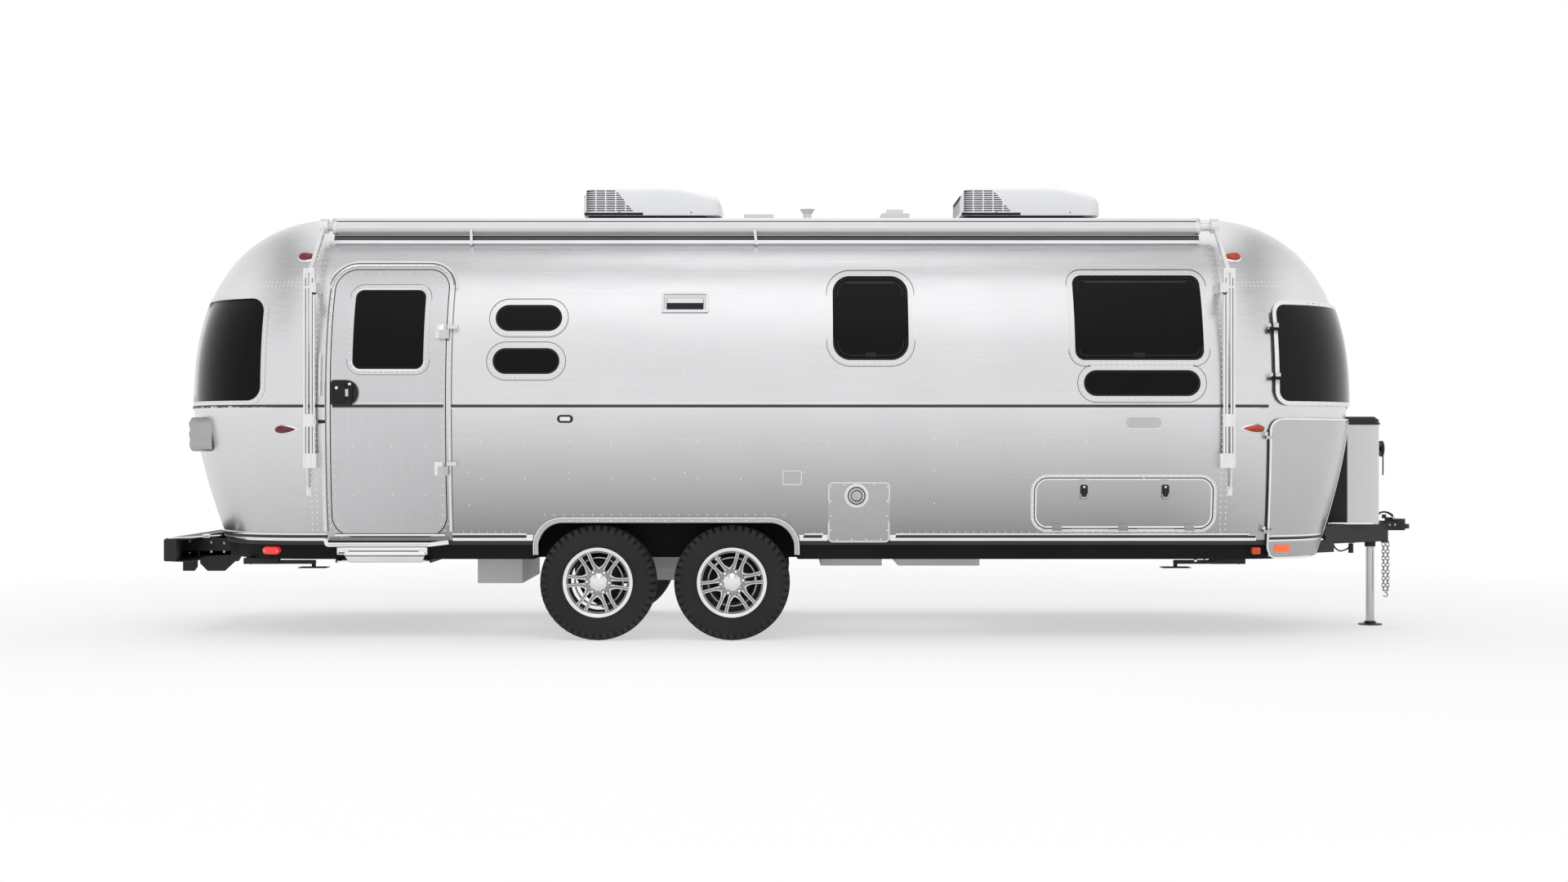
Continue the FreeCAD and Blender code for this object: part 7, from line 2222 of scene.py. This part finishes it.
class Underside:
    """Step, sill tray, bumper plates, the skirt's small parts and the street side's covers."""

    # Outlines are (x, z), the nosing's (y, z); a leg of the tray is (x0, z0, x1, z1, points).
    PLATES = (
        ((-4.117, 0.402), (-4.040, 0.402), (-4.020, 0.430), (-4.020, 0.534), (-4.117, 0.534)),
        ((-4.004, 0.534), (-4.004, 0.452), (-3.955, 0.402), (-3.840, 0.402), (-3.738, 0.497),
         (-3.738, 0.505), (-3.802, 0.510), (-3.802, 0.534)),
        ((-4.117, 0.494), (-3.802, 0.508), (-3.802, 0.612), (-4.117, 0.631)),
    )
    PLATE_Y = (0.554, 0.562)
    PLATE_BOLTS = ((-4.075, 0.600), (-3.93, 0.590), (-3.845, 0.585), (-4.075, 0.520),
                   (-3.93, 0.530), (-3.845, 0.530))
    CAP_Y, DECK_Y = (0.900, 0.9995), (0.930, 0.985)
    DECK = ((-4.090, 0.634), (-3.950, 0.640), (-3.760, 0.652), (-3.760, 0.657), (-3.950, 0.646),
            (-4.090, 0.639))
    NOSE = ((-1.200, 0.496), (-1.236, 0.496), (-1.246, 0.502), (-1.250, 0.516), (-1.250, 0.532),
            (-1.246, 0.5365), (-1.2485, 0.541), (-1.2485, 0.560), (-1.246, 0.5635),
            (-1.236, 0.5645), (-1.236, 0.5685), (-1.247, 0.570), (-1.250, 0.574), (-1.250, 0.586),
            (-1.246, 0.5910), (-1.204, 0.5910), (-1.200, 0.5885))
    NOSE_SLOTS = (0, 1, 1, 1, 1, 2, 0, 0, 2, 2, 2, 0, 0, 0, 0, 0, 0)
    NOSE_X, NOSE_CUTS = (-2.9117, -2.4073), (0.030, 0.018)
    TREAD = (-2.9677, -2.3873, -1.200, -0.960, 0.4955, 0.5045, 0.002)
    BRACKETS = ((-2.962, -2.884), (-2.452, -2.392))
    BRACKET, BRACKET_SLOT = (-1.244, -1.196, 0.544, 0.5905), (-1.2465, -1.230, 0.552, 0.560)
    RIBS, RIB_PITCH, RIB_WIDE = 5, 0.042, 0.016
    TRAY = ((-3.034, 0.650, -3.026, 0.617, 4), (-3.018, 0.6125, -2.385, 0.6125, 40),
            (-2.372, 0.614, -2.262, 0.628, 8))
    TRAY_LINE = (-3.014, 0.6125, -2.39, 0.6125, 40)
    REFLECTOR, PILL = (2.811, 0.566), (0.055, 0.044, 0.010, -0.020, 0.006, 0.003)
    FITTING_Y = (1.196, 1.214)
    LOOP, LOOP_Y, KNOB = (2.552, 0.5115, 0.050, 0.020), 1.080, (2.440, 1.120, 0.5135)
    KNOB_SHAPE = ((0.003, 0.0), (0.010, 0.0), (0.012, -0.004), (0.010, -0.018), (0.003, -0.020))
    COVERS = ((-2.420, 1.080, 0.290, 0.330), (0.560, 1.120, 0.180, 0.130))
    COVER_INSET = 0.012
    COVER_LIP = ((0.0, 0.006), (0.0, 0.0080), (-0.003, 0.0085), (-0.004, 0.006))
    INLETS = ((-1.950, 0.960, 0.052), (1.120, 0.960, 0.040))
    INLET = ((1.0, -0.001), (1.0, 0.008), (0.92, 0.012), (0.80, 0.0125), (0.78, 0.0095),
             (0.1, 0.0095))

    def step(self) -> None:
        """Step: tread plate with a ribbed top, rolled nosing and cast end brackets."""
        piece = Piece("step_nosing", "step_tread")
        piece.block(*self.TREAD)
        nose = np.array(self.NOSE)
        cut = np.clip((0.540 - nose[:, 1]) / 0.044, 0, 1)
        (x0, x1), (rear, front) = self.NOSE_X, self.NOSE_CUTS
        ends = (x0 + 0.001 + rear * cut, x0 + 0.004 + rear * cut, x1 - 0.004 - front * cut,
                x1 - 0.001 - front * cut)
        piece.loft(np.stack([np.column_stack([x, nose]) for x in ends]),
                   slot=np.array(self.NOSE_SLOTS))
        for a, b in self.BRACKETS:
            piece.block(a, b, *self.BRACKET, 0.006, 3)
            piece.block(a + 0.012, b - 0.012, *self.BRACKET_SLOT, 0.001, 2)
        for y in -1.190 + self.RIB_PITCH * np.arange(self.RIBS):
            piece.block(-2.940, -2.415, y, y + self.RIB_WIDE, 0.5035, 0.5068, 0.001)
        piece.make(BRIGHT, TREAD_PLATE, DARK_LINE, CAST, replaces=["step_tread"])

    def tray(self) -> None:
        """Bright tray under the door's sill."""
        tray = Piece("door_sill_tray")
        path = np.concatenate([straight(*leg) for leg in self.TRAY])
        tray.strip(path, (0.026, -0.004, 0.030), CURB)
        tray.strip(straight(*self.TRAY_LINE), (0.004, 0.026, 0.0306), CURB, 1)
        tray.make(BRIGHT, GREY_LINE)

    def bumper(self) -> None:
        """Skids and side plates of the bumper, their bolts, and the trim over its deck."""
        piece = Piece("bumper_plates")
        for side in BOTH:
            for ring in self.PLATES:
                piece.loft(prism(ring, *spread(side, *self.PLATE_Y)))
            x, z = np.array(self.PLATE_BOLTS).T
            origin = np.column_stack([x, np.full(len(x), side * self.PLATE_Y[1]), z])
            piece.loft(placed(dome(0.011, 0.006, 0.002, 6), origin, outwards(side, len(x))), slot=1)
            piece.block(-4.1195, -4.030, *spread(side, *self.CAP_Y), 0.488, 0.632, 0.010, 2)
            low, high = spread(side, *self.DECK_Y)
            piece.loft(prism(self.DECK, low, high), slot=3)
            piece.block(-3.872, -3.825, low, high, 0.640, 0.662, 0.003, 4)
        piece.make(PAINT_BLACK, GALVANISED, BLACK_MOULD, BRIGHT, CHROME)

    def skirt(self) -> None:
        """Second reflector, hold-down, tie loop and knob at the skirt of each side."""
        piece = Piece("skirt_small_parts")
        for side in BOTH:
            piece.lay(slab(*self.PILL), *self.REFLECTOR, side)
            piece.block(-3.220, -3.155, *spread(side, *self.FITTING_Y), 0.690, 0.708, 0.004, 1)
            turn = np.radians(np.linspace(180, 360, 14))
            x, z, wide, deep = self.LOOP
            loop = np.column_stack([x + wide * np.cos(turn), np.full(14, side * self.LOOP_Y),
                                    z + deep * np.sin(turn)])
            piece.tube(loop, 0.0042, 10, (0, 1, 0), 2)
            x, y, z = self.KNOB
            piece.turn(self.KNOB_SHAPE, (x, side * y, z), 2, 20, 1)
        piece.make(AMBER, CHROME, PAINT_BLACK)

    def street(self) -> None:
        """Service covers of the street side: power inlet, water inlet and two lids."""
        piece = Piece("street_service_covers")
        for x, z, w, h in self.COVERS:
            piece.lay(slab(w, h, 0.018, -0.001, 0.0070, 0.003), x, z, STREET)
            edge = Opening(x - w / 2, x + w / 2, z - h / 2, z + h / 2, 0.0)
            piece.trim(edge.inset(self.COVER_INSET, 0.012), self.COVER_LIP, STREET, 1)
        for x, z, radius in self.INLETS:
            piece.lay(rounds([(radius * share, lift) for share, lift in self.INLET], 32), x, z,
                      STREET, 2)
        piece.make(VENT_WHITE, GREY_LINE, BLACK_MOULD)

    def build(self) -> None:
        """Builds the low pieces."""
        self.step()
        self.tray()
        self.bumper()
        self.skirt()
        self.street()


class Studio:
    """Camera, floor, lamps and the pale surroundings."""

    LENS_PX, WIDTH_PX, SENSOR = 2592.6, 1920.0, 36.0
    EYE, FAR = (-0.16, -14.5, 1.257), 400.0
    FLOOR_HALF, FLOOR_GREY, FLOOR_ROUGH = 150.0, 0.98, 0.9
    GLOW, GLOW_FROM, GLOW_TO = 0.57, 5.0, 8.5
    PLAIN = 0.58
    # A ramp's stops are (place, strength).
    SKY = ((0.0, 1.0), (0.35, 1.0), (0.60, 0.66), (0.86, 0.45), (0.985, 0.38), (1.0, 0.38))
    PANEL = ((0.0, 0.0), (0.30, 0.0), (0.42, 0.14), (0.62, 0.70), (0.75, 0.92), (0.89, 1.05),
             (0.93, 0.95), (0.965, 0.55), (0.990, 0.12), (1.0, 0.06))
    REACH = ((0.0, 1.0), (0.12, 1.0), (0.26, 0.5), (0.36, 0.0), (1.0, 0.0))
    LAMPS = (("front_softbox", (-1.0, -9.0, 9.5), (0.0, 0.0, 1.6), (14.0, 5.0), 480.0),
             ("top_softbox", (0.0, 3.0, 11.0), (0.0, 0.0, 0.5), (14.0, 8.0), 400.0))

    def camera(self) -> None:
        """Camera at the photograph's viewing angle, level and facing the curb side."""
        data = bpy.data.cameras.new("view_camera")
        data.sensor_width = self.SENSOR
        data.lens = self.LENS_PX / self.WIDTH_PX * self.SENSOR
        data.clip_end = self.FAR
        made = bpy.data.objects.new("view_camera", data)
        made.location = self.EYE
        made.rotation_euler = (math.radians(90.0), 0.0, 0.0)
        bpy.context.scene.collection.objects.link(made)
        bpy.context.scene.camera = made

    def floor(self) -> None:
        """Plain pale floor, wide enough to meet the surroundings."""
        mesh = bpy.data.meshes.new("studio_floor")
        r = self.FLOOR_HALF
        mesh.from_pydata([(-r, -r, 0), (r, -r, 0), (r, r, 0), (-r, r, 0)], [], [(0, 1, 2, 3)])
        made = bpy.data.objects.new("studio_floor", mesh)
        bpy.context.scene.collection.objects.link(made)
        pale = bpy.data.materials.new("pale_floor")
        pale.use_nodes = True
        tree = pale.node_tree
        shader = tree.nodes["Principled BSDF"]
        shader.inputs["Base Color"].default_value = (*[self.FLOOR_GREY] * 3, 1.0)
        shader.inputs["Roughness"].default_value = self.FLOOR_ROUGH
        shader.inputs["Specular IOR Level"].default_value = 0.0
        glow = tree.nodes.new("ShaderNodeEmission")
        length = tree.nodes.new("ShaderNodeVectorMath")
        length.operation = "LENGTH"
        tree.links.new(tree.nodes.new("ShaderNodeTexCoord").outputs["Object"], length.inputs[0])
        mix = tree.nodes.new("ShaderNodeMixShader")
        share = ramped(tree, length.outputs["Value"], self.GLOW_FROM, self.GLOW_TO, self.GLOW, 1.0)
        tree.links.new(share, mix.inputs["Fac"])
        tree.links.new(shader.outputs[0], mix.inputs[1])
        tree.links.new(glow.outputs[0], mix.inputs[2])
        tree.links.new(mix.outputs[0], tree.nodes["Material Output"].inputs["Surface"])
        mesh.materials.append(pale)
        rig.stage(made)

    def ramp(self, tree: Tree, value: Socket, stops: Pairs) -> Socket:
        """Grey value that runs through the stops, each (place, value)."""
        node = tree.nodes.new("ShaderNodeValToRGB")
        row = node.color_ramp.elements
        for place, grey in stops:
            row.new(place).color = (grey, grey, grey, 1.0)
        row.remove(row[0])
        row.remove(row[-1])
        tree.links.new(value, node.inputs["Fac"])
        return node.outputs["Color"]

    def surroundings(self) -> None:
        """World: white near the horizon, dimmer above, with one soft panel over the length
        of the body; plain light for all rays that scatter."""
        world = bpy.data.worlds.new("studio_world")
        bpy.context.scene.world = world
        world.use_nodes = True
        tree = world.node_tree
        tree.nodes.clear()
        split = tree.nodes.new("ShaderNodeSeparateXYZ")
        tree.links.new(tree.nodes.new("ShaderNodeTexCoord").outputs["Generated"],
                       split.inputs["Vector"])
        sky = self.ramp(tree, split.outputs["Z"], self.SKY)
        panel = self.ramp(tree, split.outputs["Z"], self.PANEL)
        reach = self.ramp(tree, combined(tree, "ABSOLUTE", split.outputs["X"]), self.REACH)
        value = combined(tree, "ADD", sky, combined(tree, "MULTIPLY", panel, reach))
        shown = tree.nodes.new("ShaderNodeBackground")
        shown.inputs["Color"].default_value = (1.0, 1.0, 1.0, 1.0)
        tree.links.new(value, shown.inputs["Strength"])
        plain = tree.nodes.new("ShaderNodeBackground")
        plain.inputs["Color"].default_value = (*[self.PLAIN] * 3, 1.0)
        path = tree.nodes.new("ShaderNodeLightPath").outputs
        seen = combined(tree, "MAXIMUM", path["Is Camera Ray"], path["Is Glossy Ray"])
        seen = combined(tree, "MAXIMUM", seen, path["Is Transmission Ray"])
        mix = tree.nodes.new("ShaderNodeMixShader")
        tree.links.new(seen, mix.inputs["Fac"])
        tree.links.new(plain.outputs[0], mix.inputs[1])
        tree.links.new(shown.outputs[0], mix.inputs[2])
        out = tree.nodes.new("ShaderNodeOutputWorld")
        tree.links.new(mix.outputs[0], out.inputs["Surface"])

    def lamp(self, name: str, place: Sequence[float], target: Sequence[float],
             size: tuple[float, float], watts: float) -> None:
        """Adds one large soft lamp that faces a target."""
        data = bpy.data.lights.new(name, "AREA")
        data.shape = "RECTANGLE"
        data.size, data.size_y = size
        data.energy = watts
        made = bpy.data.objects.new(name, data)
        made.location = place
        aim = np.array(target) - np.array(place)
        flat = math.hypot(aim[0], aim[1])
        made.rotation_euler = (math.atan2(flat, -aim[2]), 0.0, math.atan2(-aim[0], aim[1]))
        made.visible_glossy = False
        bpy.context.scene.collection.objects.link(made)

    def build(self) -> None:
        """Builds the studio and shows colours as they are."""
        bpy.context.scene.view_settings.view_transform = "Standard"
        self.camera()
        self.floor()
        self.surroundings()
        for lamp in self.LAMPS:
            self.lamp(*lamp)


def dress(frame: dict) -> None:
    """Gives every node its finish."""
    for name, node in frame["nodes"].items():
        finish = NODE_FINISH.get(name)
        if finish is None:
            finish = PAINT_BLACK if name.startswith("stabiliser") else RUBBER
        material = finish.material()
        node.data.materials.clear()
        node.data.materials.append(material)


def main() -> None:
    """Builds the caravan's looks piece by piece and writes the sizes."""
    logging.basicConfig(level=logging.INFO, format="%(message)s")
    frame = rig.load()
    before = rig.bounds()
    Studio().build()
    TowLead().build()
    dress(frame)
    BodyWork().build()
    for place, spot in (("front", Wheel.FRONT), ("rear", Wheel.REAR)):
        x, turn = spot.value
        for name, side in SIDES.items():
            centre = (x, side * HALF_TRACK, HUB_HEIGHT)
            body = f"wheel_{place}_{name}"
            Tyre(centre, f"tyre_{place}_{name}_rubber", body).build()
            Rim(centre, side, turn, f"rim_{place}_{name}_alloy", body).build()
    for group in (Lamps, RoofUnits, Door, Fittings, Corners, Awning, Hitch, Underside):
        group().build()
    sizes = [[list(corner) for corner in before], [list(corner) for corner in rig.bounds()]]
    with open(SIZE_FILE, "w", encoding="utf-8") as out:
        json.dump(sizes, out)


if __name__ == "__main__":
    main()
